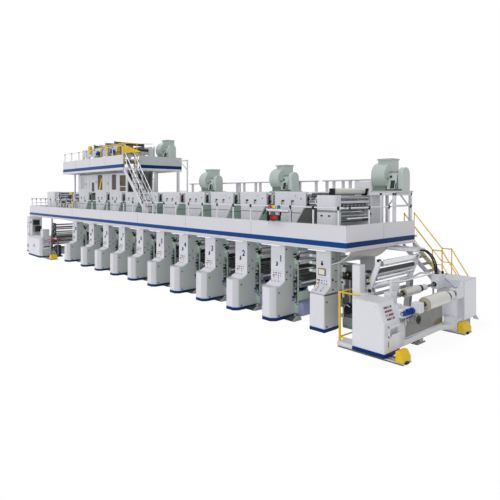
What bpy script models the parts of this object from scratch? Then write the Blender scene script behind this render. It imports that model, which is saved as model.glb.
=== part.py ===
"""Ten-unit rotogravure printing press, modelled at its real size.

Lengths are in metres, +Z up. The working frame has X = 0 at the right end of the platform, Y = 0 at its
front fascia and Z = 0 on the floor. A root empty carries every piece, so that the model's own origin is
the middle of its footprint.
"""
import math

import bmesh
import bpy

# Small gaps
TOUCH = 0.0003
JOURNAL_GAP = 0.0003

# Print units
UNIT_COUNT = 10
UNIT_PITCH = 1.78
LAST_UNIT_PITCH = 2.34
FIRST_UNIT_X = -2.88
STAND_WIDTH = 0.62
STAND_FRONT_Y = -0.20
STAND_REAR_Y = 0.80
STAND_CHAMFER = 0.14
STAND_BOX_TOP = 1.05
DESK_FRONT_Y = 0.12
DESK_BACK_Y = 0.33
DESK_BACK_Z = 1.17
DRIVE_FRAME_FRONT_Y = 2.65
DRIVE_FRAME_REAR_Y = 3.55
PLATE_THICKNESS = 0.06
PLATE_WIDTH = 0.86
PLATE_BOTTOM = 0.12
TANK_LEFT = -0.46
TANK_RIGHT = 0.62
TANK_BOTTOM = 0.06
TANK_TOP = 0.45
PAN_BOTTOM = 0.84
PAN_HEIGHT = 0.20
PAN_WIDTH = 0.64
CYLINDER_RADIUS = 0.125
CYLINDER_JOURNAL_RADIUS = 0.045
CYLINDER_FACE_GAP = 0.10
CYLINDER_Z = 1.28
IMPRESSION_RADIUS = 0.095
IMPRESSION_Z = 1.57
GUIDE_ROLLER_RADIUS = 0.055
GUIDE_ROLLERS = ((0.40, 1.73), (0.40, 1.97))

# Platform
PLATFORM_LENGTH = 26.6
PLATFORM_DEPTH = 3.75
FASCIA_BOTTOM = 2.375
FASCIA_HEIGHT = 0.725
FASCIA_THICKNESS = 0.04
DECK_TOP = 2.52
DECK_THICKNESS = 0.08
DECK_BEAM_WIDTH = 0.16
DECK_BEAM_YS = (0.50, 1.75, 2.95)
RAIL_HEIGHT = 3.575
RAIL_RADIUS = 0.018
RAIL_POST_SIZE = 0.04
RAIL_POST_PITCH = 0.895
RAIL_FIRST_POST_X = -0.29
RAIL_OVERHANG = 0.10
RAIL_POST_SINK = 0.20
END_POST_YS = (1.20, 2.28, 3.58)
END_RAIL_FRONT_Y = 0.12

# Dryer hoods
HOOD_LEFT = -0.64
HOOD_RIGHT = 0.73
HOOD_BASE_RIGHT = 0.31
HOOD_FRONT_Y = 0.88
HOOD_REAR_Y = 3.45
HOOD_TOP = 4.00
HOOD_PLATE_TOP = 4.03
HOOD_SHOULDER_Z = 3.52
HOOD_SHOULDER_X = 0.65
HOOD_WAIST_Z = 3.04
HOOD_PLATE_PROUD = 0.03
HOOD_PLATE_BOTTOM = 3.56

# Outfeed unit and its roller station on the deck
OUTFEED_X = -1.07
OUTFEED_WIDTH = 0.54
OUTFEED_FRONT_Y = 0.08
OUTFEED_DESK_Z = 1.09
OUTFEED_DESK_BACK_Y = 0.38
OUTFEED_DESK_BACK_Z = 1.29
OUTFEED_ARM_LEFT = -0.90
OUTFEED_ARM_HEIGHT = 0.10
OUTFEED_ROLLER_RADIUS = 0.06
OUTFEED_ROLLERS = ((-0.82, 2.04), (-0.82, 1.82), (-0.82, 1.58), (0.0, 0.24), (0.1, 1.4))
STATION_LEFT_X = -1.72
STATION_RIGHT_X = -1.05
STATION_FRONT_CABINET_REAR_Y = 1.21
STATION_FRONT_TOP = 3.92
STATION_REAR_CABINET_FRONT_Y = 2.88
STATION_REAR_TOP = 4.38
STATION_REAR_LOW_TOP = 3.85
STATION_REAR_STEP_Y = 3.40
STATION_REAR_CABINET_REAR_Y = 3.60
STATION_ROLLER_RADIUS = 0.06
STATION_ROLLERS = ((-1.16, 3.85), (-1.28, 3.70), (-1.14, 3.52), (-1.28, 3.36), (-1.16, 3.15), (-1.50, 3.62))
STATION_FILM_X = -1.35
STATION_FILM_Z = 4.04
STATION_FILM_RADIUS = 0.11
STATION_BRACKET_WIDTH = 0.12

# Blowers
BLOWER_XS = (-0.48, -5.16, -9.90)
BLOWER_Y = 3.10
TOWER_BLOWER_X = -14.0
TOWER_BLOWER_Y = 3.20
TOWER_BLOWER_BASE_Z = 5.75
BLOWER_LENGTH = 1.00
BLOWER_DEPTH = 0.84
BLOWER_BASE = 0.06
SCROLL_WIDTH = 0.44
SCROLL_RADIUS = 0.40
SCROLL_Z = 0.50
OUTLET_HEIGHT = 1.06
FLANGE_THICKNESS = 0.04
PEDESTAL_LENGTH = 0.30
PEDESTAL_TOP = 0.68
GUARD_THICKNESS = 0.24
GUARD_TOP = 0.80
GUARD_HALF_WIDTH = 0.22

# Rear frame: stands on a base bar, and the table that carries the first fan
REAR_FRAME_Y = 3.70
REAR_FRAME_BAR = 0.05
RAIL_CLEARANCE = 0.002
REAR_FRAME_TOP = 4.47
REAR_STANDS = ((-2.17, -1.33), (-3.52, -3.19, -2.77, -2.46), (-4.88, -4.04), (-7.19, -6.35),
               (-8.25, -7.48), (-9.89, -8.74, -8.56), (-12.28, -11.44))
REAR_LEG_SIZE = 0.09
REAR_PLATE_OVERHANG = 0.12
REAR_PLATE_FRONT_Y = 3.52
BLOWER_FRAME_LEFT_X = -1.02
BLOWER_FRAME_FRONT_Y = 2.66
BLOWER_FRAME_BAR = 0.09
BLOWER_FRAME_TIE_LOW = 3.55
BLOWER_FRAME_TIE_HIGH = 3.61

# Tower
TOWER_LEFT_X = -21.20
TOWER_RIGHT_X = -13.40
TOWER_FRONT_Y = 0.30
TOWER_REAR_Y = 3.75
TOWER_FASCIA_BOTTOM = 5.12
TOWER_FASCIA_TOP = 5.87
TOWER_FLOOR_TOP = 5.24
TOWER_POST_SIZE = 0.12
TOWER_POST_REAR_Y = 3.62
TOWER_STAIR_OPENING_REAR_Y = 1.20
WALL_LEFT_X = -20.33
WALL_RIGHT_X = -14.10
WALL_Y = 0.90
WALL_THICKNESS = 0.05
WALL_WINDOWS = ((-19.98, -19.39, 4.20, 4.98), (-18.41, -18.02, 4.04, 4.60),
                (-17.63, -16.97, 4.14, 5.00), (-15.87, -15.32, 4.14, 4.98))
TOWER_STAIR_TOP_X = -13.30
TOWER_STAIR_FOOT_X = -10.70
TOWER_STAIR_WIDTH = 0.52
TOWER_STAIR_Y = 0.30
TOWER_STAIR_STEPS = 9
TOWER_STAIR_DEPTH = 0.22
TOWER_HANDRAIL_SIZE = 0.04
TOWER_HANDRAIL_HEIGHT = 0.72
STRINGER_THICKNESS = 0.04
TREAD_DEPTH = 0.22
TOWER_RAIL_POSTS = 8
TOWER_ROLLER_Z = 6.37
TOWER_ROLLER_RADIUS = 0.09
TOWER_ROLLER_XS = (-19.6, -18.9, -18.0, -17.3, -16.4, -15.5)
TOWER_CHEEK_THICKNESS = 0.08
TOWER_CHEEK_LEFT_X = -20.2
TOWER_CHEEK_RIGHT_X = -14.9
TOWER_CHEEK_FRONT_Y = 1.10
TOWER_CHEEK_REAR_Y = 2.90
TOWER_CHEEK_TOP = 6.55
TOWER_RAIL_TOP = 6.34
TOWER_TABLE_LENGTH = 1.00
TOWER_TABLE_DEPTH = 0.80
TOWER_LINK_HEIGHT = 0.20

# Infeed end
INFEED_CABINET_LEFT_X = -25.66
INFEED_CABINET_RIGHT_X = -24.26
INFEED_FRAME_RIGHT_X = -21.40
INFEED_TOP = 4.06
INFEED_CABINET_REAR_Y = 1.30
INFEED_PLATE_Y = 1.08
INFEED_PLATE_THICKNESS = 0.08
INFEED_REAR_PLATE_Y = 2.80
INFEED_REAR_DEPTH = 0.40
INFEED_ROLLER_RADIUS = 0.07
INFEED_ROLLERS = ((-25.2, 3.85), (-24.6, 3.55), (-24.0, 3.85), (-23.4, 3.45), (-22.8, 3.85), (-22.1, 3.65))
UNWINDER_LEFT_X = -24.20
UNWINDER_RIGHT_X = -22.00
UNWINDER_FRONT_Y = -0.78
UNWINDER_REAR_Y = -0.14
UNWINDER_TOP = 1.31
UNWINDER_ARM_Z = 1.05
UNWIND_ROLL_X = -23.10
UNWIND_ROLL_RADIUS = 0.34
UNWIND_FRAME_Y = 2.60
UNWIND_FRAME_REAR_Y = 3.40
UNWIND_BEAM_INSET = 0.10
UNWIND_BEAM_WIDTH = 0.25
UNWIND_BEAM_BOTTOM = 0.12
UNWIND_BEAM_TOP = 0.34
UNWIND_CHUCK_INSET = 0.12
UNWIND_FACE_INSET = 0.45
ELECTRIC_LEFT_X = -26.10
ELECTRIC_RIGHT_X = -25.62
ELECTRIC_FRONT_Y = -0.32
ELECTRIC_REAR_Y = 0.50

# Rewinder
TRACK_THICKNESS = 0.05
TRACK_LEFT_X = 0.14
TRACK_RIGHT_X = 1.99
FRONT_TRACK_FRONT_Y = -0.58
FRONT_TRACK_REAR_Y = -0.16
REAR_TRACK_FRONT_Y = 2.80
REAR_TRACK_REAR_Y = 3.30
BUMPER_LENGTH = 0.20
BUMPER_HEIGHT = 0.25
BUMPER_NOSE_Z = 0.16
BUMPER_SLOPE = 0.08
CABINET_LEFT_X = 0.62
CABINET_RIGHT_X = 1.53
CABINET_FRONT_Y = -0.60
CABINET_REAR_Y = 0.10
CABINET_KNEE_Z = 0.84
CABINET_TOP_X = 1.35
CABINET_TOP = 1.35
COLUMN_LEFT_X = 0.20
COLUMN_FRONT_Y = 0.0
COLUMN_DEPTH = 0.36
COLUMN_TOP = 2.08
REAR_CABINET_LEFT_X = 1.00
REAR_CABINET_RIGHT_X = 1.81
REAR_CABINET_FRONT_Y = 3.21
REAR_CABINET_REAR_Y = 4.06
REAR_CABINET_BOTTOM = 0.31
REAR_CABINET_TOP = 1.45
CABINET_BACK_DEPTH = 0.22
CABINET_BACK_INSET = 0.05
CABINET_BACK_TOP = 1.20
CABINET_BACK_BOTTOM = 0.12
BASE_BEAM_TOP = 0.29
BASE_BEAM_BOTTOM = 0.14
BASE_BEAM_LEFT_X = 1.38
BASE_BEAM_WIDTH = 0.13
BASE_BEAM_BEND_Y = 2.29
BASE_BEAM_REAR_LEFT_X = 1.45
BASE_BEAM_REAR_RIGHT_X = 1.76
BASE_BEAM_REAR_Y = 3.27
BASE_FOOT_TOP = 0.40
MIDDLE_FOOT = ((1.30, 1.06, 0.0), (1.50, 1.50, 0.16))
REAR_FOOT = ((1.30, 3.50, 0.0), (1.70, 3.90, 0.35))
REWIND_ROLL_X = 1.70
REWIND_ROLL_Z = 1.12
REWIND_ROLL_RADIUS = 0.18
REWIND_ROLL_FRONT_Y = 0.96
REWIND_ROLL_REAR_Y = 2.30
INNER_ROLL_X = 1.16
INNER_ROLL_Z = 1.33
INNER_ROLL_RADIUS = 0.13
INNER_BEARING_HALF = 0.10
INNER_BEARING_FRONT_Y = 0.15
INNER_BEARING_REAR_Y = 0.45
INNER_BEARING_BOTTOM = 1.05
INNER_REAR_BEARING_Y = 2.70
GEARBOX_FRONT_Y = 0.50
GEARBOX_REAR_Y = 0.86
GEARBOX_LEFT_X = 1.56
GEARBOX_RIGHT_X = 1.84
GEARBOX_BOTTOM = 0.98
GEARBOX_TOP = 1.26
GEARBOX_ARM = ((1.41, 0.10, 0.90), (1.62, 0.54, 1.15))
REAR_BEARING_Y = 2.78
CHUCK_OVERHANG = 0.08
CHUCK_RADIUS = 0.11
SPINDLE_RADIUS = 0.04
GUIDE_PLATE = ((0.22, 0.0), (0.50, 0.0), (0.62, 1.40), (0.86, 2.02), (0.86, 2.22), (0.70, 2.22), (0.42, 1.60))
GUIDE_PLATE_THICKNESS = 0.06
GUIDE_REAR_Y = 2.45
GUIDE_FRAME_ROLLERS = ((0.78, 2.12, 0.07), (0.66, 1.88, 0.06), (0.50, 1.46, 0.07), (0.36, 0.30, 0.06))

# Cable tray and hoses
TRAY_RIGHT_X = 0.80
TRAY_LEFT_X = -0.60
TRAY_FRONT_Y = 2.36
TRAY_REAR_Y = 2.86
TRAY_BOTTOM = 2.25
TRAY_TOP = 2.35
TRAY_MIDDLE_Z = (TRAY_BOTTOM + TRAY_TOP) / 2
TRAY_HANGER = 0.30
TERMINAL_LEFT_X = 1.01
TERMINAL_RIGHT_X = 1.25
TERMINAL_FRONT_Y = 2.80
TERMINAL_BOTTOM = 1.22
TERMINAL_TOP = 1.60
HOSE_COUNT = 2
HOSE_FIRST_Y = 2.55
HOSE_PITCH = 0.11
HOSE_END_X = 1.08
HOSE_END_Y = 2.92
HOSE_STRAIGHT = 0.035
HOSE_BENDS = ((0.16, 0.0, 2.285), (0.29, 0.06, 2.15), (0.34, 0.16, 1.96), (0.32, 0.28, 1.78))
HOSE_RADIUS = 0.024

# Access stair and side guard
STAIR_FRONT_Y = 4.10
STAIR_REAR_Y = 4.82
STAIR_LANDING_Z = 1.12
STAIR_TOP_X = -0.62
STAIR_TOP_DROP = 0.40
STAIR_LANDING_LEFT_X = 0.42
STAIR_LANDING_RIGHT_X = 0.74
STAIR_FOOT_X = 1.50
STAIR_STRINGER_DEPTH = 0.20
STAIR_FLIGHT_TREADS = 5
STAIR_TREAD_DEPTH = 0.20
STAIR_RAIL_SIZE = 0.036
STAIR_MIDRAIL_SIZE = 0.025
STAIR_MIDRAIL_DROP = 0.45
RAIL_ABOVE_TREAD = 1.02
GUARD_TUBE = 0.05
GUARD_LEFT_X = -0.16
GUARD_FRONT_Y = -0.12
GUARD_REAR_Y = 0.90
GUARD_RAIL_TOP = 1.34
GUARD_RAIL_BOTTOM = 0.07

WHITE = (0.83, 0.84, 0.86, 1.0)
BLOWER_GREEN = (0.60, 0.68, 0.65, 1.0)
STEEL = (0.62, 0.63, 0.64, 1.0)
YELLOW = (0.88, 0.58, 0.01, 1.0)
FILM = (0.83, 0.82, 0.78, 1.0)
BLACK = (0.03, 0.03, 0.03, 1.0)

PRESS_LEFT_X = -PLATFORM_LENGTH
PRESS_RIGHT_X = TRACK_RIGHT_X
PRESS_FRONT_Y = UNWINDER_FRONT_Y
PRESS_REAR_Y = STAIR_REAR_Y
FASCIA_TOP = FASCIA_BOTTOM + FASCIA_HEIGHT
HALF_STAND = STAND_WIDTH / 2


def clear_scene():
    """Remove every object that the file starts with."""
    for item in list(bpy.data.objects):
        bpy.data.objects.remove(item, do_unlink=True)


def paint(name, colour, roughness=0.45, metallic=0.0):
    """Return a Principled material of one colour."""
    material = bpy.data.materials.new(name)
    material.use_nodes = True
    shader = material.node_tree.nodes["Principled BSDF"]
    shader.inputs["Base Color"].default_value = colour
    shader.inputs["Roughness"].default_value = roughness
    shader.inputs["Metallic"].default_value = metallic
    return material


def prism(outline, axis, start, end):
    """Return a closed bmesh: an outline swept along one axis.

    The outline lists (Y, Z) points for axis X, (X, Z) for axis Y and (X, Y) for axis Z.
    """
    place = {
        "X": lambda u, v, w: (w, u, v),
        "Y": lambda u, v, w: (u, w, v),
        "Z": lambda u, v, w: (u, v, w),
    }[axis]
    shape = bmesh.new()
    first = [shape.verts.new(place(u, v, start)) for u, v in outline]
    last = [shape.verts.new(place(u, v, end)) for u, v in outline]
    shape.faces.new(first)
    shape.faces.new(last)
    for index in range(len(outline)):
        after = (index + 1) % len(outline)
        shape.faces.new((first[index], first[after], last[after], last[index]))
    bmesh.ops.recalc_face_normals(shape, faces=shape.faces)
    return shape


def block(low, high):
    """Return a rectangular block between two corners."""
    outline = [(low[0], low[1]), (high[0], low[1]), (high[0], high[1]), (low[0], high[1])]
    return prism(outline, "Z", low[2], high[2])


def circle(u, v, radius, sides):
    """Return the points of a regular polygon about (u, v)."""
    turn = 2 * math.pi / sides
    return [(u + radius * math.cos(turn * (i + 0.5)), v + radius * math.sin(turn * (i + 0.5)))
            for i in range(sides)]


def rod(axis, u, v, radius, start, end, sides=12):
    """Return a straight round bar along one axis."""
    return prism(circle(u, v, radius, sides), axis, start, end)


def strut(start, end, size):
    """Return a square bar between two points that share an X or a Y value."""
    along_y = abs(start[0] - end[0]) < 1e-9
    u0 = start[1] if along_y else start[0]
    u1 = end[1] if along_y else end[0]
    length = math.hypot(u1 - u0, end[2] - start[2])
    side_u = -(end[2] - start[2]) / length * size / 2
    side_v = (u1 - u0) / length * size / 2
    outline = [(u0 + side_u, start[2] + side_v), (u0 - side_u, start[2] - side_v),
               (u1 - side_u, end[2] - side_v), (u1 + side_u, end[2] + side_v)]
    middle = start[0] if along_y else start[1]
    return prism(outline, "X" if along_y else "Y", middle - size / 2, middle + size / 2)


def mesh_from(shapes, name):
    """Return one mesh that holds all the shapes as they are."""
    mesh = bpy.data.meshes.new(name)
    joined = bmesh.new()
    for shape in shapes:
        piece = bpy.data.meshes.new("piece")
        shape.to_mesh(piece)
        shape.free()
        joined.from_mesh(piece)
        bpy.data.meshes.remove(piece)
    joined.to_mesh(mesh)
    joined.free()
    return mesh


def combine(mesh, other, operation, name):
    """Return the exact Boolean result of two meshes, and remove both."""
    base = bpy.data.objects.new("base", mesh)
    tool = bpy.data.objects.new("tool", other)
    for item in (base, tool):
        bpy.context.scene.collection.objects.link(item)
    step = base.modifiers.new("step", "BOOLEAN")
    step.object = tool
    step.operation = operation
    step.solver = "EXACT"
    step.use_self = True
    bpy.context.view_layer.update()
    graph = bpy.context.evaluated_depsgraph_get()
    result = bpy.data.meshes.new_from_object(base.evaluated_get(graph))
    result.name = name
    for item in (base, tool):
        bpy.data.objects.remove(item, do_unlink=True)
    for used in (mesh, other):
        bpy.data.meshes.remove(used)
    return result


def fuse(name, shapes, cuts=()):
    """Return one closed mesh: the union of the shapes, less the cuts."""
    mesh = mesh_from(shapes[:1], name)
    if len(shapes) > 1:
        mesh = combine(mesh, mesh_from(shapes[1:], name), "UNION", name)
    if cuts:
        mesh = combine(mesh, mesh_from(list(cuts), name), "DIFFERENCE", name)
    return mesh


def add_node(name, mesh, material, location, root):
    """Link a piece at its place under the root and return it."""
    node = bpy.data.objects.new(name, mesh)
    bpy.context.scene.collection.objects.link(node)
    node.parent = root
    node.location = location
    mesh.materials.clear()
    mesh.materials.append(material)
    return node


def shade_round(mesh):
    """Shade a round piece smooth with sharp ends."""
    mesh.shade_smooth()
    mesh.set_sharp_from_angle(angle=math.radians(35))


def unit_x(index):
    """Return the X position of a print unit's middle, the first unit being 0."""
    if index == UNIT_COUNT - 1:
        return FIRST_UNIT_X - (index - 1) * UNIT_PITCH - LAST_UNIT_PITCH
    return FIRST_UNIT_X - index * UNIT_PITCH


def stand_shapes(half, front, chamfer, box_top, desk, column_top):
    """Return an operator stand: a box with cut corners, a sloping desk and a column."""
    corner = front + chamfer
    plan = [(-half, STAND_REAR_Y), (-half, corner), (-half + chamfer, front),
            (half - chamfer, front), (half, corner), (half, STAND_REAR_Y)]
    desk_front, desk_back, desk_back_z = desk
    column = [(desk_front, box_top - 0.05), (desk_front, box_top + 0.002), (desk_back, desk_back_z),
              (desk_back, column_top), (STAND_REAR_Y, column_top), (STAND_REAR_Y, box_top - 0.05)]
    return [prism(plan, "Z", 0.0, box_top), prism(column, "X", -half, half)]


def frame_shapes(half, column_top):
    """Return the inner frame: two plates, the drive side box, ink tank, pan and fixed rollers."""
    plate_front = STAND_REAR_Y - 0.01
    plate_rear = STAND_REAR_Y + PLATE_THICKNESS
    drive_front = DRIVE_FRAME_FRONT_Y
    drive_plate_rear = drive_front + PLATE_THICKNESS
    half_plate = PLATE_WIDTH / 2
    overlap = 0.02
    shapes = [
        block((-half_plate, plate_front, PLATE_BOTTOM), (half_plate, plate_rear, column_top)),
        block((-half_plate, drive_front, PLATE_BOTTOM), (half_plate, drive_plate_rear, column_top)),
        block((-half, drive_plate_rear - 0.01, 0.0), (half, DRIVE_FRAME_REAR_Y, column_top)),
        block((TANK_LEFT, plate_rear - overlap, TANK_BOTTOM), (TANK_RIGHT, drive_front + overlap, TANK_TOP)),
        block((-PAN_WIDTH / 2, plate_rear - overlap, PAN_BOTTOM),
              (PAN_WIDTH / 2, drive_front + overlap, PAN_BOTTOM + PAN_HEIGHT)),
        rod("Y", 0.0, IMPRESSION_Z, IMPRESSION_RADIUS, plate_rear - overlap, drive_front + overlap, 12),
    ]
    for x, z in GUIDE_ROLLERS:
        shapes.append(rod("Y", x, z, GUIDE_ROLLER_RADIUS, plate_rear - overlap, drive_front + overlap, 8))
    return shapes


def cylinder_mesh(name):
    """Return a printing cylinder along Y with its journals, centred on its axis."""
    front = STAND_REAR_Y + PLATE_THICKNESS + JOURNAL_GAP
    rear = DRIVE_FRAME_FRONT_Y - JOURNAL_GAP
    middle = (front + rear) / 2
    half = (rear - front) / 2
    face = half - CYLINDER_FACE_GAP
    shapes = [rod("Y", 0, 0, CYLINDER_JOURNAL_RADIUS, -half, half, 8),
              rod("Y", 0, 0, CYLINDER_RADIUS, -face, face, 24)]
    mesh = fuse(name, shapes)
    shade_round(mesh)
    return mesh, middle


def hood_outline():
    """Return a dryer hood's front outline, whose right side leans in below the shoulder."""
    return [(HOOD_LEFT, DECK_TOP + TOUCH), (HOOD_BASE_RIGHT, DECK_TOP + TOUCH),
            (HOOD_BASE_RIGHT, HOOD_WAIST_Z), (HOOD_SHOULDER_X, HOOD_SHOULDER_Z),
            (HOOD_RIGHT, HOOD_SHOULDER_Z), (HOOD_RIGHT, HOOD_TOP), (HOOD_LEFT, HOOD_TOP)]


def make_print_units(root, white, steel):
    """Build the ten print units with their cylinders and dryer hoods."""
    top = FASCIA_BOTTOM - TOUCH
    desk = (DESK_FRONT_Y, DESK_BACK_Y, DESK_BACK_Z)
    for index in range(UNIT_COUNT):
        label = f"unit_{index + 1:02d}"
        x = unit_x(index)
        shapes = stand_shapes(HALF_STAND, STAND_FRONT_Y, STAND_CHAMFER, STAND_BOX_TOP, desk, top)
        shapes += frame_shapes(HALF_STAND, top)
        add_node(f"{label}_print_unit", fuse(label, shapes), white, (x, 0, 0), root)
        mesh, middle = cylinder_mesh(f"{label}_cylinder")
        add_node(f"{label}_printing_cylinder", mesh, steel, (x, middle, CYLINDER_Z), root)
        upper = block((HOOD_LEFT, HOOD_FRONT_Y - HOOD_PLATE_PROUD, HOOD_PLATE_BOTTOM),
                      (HOOD_RIGHT, HOOD_FRONT_Y + 0.015, HOOD_PLATE_TOP))
        body = prism(hood_outline(), "Y", HOOD_FRONT_Y, HOOD_REAR_Y)
        add_node(f"{label}_dryer_hood", fuse(f"{label}_hood", [body, upper]), white, (x, 0, 0), root)


def make_platform(root, white):
    """Build the deck and its three parapets, each a fascia plate with its railing."""
    left = -PLATFORM_LENGTH
    inner = FASCIA_THICKNESS + TOUCH
    beam_top = DECK_TOP - DECK_THICKNESS + 0.01
    deck = [block((left + inner, inner, DECK_TOP - DECK_THICKNESS), (-inner, PLATFORM_DEPTH, DECK_TOP))]
    for y in DECK_BEAM_YS:
        deck.append(block((left + inner, y - DECK_BEAM_WIDTH / 2, FASCIA_BOTTOM),
                          (-inner, y + DECK_BEAM_WIDTH / 2, beam_top)))
    deck.append(block((TRAY_LEFT_X, TRAY_FRONT_Y, TRAY_BOTTOM), (TRAY_RIGHT_X, TRAY_REAR_Y, TRAY_TOP)))
    deck.append(block((TRAY_LEFT_X + 0.01, TRAY_FRONT_Y + 0.05, TRAY_TOP - 0.02),
                      (TRAY_LEFT_X + TRAY_HANGER, TRAY_REAR_Y + 0.10, beam_top)))
    add_node("platform_deck", fuse("deck", deck), white, (0, 0, 0), root)

    post = RAIL_POST_SIZE
    post_y = FASCIA_THICKNESS + post / 2 - 0.005
    shapes = [block((left, 0, FASCIA_BOTTOM), (0, FASCIA_THICKNESS, FASCIA_TOP))]
    count = int((PLATFORM_LENGTH + RAIL_FIRST_POST_X - 2 * RAIL_OVERHANG) / RAIL_POST_PITCH) + 1
    for index in range(count):
        x = RAIL_FIRST_POST_X - index * RAIL_POST_PITCH
        shapes.append(block((x - post / 2, post_y - post / 2, FASCIA_TOP - RAIL_POST_SINK),
                            (x + post / 2, post_y + post / 2, RAIL_HEIGHT + 0.01)))
    last_x = RAIL_FIRST_POST_X - (count - 1) * RAIL_POST_PITCH
    shapes.append(rod("X", post_y, RAIL_HEIGHT, RAIL_RADIUS, last_x - RAIL_OVERHANG,
                      RAIL_FIRST_POST_X + 2 * RAIL_OVERHANG, 6))
    add_node("front_parapet", fuse("front_parapet", shapes), white, (0, 0, 0), root)

    for name, outer, side in (("right_parapet", 0.0, -1), ("left_parapet", left, 1)):
        edge = outer + side * FASCIA_THICKNESS
        rail_x = edge + side * (post / 2 - 0.005)
        low, high = min(outer, edge), max(outer, edge)
        shapes = [block((low, inner, FASCIA_BOTTOM), (high, PLATFORM_DEPTH, FASCIA_TOP))]
        for y in END_POST_YS:
            shapes.append(block((rail_x - post / 2, y - post / 2, FASCIA_TOP - RAIL_POST_SINK),
                                (rail_x + post / 2, y + post / 2, RAIL_HEIGHT + 0.01)))
        shapes.append(rod("Y", rail_x, RAIL_HEIGHT, RAIL_RADIUS, END_RAIL_FRONT_Y, END_POST_YS[-1] + post, 8))
        add_node(name, fuse(name, shapes), white, (0, 0, 0), root)


def make_outfeed(root, white, steel):
    """Build the outfeed unit below the platform and the roller station on the deck."""
    top = FASCIA_BOTTOM - TOUCH
    half = OUTFEED_WIDTH / 2
    desk = (OUTFEED_FRONT_Y, OUTFEED_DESK_BACK_Y, OUTFEED_DESK_BACK_Z)
    body = [block((-half, OUTFEED_FRONT_Y, 0.0), (half, STAND_REAR_Y, OUTFEED_DESK_Z - 0.02))]
    column = [(desk[0], 0.9), (desk[0], OUTFEED_DESK_Z), (desk[1], desk[2]),
              (desk[1], top), (STAND_REAR_Y, top), (STAND_REAR_Y, 0.9)]
    body.append(prism(column, "X", -half + 0.0001, half))
    plate_rear = STAND_REAR_Y + PLATE_THICKNESS
    body.append(block((-half + 0.001, STAND_REAR_Y - 0.01, PLATE_BOTTOM),
                      (half - 0.001, plate_rear, top - 0.001)))
    body.append(block((-half, DRIVE_FRAME_FRONT_Y, 0.0),
                      (half, DRIVE_FRAME_FRONT_Y + PLATE_THICKNESS, top)))
    for x, z in OUTFEED_ROLLERS:
        body.append(rod("Y", x, z, OUTFEED_ROLLER_RADIUS, plate_rear - 0.02, DRIVE_FRAME_FRONT_Y + 0.02, 10))
        if x < -half:
            low, high = z - OUTFEED_ARM_HEIGHT / 2, z + OUTFEED_ARM_HEIGHT / 2
            body.append(block((OUTFEED_ARM_LEFT, STAND_REAR_Y - 0.008, low), (0.0, plate_rear - 0.001, high)))
            body.append(block((OUTFEED_ARM_LEFT, DRIVE_FRAME_FRONT_Y + 0.001, low),
                              (0.0, DRIVE_FRAME_FRONT_Y + PLATE_THICKNESS - 0.001, high)))
    add_node("outfeed_unit", fuse("outfeed", body), white, (OUTFEED_X, 0, 0), root)

    floor = DECK_TOP + TOUCH
    front = block((STATION_LEFT_X, HOOD_FRONT_Y, floor),
                  (STATION_RIGHT_X, STATION_FRONT_CABINET_REAR_Y, STATION_FRONT_TOP))
    rear_outline = [(STATION_REAR_CABINET_FRONT_Y, floor), (STATION_REAR_CABINET_REAR_Y, floor),
                    (STATION_REAR_CABINET_REAR_Y, STATION_REAR_LOW_TOP),
                    (STATION_REAR_STEP_Y, STATION_REAR_LOW_TOP), (STATION_REAR_STEP_Y, STATION_REAR_TOP),
                    (STATION_REAR_CABINET_FRONT_Y, STATION_REAR_TOP)]
    shapes = [front, prism(rear_outline, "X", STATION_LEFT_X, STATION_RIGHT_X)]
    near = STATION_FRONT_CABINET_REAR_Y - 0.02
    far = STATION_REAR_CABINET_FRONT_Y + 0.02
    for x, z in STATION_ROLLERS:
        shapes.append(rod("Y", x, z, STATION_ROLLER_RADIUS, near, far, 12))
    bracket = STATION_BRACKET_WIDTH / 2
    shapes.append(block((STATION_FILM_X - bracket, near - 0.10, STATION_FRONT_TOP - 0.05),
                        (STATION_FILM_X + bracket, near + 0.06, STATION_FILM_Z + 0.10)))
    shapes.append(rod("Y", STATION_FILM_X, STATION_FILM_Z, STATION_FILM_RADIUS, near, far, 16))
    add_node("outfeed_roller_station", fuse("station", shapes), steel, (0, 0, 0), root)


def blower_mesh(name):
    """Return a fan: scroll with its outlet and flange, bearing pedestal and belt guard."""
    left = -BLOWER_LENGTH / 2
    right = BLOWER_LENGTH / 2
    half = BLOWER_DEPTH / 2
    scroll_right = left + SCROLL_WIDTH
    guard_left = right - GUARD_THICKNESS
    pedestal = [(-0.30, BLOWER_BASE - 0.01), (0.30, BLOWER_BASE - 0.01), (0.14, PEDESTAL_TOP),
                (-0.14, PEDESTAL_TOP)]
    guard_centre = GUARD_TOP - GUARD_HALF_WIDTH
    guard = [(-GUARD_HALF_WIDTH, BLOWER_BASE - 0.01), (GUARD_HALF_WIDTH, BLOWER_BASE - 0.01)]
    steps = 8
    for step in range(steps + 1):
        turn = math.pi * step / steps
        guard.append((GUARD_HALF_WIDTH * math.cos(turn), guard_centre + GUARD_HALF_WIDTH * math.sin(turn)))
    shapes = [
        block((left, -half, 0), (right, half, BLOWER_BASE)),
        rod("X", 0.0, SCROLL_Z, SCROLL_RADIUS, left + 0.01, scroll_right, 22),
        block((left + 0.015, 0.0, SCROLL_Z), (scroll_right - 0.005, SCROLL_RADIUS - 0.005, OUTLET_HEIGHT)),
        block((left - 0.02, -0.06, OUTLET_HEIGHT - 0.01),
              (scroll_right + 0.03, SCROLL_RADIUS + 0.03, OUTLET_HEIGHT + FLANGE_THICKNESS)),
        block((left + 0.06, -0.26, BLOWER_BASE - 0.01), (scroll_right - 0.06, 0.26, 0.3)),
        prism(pedestal, "X", scroll_right - 0.02, scroll_right + PEDESTAL_LENGTH),
        rod("X", 0.0, PEDESTAL_TOP - 0.05, 0.05, scroll_right, guard_left + 0.02, 10),
        prism(guard, "X", guard_left, right),
    ]
    return fuse(name, shapes)


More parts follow.
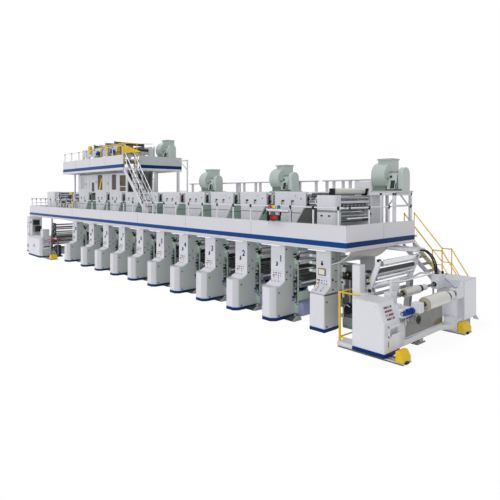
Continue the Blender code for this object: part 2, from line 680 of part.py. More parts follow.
def make_blowers(root, green):
    """Build the three platform fans and the one on the tower."""
    for index, x in enumerate(BLOWER_XS):
        name = f"blower_{index + 1}"
        add_node(name, blower_mesh(name), green, (x, BLOWER_Y, HOOD_TOP + TOUCH), root)
    add_node("tower_blower", blower_mesh("tower_blower"), green,
             (TOWER_BLOWER_X, TOWER_BLOWER_Y, TOWER_BLOWER_BASE_Z + TOUCH), root)


def make_rear_frame(root, white):
    """Build the stands behind the hoods and the table that carries the first fan."""
    bar = REAR_FRAME_BAR
    half = bar / 2
    floor = DECK_TOP + TOUCH
    top = REAR_FRAME_TOP
    right = -FASCIA_THICKNESS - RAIL_POST_SIZE - RAIL_CLEARANCE
    left = min(min(legs) for legs in REAR_STANDS) - REAR_PLATE_OVERHANG
    shapes = [block((left, REAR_FRAME_Y - half, floor), (right, REAR_FRAME_Y + half, floor + bar))]
    leg = REAR_LEG_SIZE / 2
    for legs in REAR_STANDS:
        for x in legs:
            shapes.append(block((x - leg, REAR_FRAME_Y + half - 0.001 - REAR_LEG_SIZE, floor + 0.001),
                                (x + leg, REAR_FRAME_Y + half - 0.001, top - 0.01)))
        shapes.append(block((min(legs) - REAR_PLATE_OVERHANG, REAR_PLATE_FRONT_Y, top - bar),
                            (max(legs) + REAR_PLATE_OVERHANG, REAR_FRAME_Y + half, top)))
    size = BLOWER_FRAME_BAR
    table_top = HOOD_TOP
    tie_low, tie_high = BLOWER_FRAME_TIE_LOW, BLOWER_FRAME_TIE_HIGH
    near = BLOWER_FRAME_FRONT_Y
    rear = REAR_FRAME_Y - size / 2
    for x in (BLOWER_FRAME_LEFT_X, right - size):
        for y in (near, rear):
            shapes.append(block((x + 0.001, y + 0.001, floor),
                                (x + size, y + size, table_top - 0.01)))
    for y in (near, rear):
        shapes.append(block((BLOWER_FRAME_LEFT_X, y - 0.002, table_top - size),
                            (right, y + size + 0.002, table_top)))
    for x in (BLOWER_FRAME_LEFT_X - 0.001, right - size - 0.002):
        shapes.append(block((x, near + 0.01, table_top - size + 0.003),
                            (x + size + 0.002, rear + 0.01, table_top - 0.002)))
        shapes.append(block((x + 0.01, near + 0.01, tie_low), (x + size - 0.01, rear + 0.01, tie_high)))
    add_node("rear_frame", fuse("rear_frame", shapes), white, (0, 0, 0), root)


def make_tower(root, white, steel):
    """Build the tower platform with its legs and railing, the wall, the rollers and the stair."""
    left, right = TOWER_LEFT_X, TOWER_RIGHT_X
    front, rear = TOWER_FRONT_Y, TOWER_REAR_Y
    skin = FASCIA_THICKNESS
    low, high = TOWER_FASCIA_BOTTOM, TOWER_FASCIA_TOP
    floor = TOWER_FLOOR_TOP
    shapes = [
        block((left, front, low), (right, rear, floor)),
        block((left, front, low + 0.01), (right - 0.001, front + skin, high)),
        block((left, front + 0.01, low + 0.012), (left + skin, rear, high)),
        block((right - skin, TOWER_STAIR_OPENING_REAR_Y, low + 0.014), (right, rear, high)),
    ]
    size = TOWER_POST_SIZE
    for x in (left + 0.01, right - size - 0.01):
        shapes.append(block((x, TOWER_POST_REAR_Y - size, DECK_TOP + TOUCH),
                            (x + size, TOWER_POST_REAR_Y, low + 0.05)))
    post = RAIL_POST_SIZE
    rail_y = front + skin + post / 2 - 0.004
    span = right - left - 3 * RAIL_OVERHANG
    for index in range(TOWER_RAIL_POSTS):
        x = left + 1.5 * RAIL_OVERHANG + index * span / (TOWER_RAIL_POSTS - 1)
        shapes.append(block((x - post / 2, rail_y - post / 2, high - 0.15),
                            (x + post / 2, rail_y + post / 2, TOWER_RAIL_TOP + 0.01)))
    shapes.append(rod("X", rail_y, TOWER_RAIL_TOP, RAIL_RADIUS, left + RAIL_OVERHANG,
                      right - RAIL_OVERHANG, 8))
    add_node("tower_platform", fuse("tower_platform", shapes), white, (0, 0, 0), root)

    base = HOOD_TOP + TOUCH
    wall = [block((WALL_LEFT_X, WALL_Y, base), (WALL_RIGHT_X, WALL_Y + WALL_THICKNESS, low - TOUCH))]
    windows = [block((x0, WALL_Y - 0.1, z0), (x1, WALL_Y + WALL_THICKNESS + 0.1, z1))
               for x0, x1, z0, z1 in WALL_WINDOWS]
    add_node("tower_wall", fuse("tower_wall", wall, windows), white, (0, 0, 0), root)

    cheek = TOWER_CHEEK_THICKNESS
    start = floor + TOUCH
    rollers = []
    for y in (TOWER_CHEEK_FRONT_Y, TOWER_CHEEK_REAR_Y):
        rollers.append(block((TOWER_CHEEK_LEFT_X, y, start),
                             (TOWER_CHEEK_RIGHT_X, y + cheek, TOWER_CHEEK_TOP)))
    for x in TOWER_ROLLER_XS:
        rollers.append(rod("Y", x, TOWER_ROLLER_Z, TOWER_ROLLER_RADIUS, TOWER_CHEEK_FRONT_Y + 0.02,
                           TOWER_CHEEK_REAR_Y + 0.02, 12))
    table_front = TOWER_BLOWER_Y - BLOWER_DEPTH / 2
    table_left = TOWER_BLOWER_X - TOWER_TABLE_LENGTH / 2
    table = block((table_left, table_front, start),
                  (table_left + TOWER_TABLE_LENGTH, table_front + TOWER_TABLE_DEPTH, TOWER_BLOWER_BASE_Z))
    link = block((TOWER_CHEEK_RIGHT_X - 0.05, TOWER_CHEEK_REAR_Y + 0.01, start + 0.002),
                 (table_left + 0.10, TOWER_CHEEK_REAR_Y + 0.06, start + TOWER_LINK_HEIGHT))
    rollers += [table, link]
    add_node("tower_rollers", fuse("tower_rollers", rollers), steel, (0, 0, 0), root)
    make_tower_stair(root, white)


def make_tower_stair(root, white):
    """Build the steep stair from the deck to the tower floor, with its two tube handrails."""
    foot_x, head_x = TOWER_STAIR_FOOT_X, TOWER_STAIR_TOP_X
    base = DECK_TOP + TOUCH
    head = TOWER_FLOOR_TOP
    near, far = TOWER_STAIR_Y, TOWER_STAIR_Y + TOWER_STAIR_WIDTH
    stringer = [(foot_x, base), (head_x, head - TOWER_STAIR_DEPTH), (head_x, head),
                (foot_x - 0.001, base + TOWER_STAIR_DEPTH)]
    shapes = []
    for y in (near, far - STRINGER_THICKNESS):
        shapes.append(prism(stringer, "Y", y, y + STRINGER_THICKNESS))
    rise = (head - base) / (TOWER_STAIR_STEPS + 1)
    run = (head_x - foot_x) / (TOWER_STAIR_STEPS + 1)
    for step in range(1, TOWER_STAIR_STEPS + 1):
        x = foot_x + run * step
        z = base + rise * step
        shapes.append(block((x - TREAD_DEPTH / 2, near + 0.02, z - 0.01),
                            (x + TREAD_DEPTH / 2, far - 0.02, z + 0.03)))
    for y in (near + 0.02, far - 0.02):
        start = (foot_x - 0.30, y, base + TOWER_HANDRAIL_HEIGHT + 0.20)
        end = (head_x + 0.12, y, head + TOWER_HANDRAIL_HEIGHT - 0.02)
        shapes.append(strut(start, end, TOWER_HANDRAIL_SIZE))
        for share in (0.03, 0.5, 0.95):
            x = start[0] + (end[0] - start[0]) * share
            z = start[2] + (end[2] - start[2]) * share
            shapes.append(block((x - 0.015, y - 0.016, z - TOWER_HANDRAIL_HEIGHT), (x + 0.015, y + 0.016, z)))
    add_node("tower_stair", fuse("tower_stair", shapes), white, (0, 0, 0), root)


def make_infeed(root, white, steel, film):
    """Build the infeed roller station on the deck and the unwinder below it."""
    floor = DECK_TOP + TOUCH
    shapes = [
        block((INFEED_CABINET_LEFT_X, HOOD_FRONT_Y, floor),
              (INFEED_CABINET_RIGHT_X, INFEED_CABINET_REAR_Y, INFEED_TOP)),
        block((INFEED_CABINET_RIGHT_X - 0.05, INFEED_PLATE_Y, floor + 0.001),
              (INFEED_FRAME_RIGHT_X, INFEED_PLATE_Y + INFEED_PLATE_THICKNESS, INFEED_TOP - 0.03)),
        block((INFEED_CABINET_LEFT_X, INFEED_REAR_PLATE_Y, floor),
              (INFEED_FRAME_RIGHT_X, INFEED_REAR_PLATE_Y + INFEED_REAR_DEPTH, INFEED_TOP - 0.02)),
    ]
    for x, z in INFEED_ROLLERS:
        shapes.append(rod("Y", x, z, INFEED_ROLLER_RADIUS, INFEED_PLATE_Y + 0.02,
                          INFEED_REAR_PLATE_Y + 0.02, 12))
    add_node("infeed_roller_station", fuse("infeed", shapes), steel, (0, 0, 0), root)

    shapes = [
        block((UNWINDER_LEFT_X, UNWINDER_FRONT_Y, 0.0), (UNWINDER_RIGHT_X, UNWINDER_REAR_Y, UNWINDER_TOP)),
        block((UNWINDER_LEFT_X, UNWIND_FRAME_Y, 0.0),
              (UNWINDER_RIGHT_X, UNWIND_FRAME_REAR_Y, FASCIA_BOTTOM - TOUCH)),
    ]
    for x in (UNWINDER_LEFT_X + UNWIND_BEAM_INSET, UNWINDER_RIGHT_X - UNWIND_BEAM_INSET - UNWIND_BEAM_WIDTH):
        shapes.append(block((x, UNWINDER_REAR_Y - 0.02, UNWIND_BEAM_BOTTOM),
                            (x + UNWIND_BEAM_WIDTH, UNWIND_FRAME_Y + 0.02, UNWIND_BEAM_TOP)))
    add_node("unwinder_stand", fuse("unwinder", shapes), white, (0, 0, 0), root)
    front = UNWINDER_REAR_Y + JOURNAL_GAP
    rear = UNWIND_FRAME_Y - JOURNAL_GAP
    middle = (front + rear) / 2
    half = (rear - front) / 2
    roll = [rod("Y", 0, 0, SPINDLE_RADIUS, -half, half, 12),
            rod("Y", 0, 0, CHUCK_RADIUS, -half + UNWIND_CHUCK_INSET, half - UNWIND_CHUCK_INSET, 16),
            rod("Y", 0, 0, UNWIND_ROLL_RADIUS, -half + UNWIND_FACE_INSET, half - UNWIND_FACE_INSET, 32)]
    mesh = fuse("unwind_roll", roll)
    shade_round(mesh)
    add_node("unwind_roll", mesh, film, (UNWIND_ROLL_X, middle, UNWINDER_ARM_Z), root)
    add_node("electric_cabinet",
             block_mesh("electric", (ELECTRIC_LEFT_X, ELECTRIC_FRONT_Y, 0.0),
                        (ELECTRIC_RIGHT_X, ELECTRIC_REAR_Y, FASCIA_BOTTOM - TOUCH)), white, (0, 0, 0), root)


def block_mesh(name, low, high):
    """Return the mesh of one plain block."""
    return mesh_from([block(low, high)], name)


def roll_mesh(name, front, rear, face_front, face_rear, radius):
    """Return a wound roll on its spindle with chucks, centred on the spindle's middle."""
    middle = (front + rear) / 2
    shapes = [rod("Y", 0, 0, SPINDLE_RADIUS, front - middle, rear - middle, 12),
              rod("Y", 0, 0, CHUCK_RADIUS, face_front - CHUCK_OVERHANG - middle,
                  face_rear + CHUCK_OVERHANG - middle, 16),
              rod("Y", 0, 0, radius, face_front - middle, face_rear - middle, 30)]
    mesh = fuse(name, shapes)
    shade_round(mesh)
    return mesh, middle


def make_rewinder(root, white, yellow, film, steel):
    """Build the rewinder: tracks, front cabinet, rear frame, rolls and web guide."""
    for name, front, rear in (("front_track", FRONT_TRACK_FRONT_Y, FRONT_TRACK_REAR_Y),
                              ("rear_track", REAR_TRACK_FRONT_Y, REAR_TRACK_REAR_Y)):
        bumper_left = TRACK_RIGHT_X - BUMPER_LENGTH
        nose = TRACK_RIGHT_X - 0.01
        bumper_top = TRACK_THICKNESS + BUMPER_HEIGHT
        bumper = [(bumper_left, TRACK_THICKNESS - 0.01), (nose, TRACK_THICKNESS - 0.01),
                  (nose, BUMPER_NOSE_Z), (nose - BUMPER_SLOPE, bumper_top), (bumper_left, bumper_top)]
        shapes = [block((TRACK_LEFT_X, front, 0.0), (TRACK_RIGHT_X, rear, TRACK_THICKNESS)),
                  prism(bumper, "Y", front + 0.02, rear - 0.02)]
        add_node(name, fuse(name, shapes), yellow, (0, 0, 0), root)
    make_rewinder_cabinets(root, white)

    mesh, middle = roll_mesh("rewind_roll", GEARBOX_REAR_Y + JOURNAL_GAP, REAR_BEARING_Y - JOURNAL_GAP,
                             REWIND_ROLL_FRONT_Y + 0.10, REWIND_ROLL_REAR_Y, REWIND_ROLL_RADIUS)
    add_node("rewind_roll", mesh, film, (REWIND_ROLL_X, middle, REWIND_ROLL_Z), root)
    mesh, middle = roll_mesh("inner_roll", INNER_BEARING_REAR_Y + JOURNAL_GAP,
                             INNER_REAR_BEARING_Y - JOURNAL_GAP, REWIND_ROLL_FRONT_Y, REWIND_ROLL_REAR_Y,
                             INNER_ROLL_RADIUS)
    add_node("inner_roll", mesh, film, (INNER_ROLL_X, middle, INNER_ROLL_Z), root)

    near = COLUMN_FRONT_Y + COLUMN_DEPTH + TOUCH
    thickness = GUIDE_PLATE_THICKNESS
    guide = [prism(GUIDE_PLATE, "Y", y, y + thickness) for y in (near, GUIDE_REAR_Y)]
    for x, z, radius in GUIDE_FRAME_ROLLERS:
        guide.append(rod("Y", x, z, radius, near + thickness / 2, GUIDE_REAR_Y + thickness / 2, 12))
    add_node("web_guide_frame", fuse("web_guide", guide), steel, (0, 0, 0), root)


def make_rewinder_cabinets(root, white):
    """Build the rewinder's front cabinet with its column, and the rear cabinet with the base beam."""
    rest_z = TRACK_THICKNESS + TOUCH
    profile = [(CABINET_LEFT_X, rest_z), (CABINET_RIGHT_X, rest_z), (CABINET_RIGHT_X, CABINET_KNEE_Z),
               (CABINET_TOP_X, CABINET_TOP), (CABINET_LEFT_X, CABINET_TOP)]
    back_rear = CABINET_REAR_Y + CABINET_BACK_DEPTH
    inner_low, inner_high = INNER_ROLL_X - INNER_BEARING_HALF, INNER_ROLL_X + INNER_BEARING_HALF
    shapes = [prism(profile, "Y", CABINET_FRONT_Y, CABINET_REAR_Y),
              block((COLUMN_LEFT_X, COLUMN_FRONT_Y, 0.0),
                    (CABINET_LEFT_X + 0.02, COLUMN_FRONT_Y + COLUMN_DEPTH, COLUMN_TOP)),
              block((CABINET_LEFT_X + CABINET_BACK_INSET, CABINET_REAR_Y - 0.02, CABINET_BACK_BOTTOM),
                    (CABINET_RIGHT_X - CABINET_BACK_INSET, back_rear, CABINET_BACK_TOP)),
              block(*GEARBOX_ARM),
              block((GEARBOX_LEFT_X, GEARBOX_FRONT_Y, GEARBOX_BOTTOM),
                    (GEARBOX_RIGHT_X, GEARBOX_REAR_Y, GEARBOX_TOP)),
              block((inner_low, INNER_BEARING_FRONT_Y, INNER_BEARING_BOTTOM),
                    (inner_high, INNER_BEARING_REAR_Y, INNER_ROLL_Z + INNER_ROLL_RADIUS))]
    add_node("rewinder_front_cabinet", fuse("front_cabinet", shapes), white, (0, 0, 0), root)

    foot_front = REAR_TRACK_FRONT_Y + 0.06
    beam_right = BASE_BEAM_LEFT_X + BASE_BEAM_WIDTH
    beam = [(BASE_BEAM_LEFT_X, back_rear + TOUCH), (beam_right, back_rear + TOUCH),
            (beam_right, BASE_BEAM_BEND_Y),
            (BASE_BEAM_REAR_RIGHT_X, foot_front), (BASE_BEAM_REAR_RIGHT_X, BASE_BEAM_REAR_Y),
            (BASE_BEAM_REAR_LEFT_X, BASE_BEAM_REAR_Y), (BASE_BEAM_LEFT_X, BASE_BEAM_BEND_Y)]
    cabinet_face = REAR_CABINET_FRONT_Y + 0.02
    body = [
        block((REAR_CABINET_LEFT_X, REAR_CABINET_FRONT_Y, REAR_CABINET_BOTTOM),
              (REAR_CABINET_RIGHT_X, REAR_CABINET_REAR_Y, REAR_CABINET_TOP)),
        prism(beam, "Z", BASE_BEAM_BOTTOM, BASE_BEAM_TOP),
        block((BASE_BEAM_LEFT_X - 0.02, foot_front - 0.02, rest_z),
              (BASE_BEAM_REAR_RIGHT_X + 0.005, BASE_BEAM_REAR_Y + 0.01, BASE_FOOT_TOP)),
        block(*MIDDLE_FOOT),
        block(*REAR_FOOT),
        block((GEARBOX_LEFT_X - 0.01, REAR_BEARING_Y, GEARBOX_BOTTOM),
              (REAR_CABINET_RIGHT_X - 0.01, cabinet_face, GEARBOX_TOP)),
        block((TERMINAL_LEFT_X, TERMINAL_FRONT_Y, TERMINAL_BOTTOM),
              (TERMINAL_RIGHT_X, cabinet_face, TERMINAL_TOP)),
        block((inner_low, INNER_REAR_BEARING_Y, INNER_ROLL_Z - INNER_ROLL_RADIUS),
              (inner_high, cabinet_face, INNER_ROLL_Z + INNER_ROLL_RADIUS - 0.02)),
    ]
    add_node("rewinder_rear_frame", fuse("rear_frame", body), white, (0, 0, 0), root)


def make_access_stair(root, yellow):
    """Build the yellow stair behind the platform: two flights, a landing and their handrails."""
    front, rear = STAIR_FRONT_Y, STAIR_REAR_Y
    top_x, foot_x = STAIR_TOP_X, STAIR_FOOT_X
    left, right = STAIR_LANDING_LEFT_X, STAIR_LANDING_RIGHT_X
    top_z, landing_z = DECK_TOP - STAIR_TOP_DROP, STAIR_LANDING_Z
    depth = STAIR_STRINGER_DEPTH
    thickness = STRINGER_THICKNESS
    shapes = []
    for y in (front, rear - thickness):
        upper = [(top_x, top_z), (left, landing_z), (left, landing_z + depth), (top_x, top_z + depth)]
        middle = [(left - 0.01, landing_z - 0.02), (right + 0.01, landing_z - 0.02),
                  (right + 0.01, landing_z + depth - 0.02), (left - 0.01, landing_z + depth - 0.02)]
        lower = [(right, landing_z), (foot_x - 0.05, 0.0), (foot_x + 0.10, 0.0), (right, landing_z + depth)]
        shapes += [prism(outline, "Y", y, y + thickness) for outline in (upper, middle, lower)]
        shapes.append(block((left, y + 0.001, 0.0), (left + 0.05, y + thickness - 0.001, landing_z + 0.05)))
        shapes.append(block((top_x, y + 0.002, top_z),
                            (top_x + 0.06, y + thickness - 0.002, DECK_TOP - 0.01)))
    shapes.append(block((top_x - 0.30, PLATFORM_DEPTH + TOUCH, DECK_TOP - 0.06),
                        (top_x + 0.15, rear - 0.001, DECK_TOP)))
    shapes.append(block((left, front + 0.001, landing_z + depth / 2),
                        (right, rear - 0.001, landing_z + depth / 2 + thickness)))
    half = STAIR_TREAD_DEPTH / 2
    for step in range(1, STAIR_FLIGHT_TREADS):
        share = step / STAIR_FLIGHT_TREADS
        upper_step = (top_x + (left - top_x) * share, top_z + (landing_z - top_z) * share + depth / 2)
        lower_step = (right + (foot_x - right) * share, landing_z * (1 - share) + depth / 2)
        for x, z in (upper_step, lower_step):
            shapes.append(block((x - half, front + 0.01, z - 0.015), (x + half, rear - 0.01, z + 0.015)))
    for y in (front + thickness / 2, rear - thickness / 2):
        line = [(top_x + 0.05, top_z + 0.15 + RAIL_ABOVE_TREAD), (left, landing_z + RAIL_ABOVE_TREAD),
                (right, landing_z + RAIL_ABOVE_TREAD), (foot_x - 0.10, 0.10 + RAIL_ABOVE_TREAD)]
        for (x0, z0), (x1, z1) in zip(line, line[1:]):
            shapes.append(strut((x0 - 0.002, y, z0), (x1 + 0.002, y, z1), STAIR_RAIL_SIZE))
            shapes.append(strut((x0 - 0.001, y, z0 - STAIR_MIDRAIL_DROP),
                                (x1 + 0.001, y, z1 - STAIR_MIDRAIL_DROP), STAIR_MIDRAIL_SIZE))
        for x, z in line:
            shapes.append(block((x - STAIR_RAIL_SIZE / 2, y - 0.016, z - RAIL_ABOVE_TREAD + 0.02),
                                (x + STAIR_RAIL_SIZE / 2, y + 0.016, z)))
    add_node("access_stair", fuse("access_stair", shapes), yellow, (0, 0, 0), root)


def make_side_guard(root, yellow):
    """Build the yellow tube guard between the outfeed unit and the rewinder."""
    size = GUARD_TUBE
    left, near, far = GUARD_LEFT_X, GUARD_FRONT_Y, GUARD_REAR_Y
    top, bottom = GUARD_RAIL_TOP, GUARD_RAIL_BOTTOM
    reach = CABINET_LEFT_X - TOUCH
    shapes = [block((left, y, 0.0), (left + size, y + size, top)) for y in (near, far)]
    for low in (top - size, bottom):
        shapes.append(block((left + 0.001, near + 0.01, low + 0.0005),
                            (left + size - 0.001, far + 0.01, low + size - 0.001)))
        shapes.append(block((left + 0.01, near + 0.001, low - 0.0005),
                            (reach, near + size - 0.001, low + size - 0.002)))
    add_node("side_guard", fuse("side_guard", shapes), yellow, (0, 0, 0), root)


def make_hoses(root, black):
    """Build the two ribbed hoses that hang from the cable tray to the rewinder's terminal box."""
    for index in range(HOSE_COUNT):
        y = HOSE_FIRST_Y + index * HOSE_PITCH
        end_y = HOSE_END_Y + index * HOSE_PITCH
        control = [(TRAY_RIGHT_X + HOSE_STRAIGHT, y, TRAY_MIDDLE_Z)]
        control += [(TRAY_RIGHT_X + reach, y + sideways, z) for reach, sideways, z in HOSE_BENDS]
        control.append((HOSE_END_X, end_y, TERMINAL_TOP + HOSE_STRAIGHT))
        points = [(TRAY_RIGHT_X + TOUCH, y, TRAY_MIDDLE_Z)]
        points += smooth_points(control, 4)
        points.append((HOSE_END_X, end_y, TERMINAL_TOP + TOUCH))
        curve = bpy.data.curves.new(f"hose_{index + 1}", "CURVE")
        curve.dimensions = "3D"
        curve.bevel_depth = HOSE_RADIUS
        curve.bevel_resolution = 2
        curve.use_fill_caps = True
        spline = curve.splines.new("POLY")
        spline.points.add(len(points) - 1)
        for point, place in zip(spline.points, points):
            point.co = (*place, 1.0)
        hose = bpy.data.objects.new(f"hose_{index + 1}", curve)
        bpy.context.scene.collection.objects.link(hose)
        hose.parent = root
        curve.materials.append(black)


def smooth_points(control, per_span):
    """Return points on a smooth curve through the control points."""
    padded = [control[0]] + list(control) + [control[-1]]
    points = []
    for index in range(len(control) - 1):
        a, b, c, d = padded[index:index + 4]
        for step in range(per_span):
            t = step / per_span
            points.append(tuple(
                0.5 * (2 * b[k] + (c[k] - a[k]) * t + (2 * a[k] - 5 * b[k] + 4 * c[k] - d[k]) * t ** 2
                       + (3 * b[k] - a[k] - 3 * c[k] + d[k]) * t ** 3) for k in range(3)))
    points.append(control[-1])
    return points


def main():
    """Build the whole press."""
    clear_scene()
    root = bpy.data.objects.new("press_root", None)
    bpy.context.scene.collection.objects.link(root)
    root.location = (-(PRESS_LEFT_X + PRESS_RIGHT_X) / 2, -(PRESS_FRONT_Y + PRESS_REAR_Y) / 2, 0.0)
    white = paint("white_enamel", WHITE)
    green = paint("fan_green", BLOWER_GREEN)
    steel = paint("steel", STEEL, 0.35, 0.6)
    yellow = paint("safety_yellow", YELLOW)
    film = paint("wound_film", FILM, 0.3)
    black = paint("hose_black", BLACK, 0.6)
    make_print_units(root, white, steel)
    make_platform(root, white)
    make_outfeed(root, white, steel)
    make_blowers(root, green)
    make_rear_frame(root, white)
    make_tower(root, white, steel)
    make_infeed(root, white, steel, film)
    make_rewinder(root, white, yellow, film, steel)
    make_access_stair(root, yellow)
    make_side_guard(root, yellow)
    make_hoses(root, black)
    bpy.context.view_layer.update()


main()
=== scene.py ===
"""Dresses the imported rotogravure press: meshes, finishes, studio and camera.

All sizes are in metres. Pieces are drawn in the machine's own frame, in which X = 0 is the right end of
the platform, Y = 0 the front of its fascia and Z = 0 the floor. MACHINE_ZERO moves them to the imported
model.
"""
import logging
import math
from dataclasses import dataclass
from enum import Enum
from typing import Callable, Iterable, Sequence

import bmesh
import bpy
from mathutils import Matrix, Vector


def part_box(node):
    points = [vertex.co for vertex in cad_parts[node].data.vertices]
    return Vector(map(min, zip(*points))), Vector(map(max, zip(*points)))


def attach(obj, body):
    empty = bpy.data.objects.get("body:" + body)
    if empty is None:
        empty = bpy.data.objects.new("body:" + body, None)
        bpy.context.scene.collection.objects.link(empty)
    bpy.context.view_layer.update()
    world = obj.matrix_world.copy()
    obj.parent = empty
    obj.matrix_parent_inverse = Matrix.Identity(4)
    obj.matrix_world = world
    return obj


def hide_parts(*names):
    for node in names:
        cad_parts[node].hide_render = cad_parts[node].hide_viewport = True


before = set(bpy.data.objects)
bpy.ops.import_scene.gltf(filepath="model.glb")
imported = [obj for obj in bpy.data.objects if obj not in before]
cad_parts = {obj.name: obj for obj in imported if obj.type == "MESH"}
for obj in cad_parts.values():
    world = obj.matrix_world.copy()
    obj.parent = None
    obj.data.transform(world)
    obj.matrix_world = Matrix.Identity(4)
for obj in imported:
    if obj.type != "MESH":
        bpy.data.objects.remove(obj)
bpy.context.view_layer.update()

LOG = logging.getLogger("press")

Flat = tuple[float, float]
Place = tuple[float, float, float]
Shape = bmesh.types.BMesh

PRESS = "press"
MACHINE_ZERO = Vector((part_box("right_parapet")[1].x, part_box("front_parapet")[0].y, 0.0))
SMOOTH_ANGLE = math.radians(33)
DRIVE_Y = 2.65
FASCIA_LOW = 2.375
FASCIA_HIGH = 3.10
DECK_TOP = 2.52
SEAT = 0.0003
PLATFORM_REAR = 3.75 + SEAT
HOOD_TOP = 4.0 + SEAT
TRACK_TOP = 0.05 + SEAT
FRAME_TOP = FASCIA_LOW - SEAT
FIRST_UNIT_X = -2.88
UNIT_PITCH = 1.78
LAST_UNIT_STEP = 2.34
UNIT_XS = tuple(FIRST_UNIT_X - UNIT_PITCH * index for index in range(9)) + (FIRST_UNIT_X - UNIT_PITCH * 8
    - LAST_UNIT_STEP,)


class Axis(Enum):
    """The direction that a shape is swept or turned along."""

    X = "X"
    Y = "Y"
    Z = "Z"

    def point(self, u: float, v: float, w: float) -> Place:
        """Return the point at (u, v) across the axis and w along it.

        Args:
            u: the first coordinate across the axis.
            v: the second one.
            w: the coordinate along it.

        Returns:
            The point.
        """
        if self is Axis.X:
            return (w, u, v)
        if self is Axis.Y:
            return (u, w, v)
        return (u, v, w)


class Grain(Enum):
    """The fine surface pattern of a finish."""

    PEEL = "sprayed enamel"
    BRUSHED = "drawn metal"
    ENGRAVED = "engraved cells"
    WOUND = "wound layers"
    PLATE = "raised floor pattern"
    MESH = "woven screen"
    MOULDED = "moulded plastic"


# Finishes


def srgb(red: int, green: int, blue: int) -> tuple[float, float, float, float]:
    """Return a linear colour from screen values of 0 to 255."""
    def linear(value: int) -> float:
        """Return one linear channel."""
        share = value / 255
        return share / 12.92 if share <= 0.04045 else ((share + 0.055) / 1.055) ** 2.4
    return (linear(red), linear(green), linear(blue), 1.0)


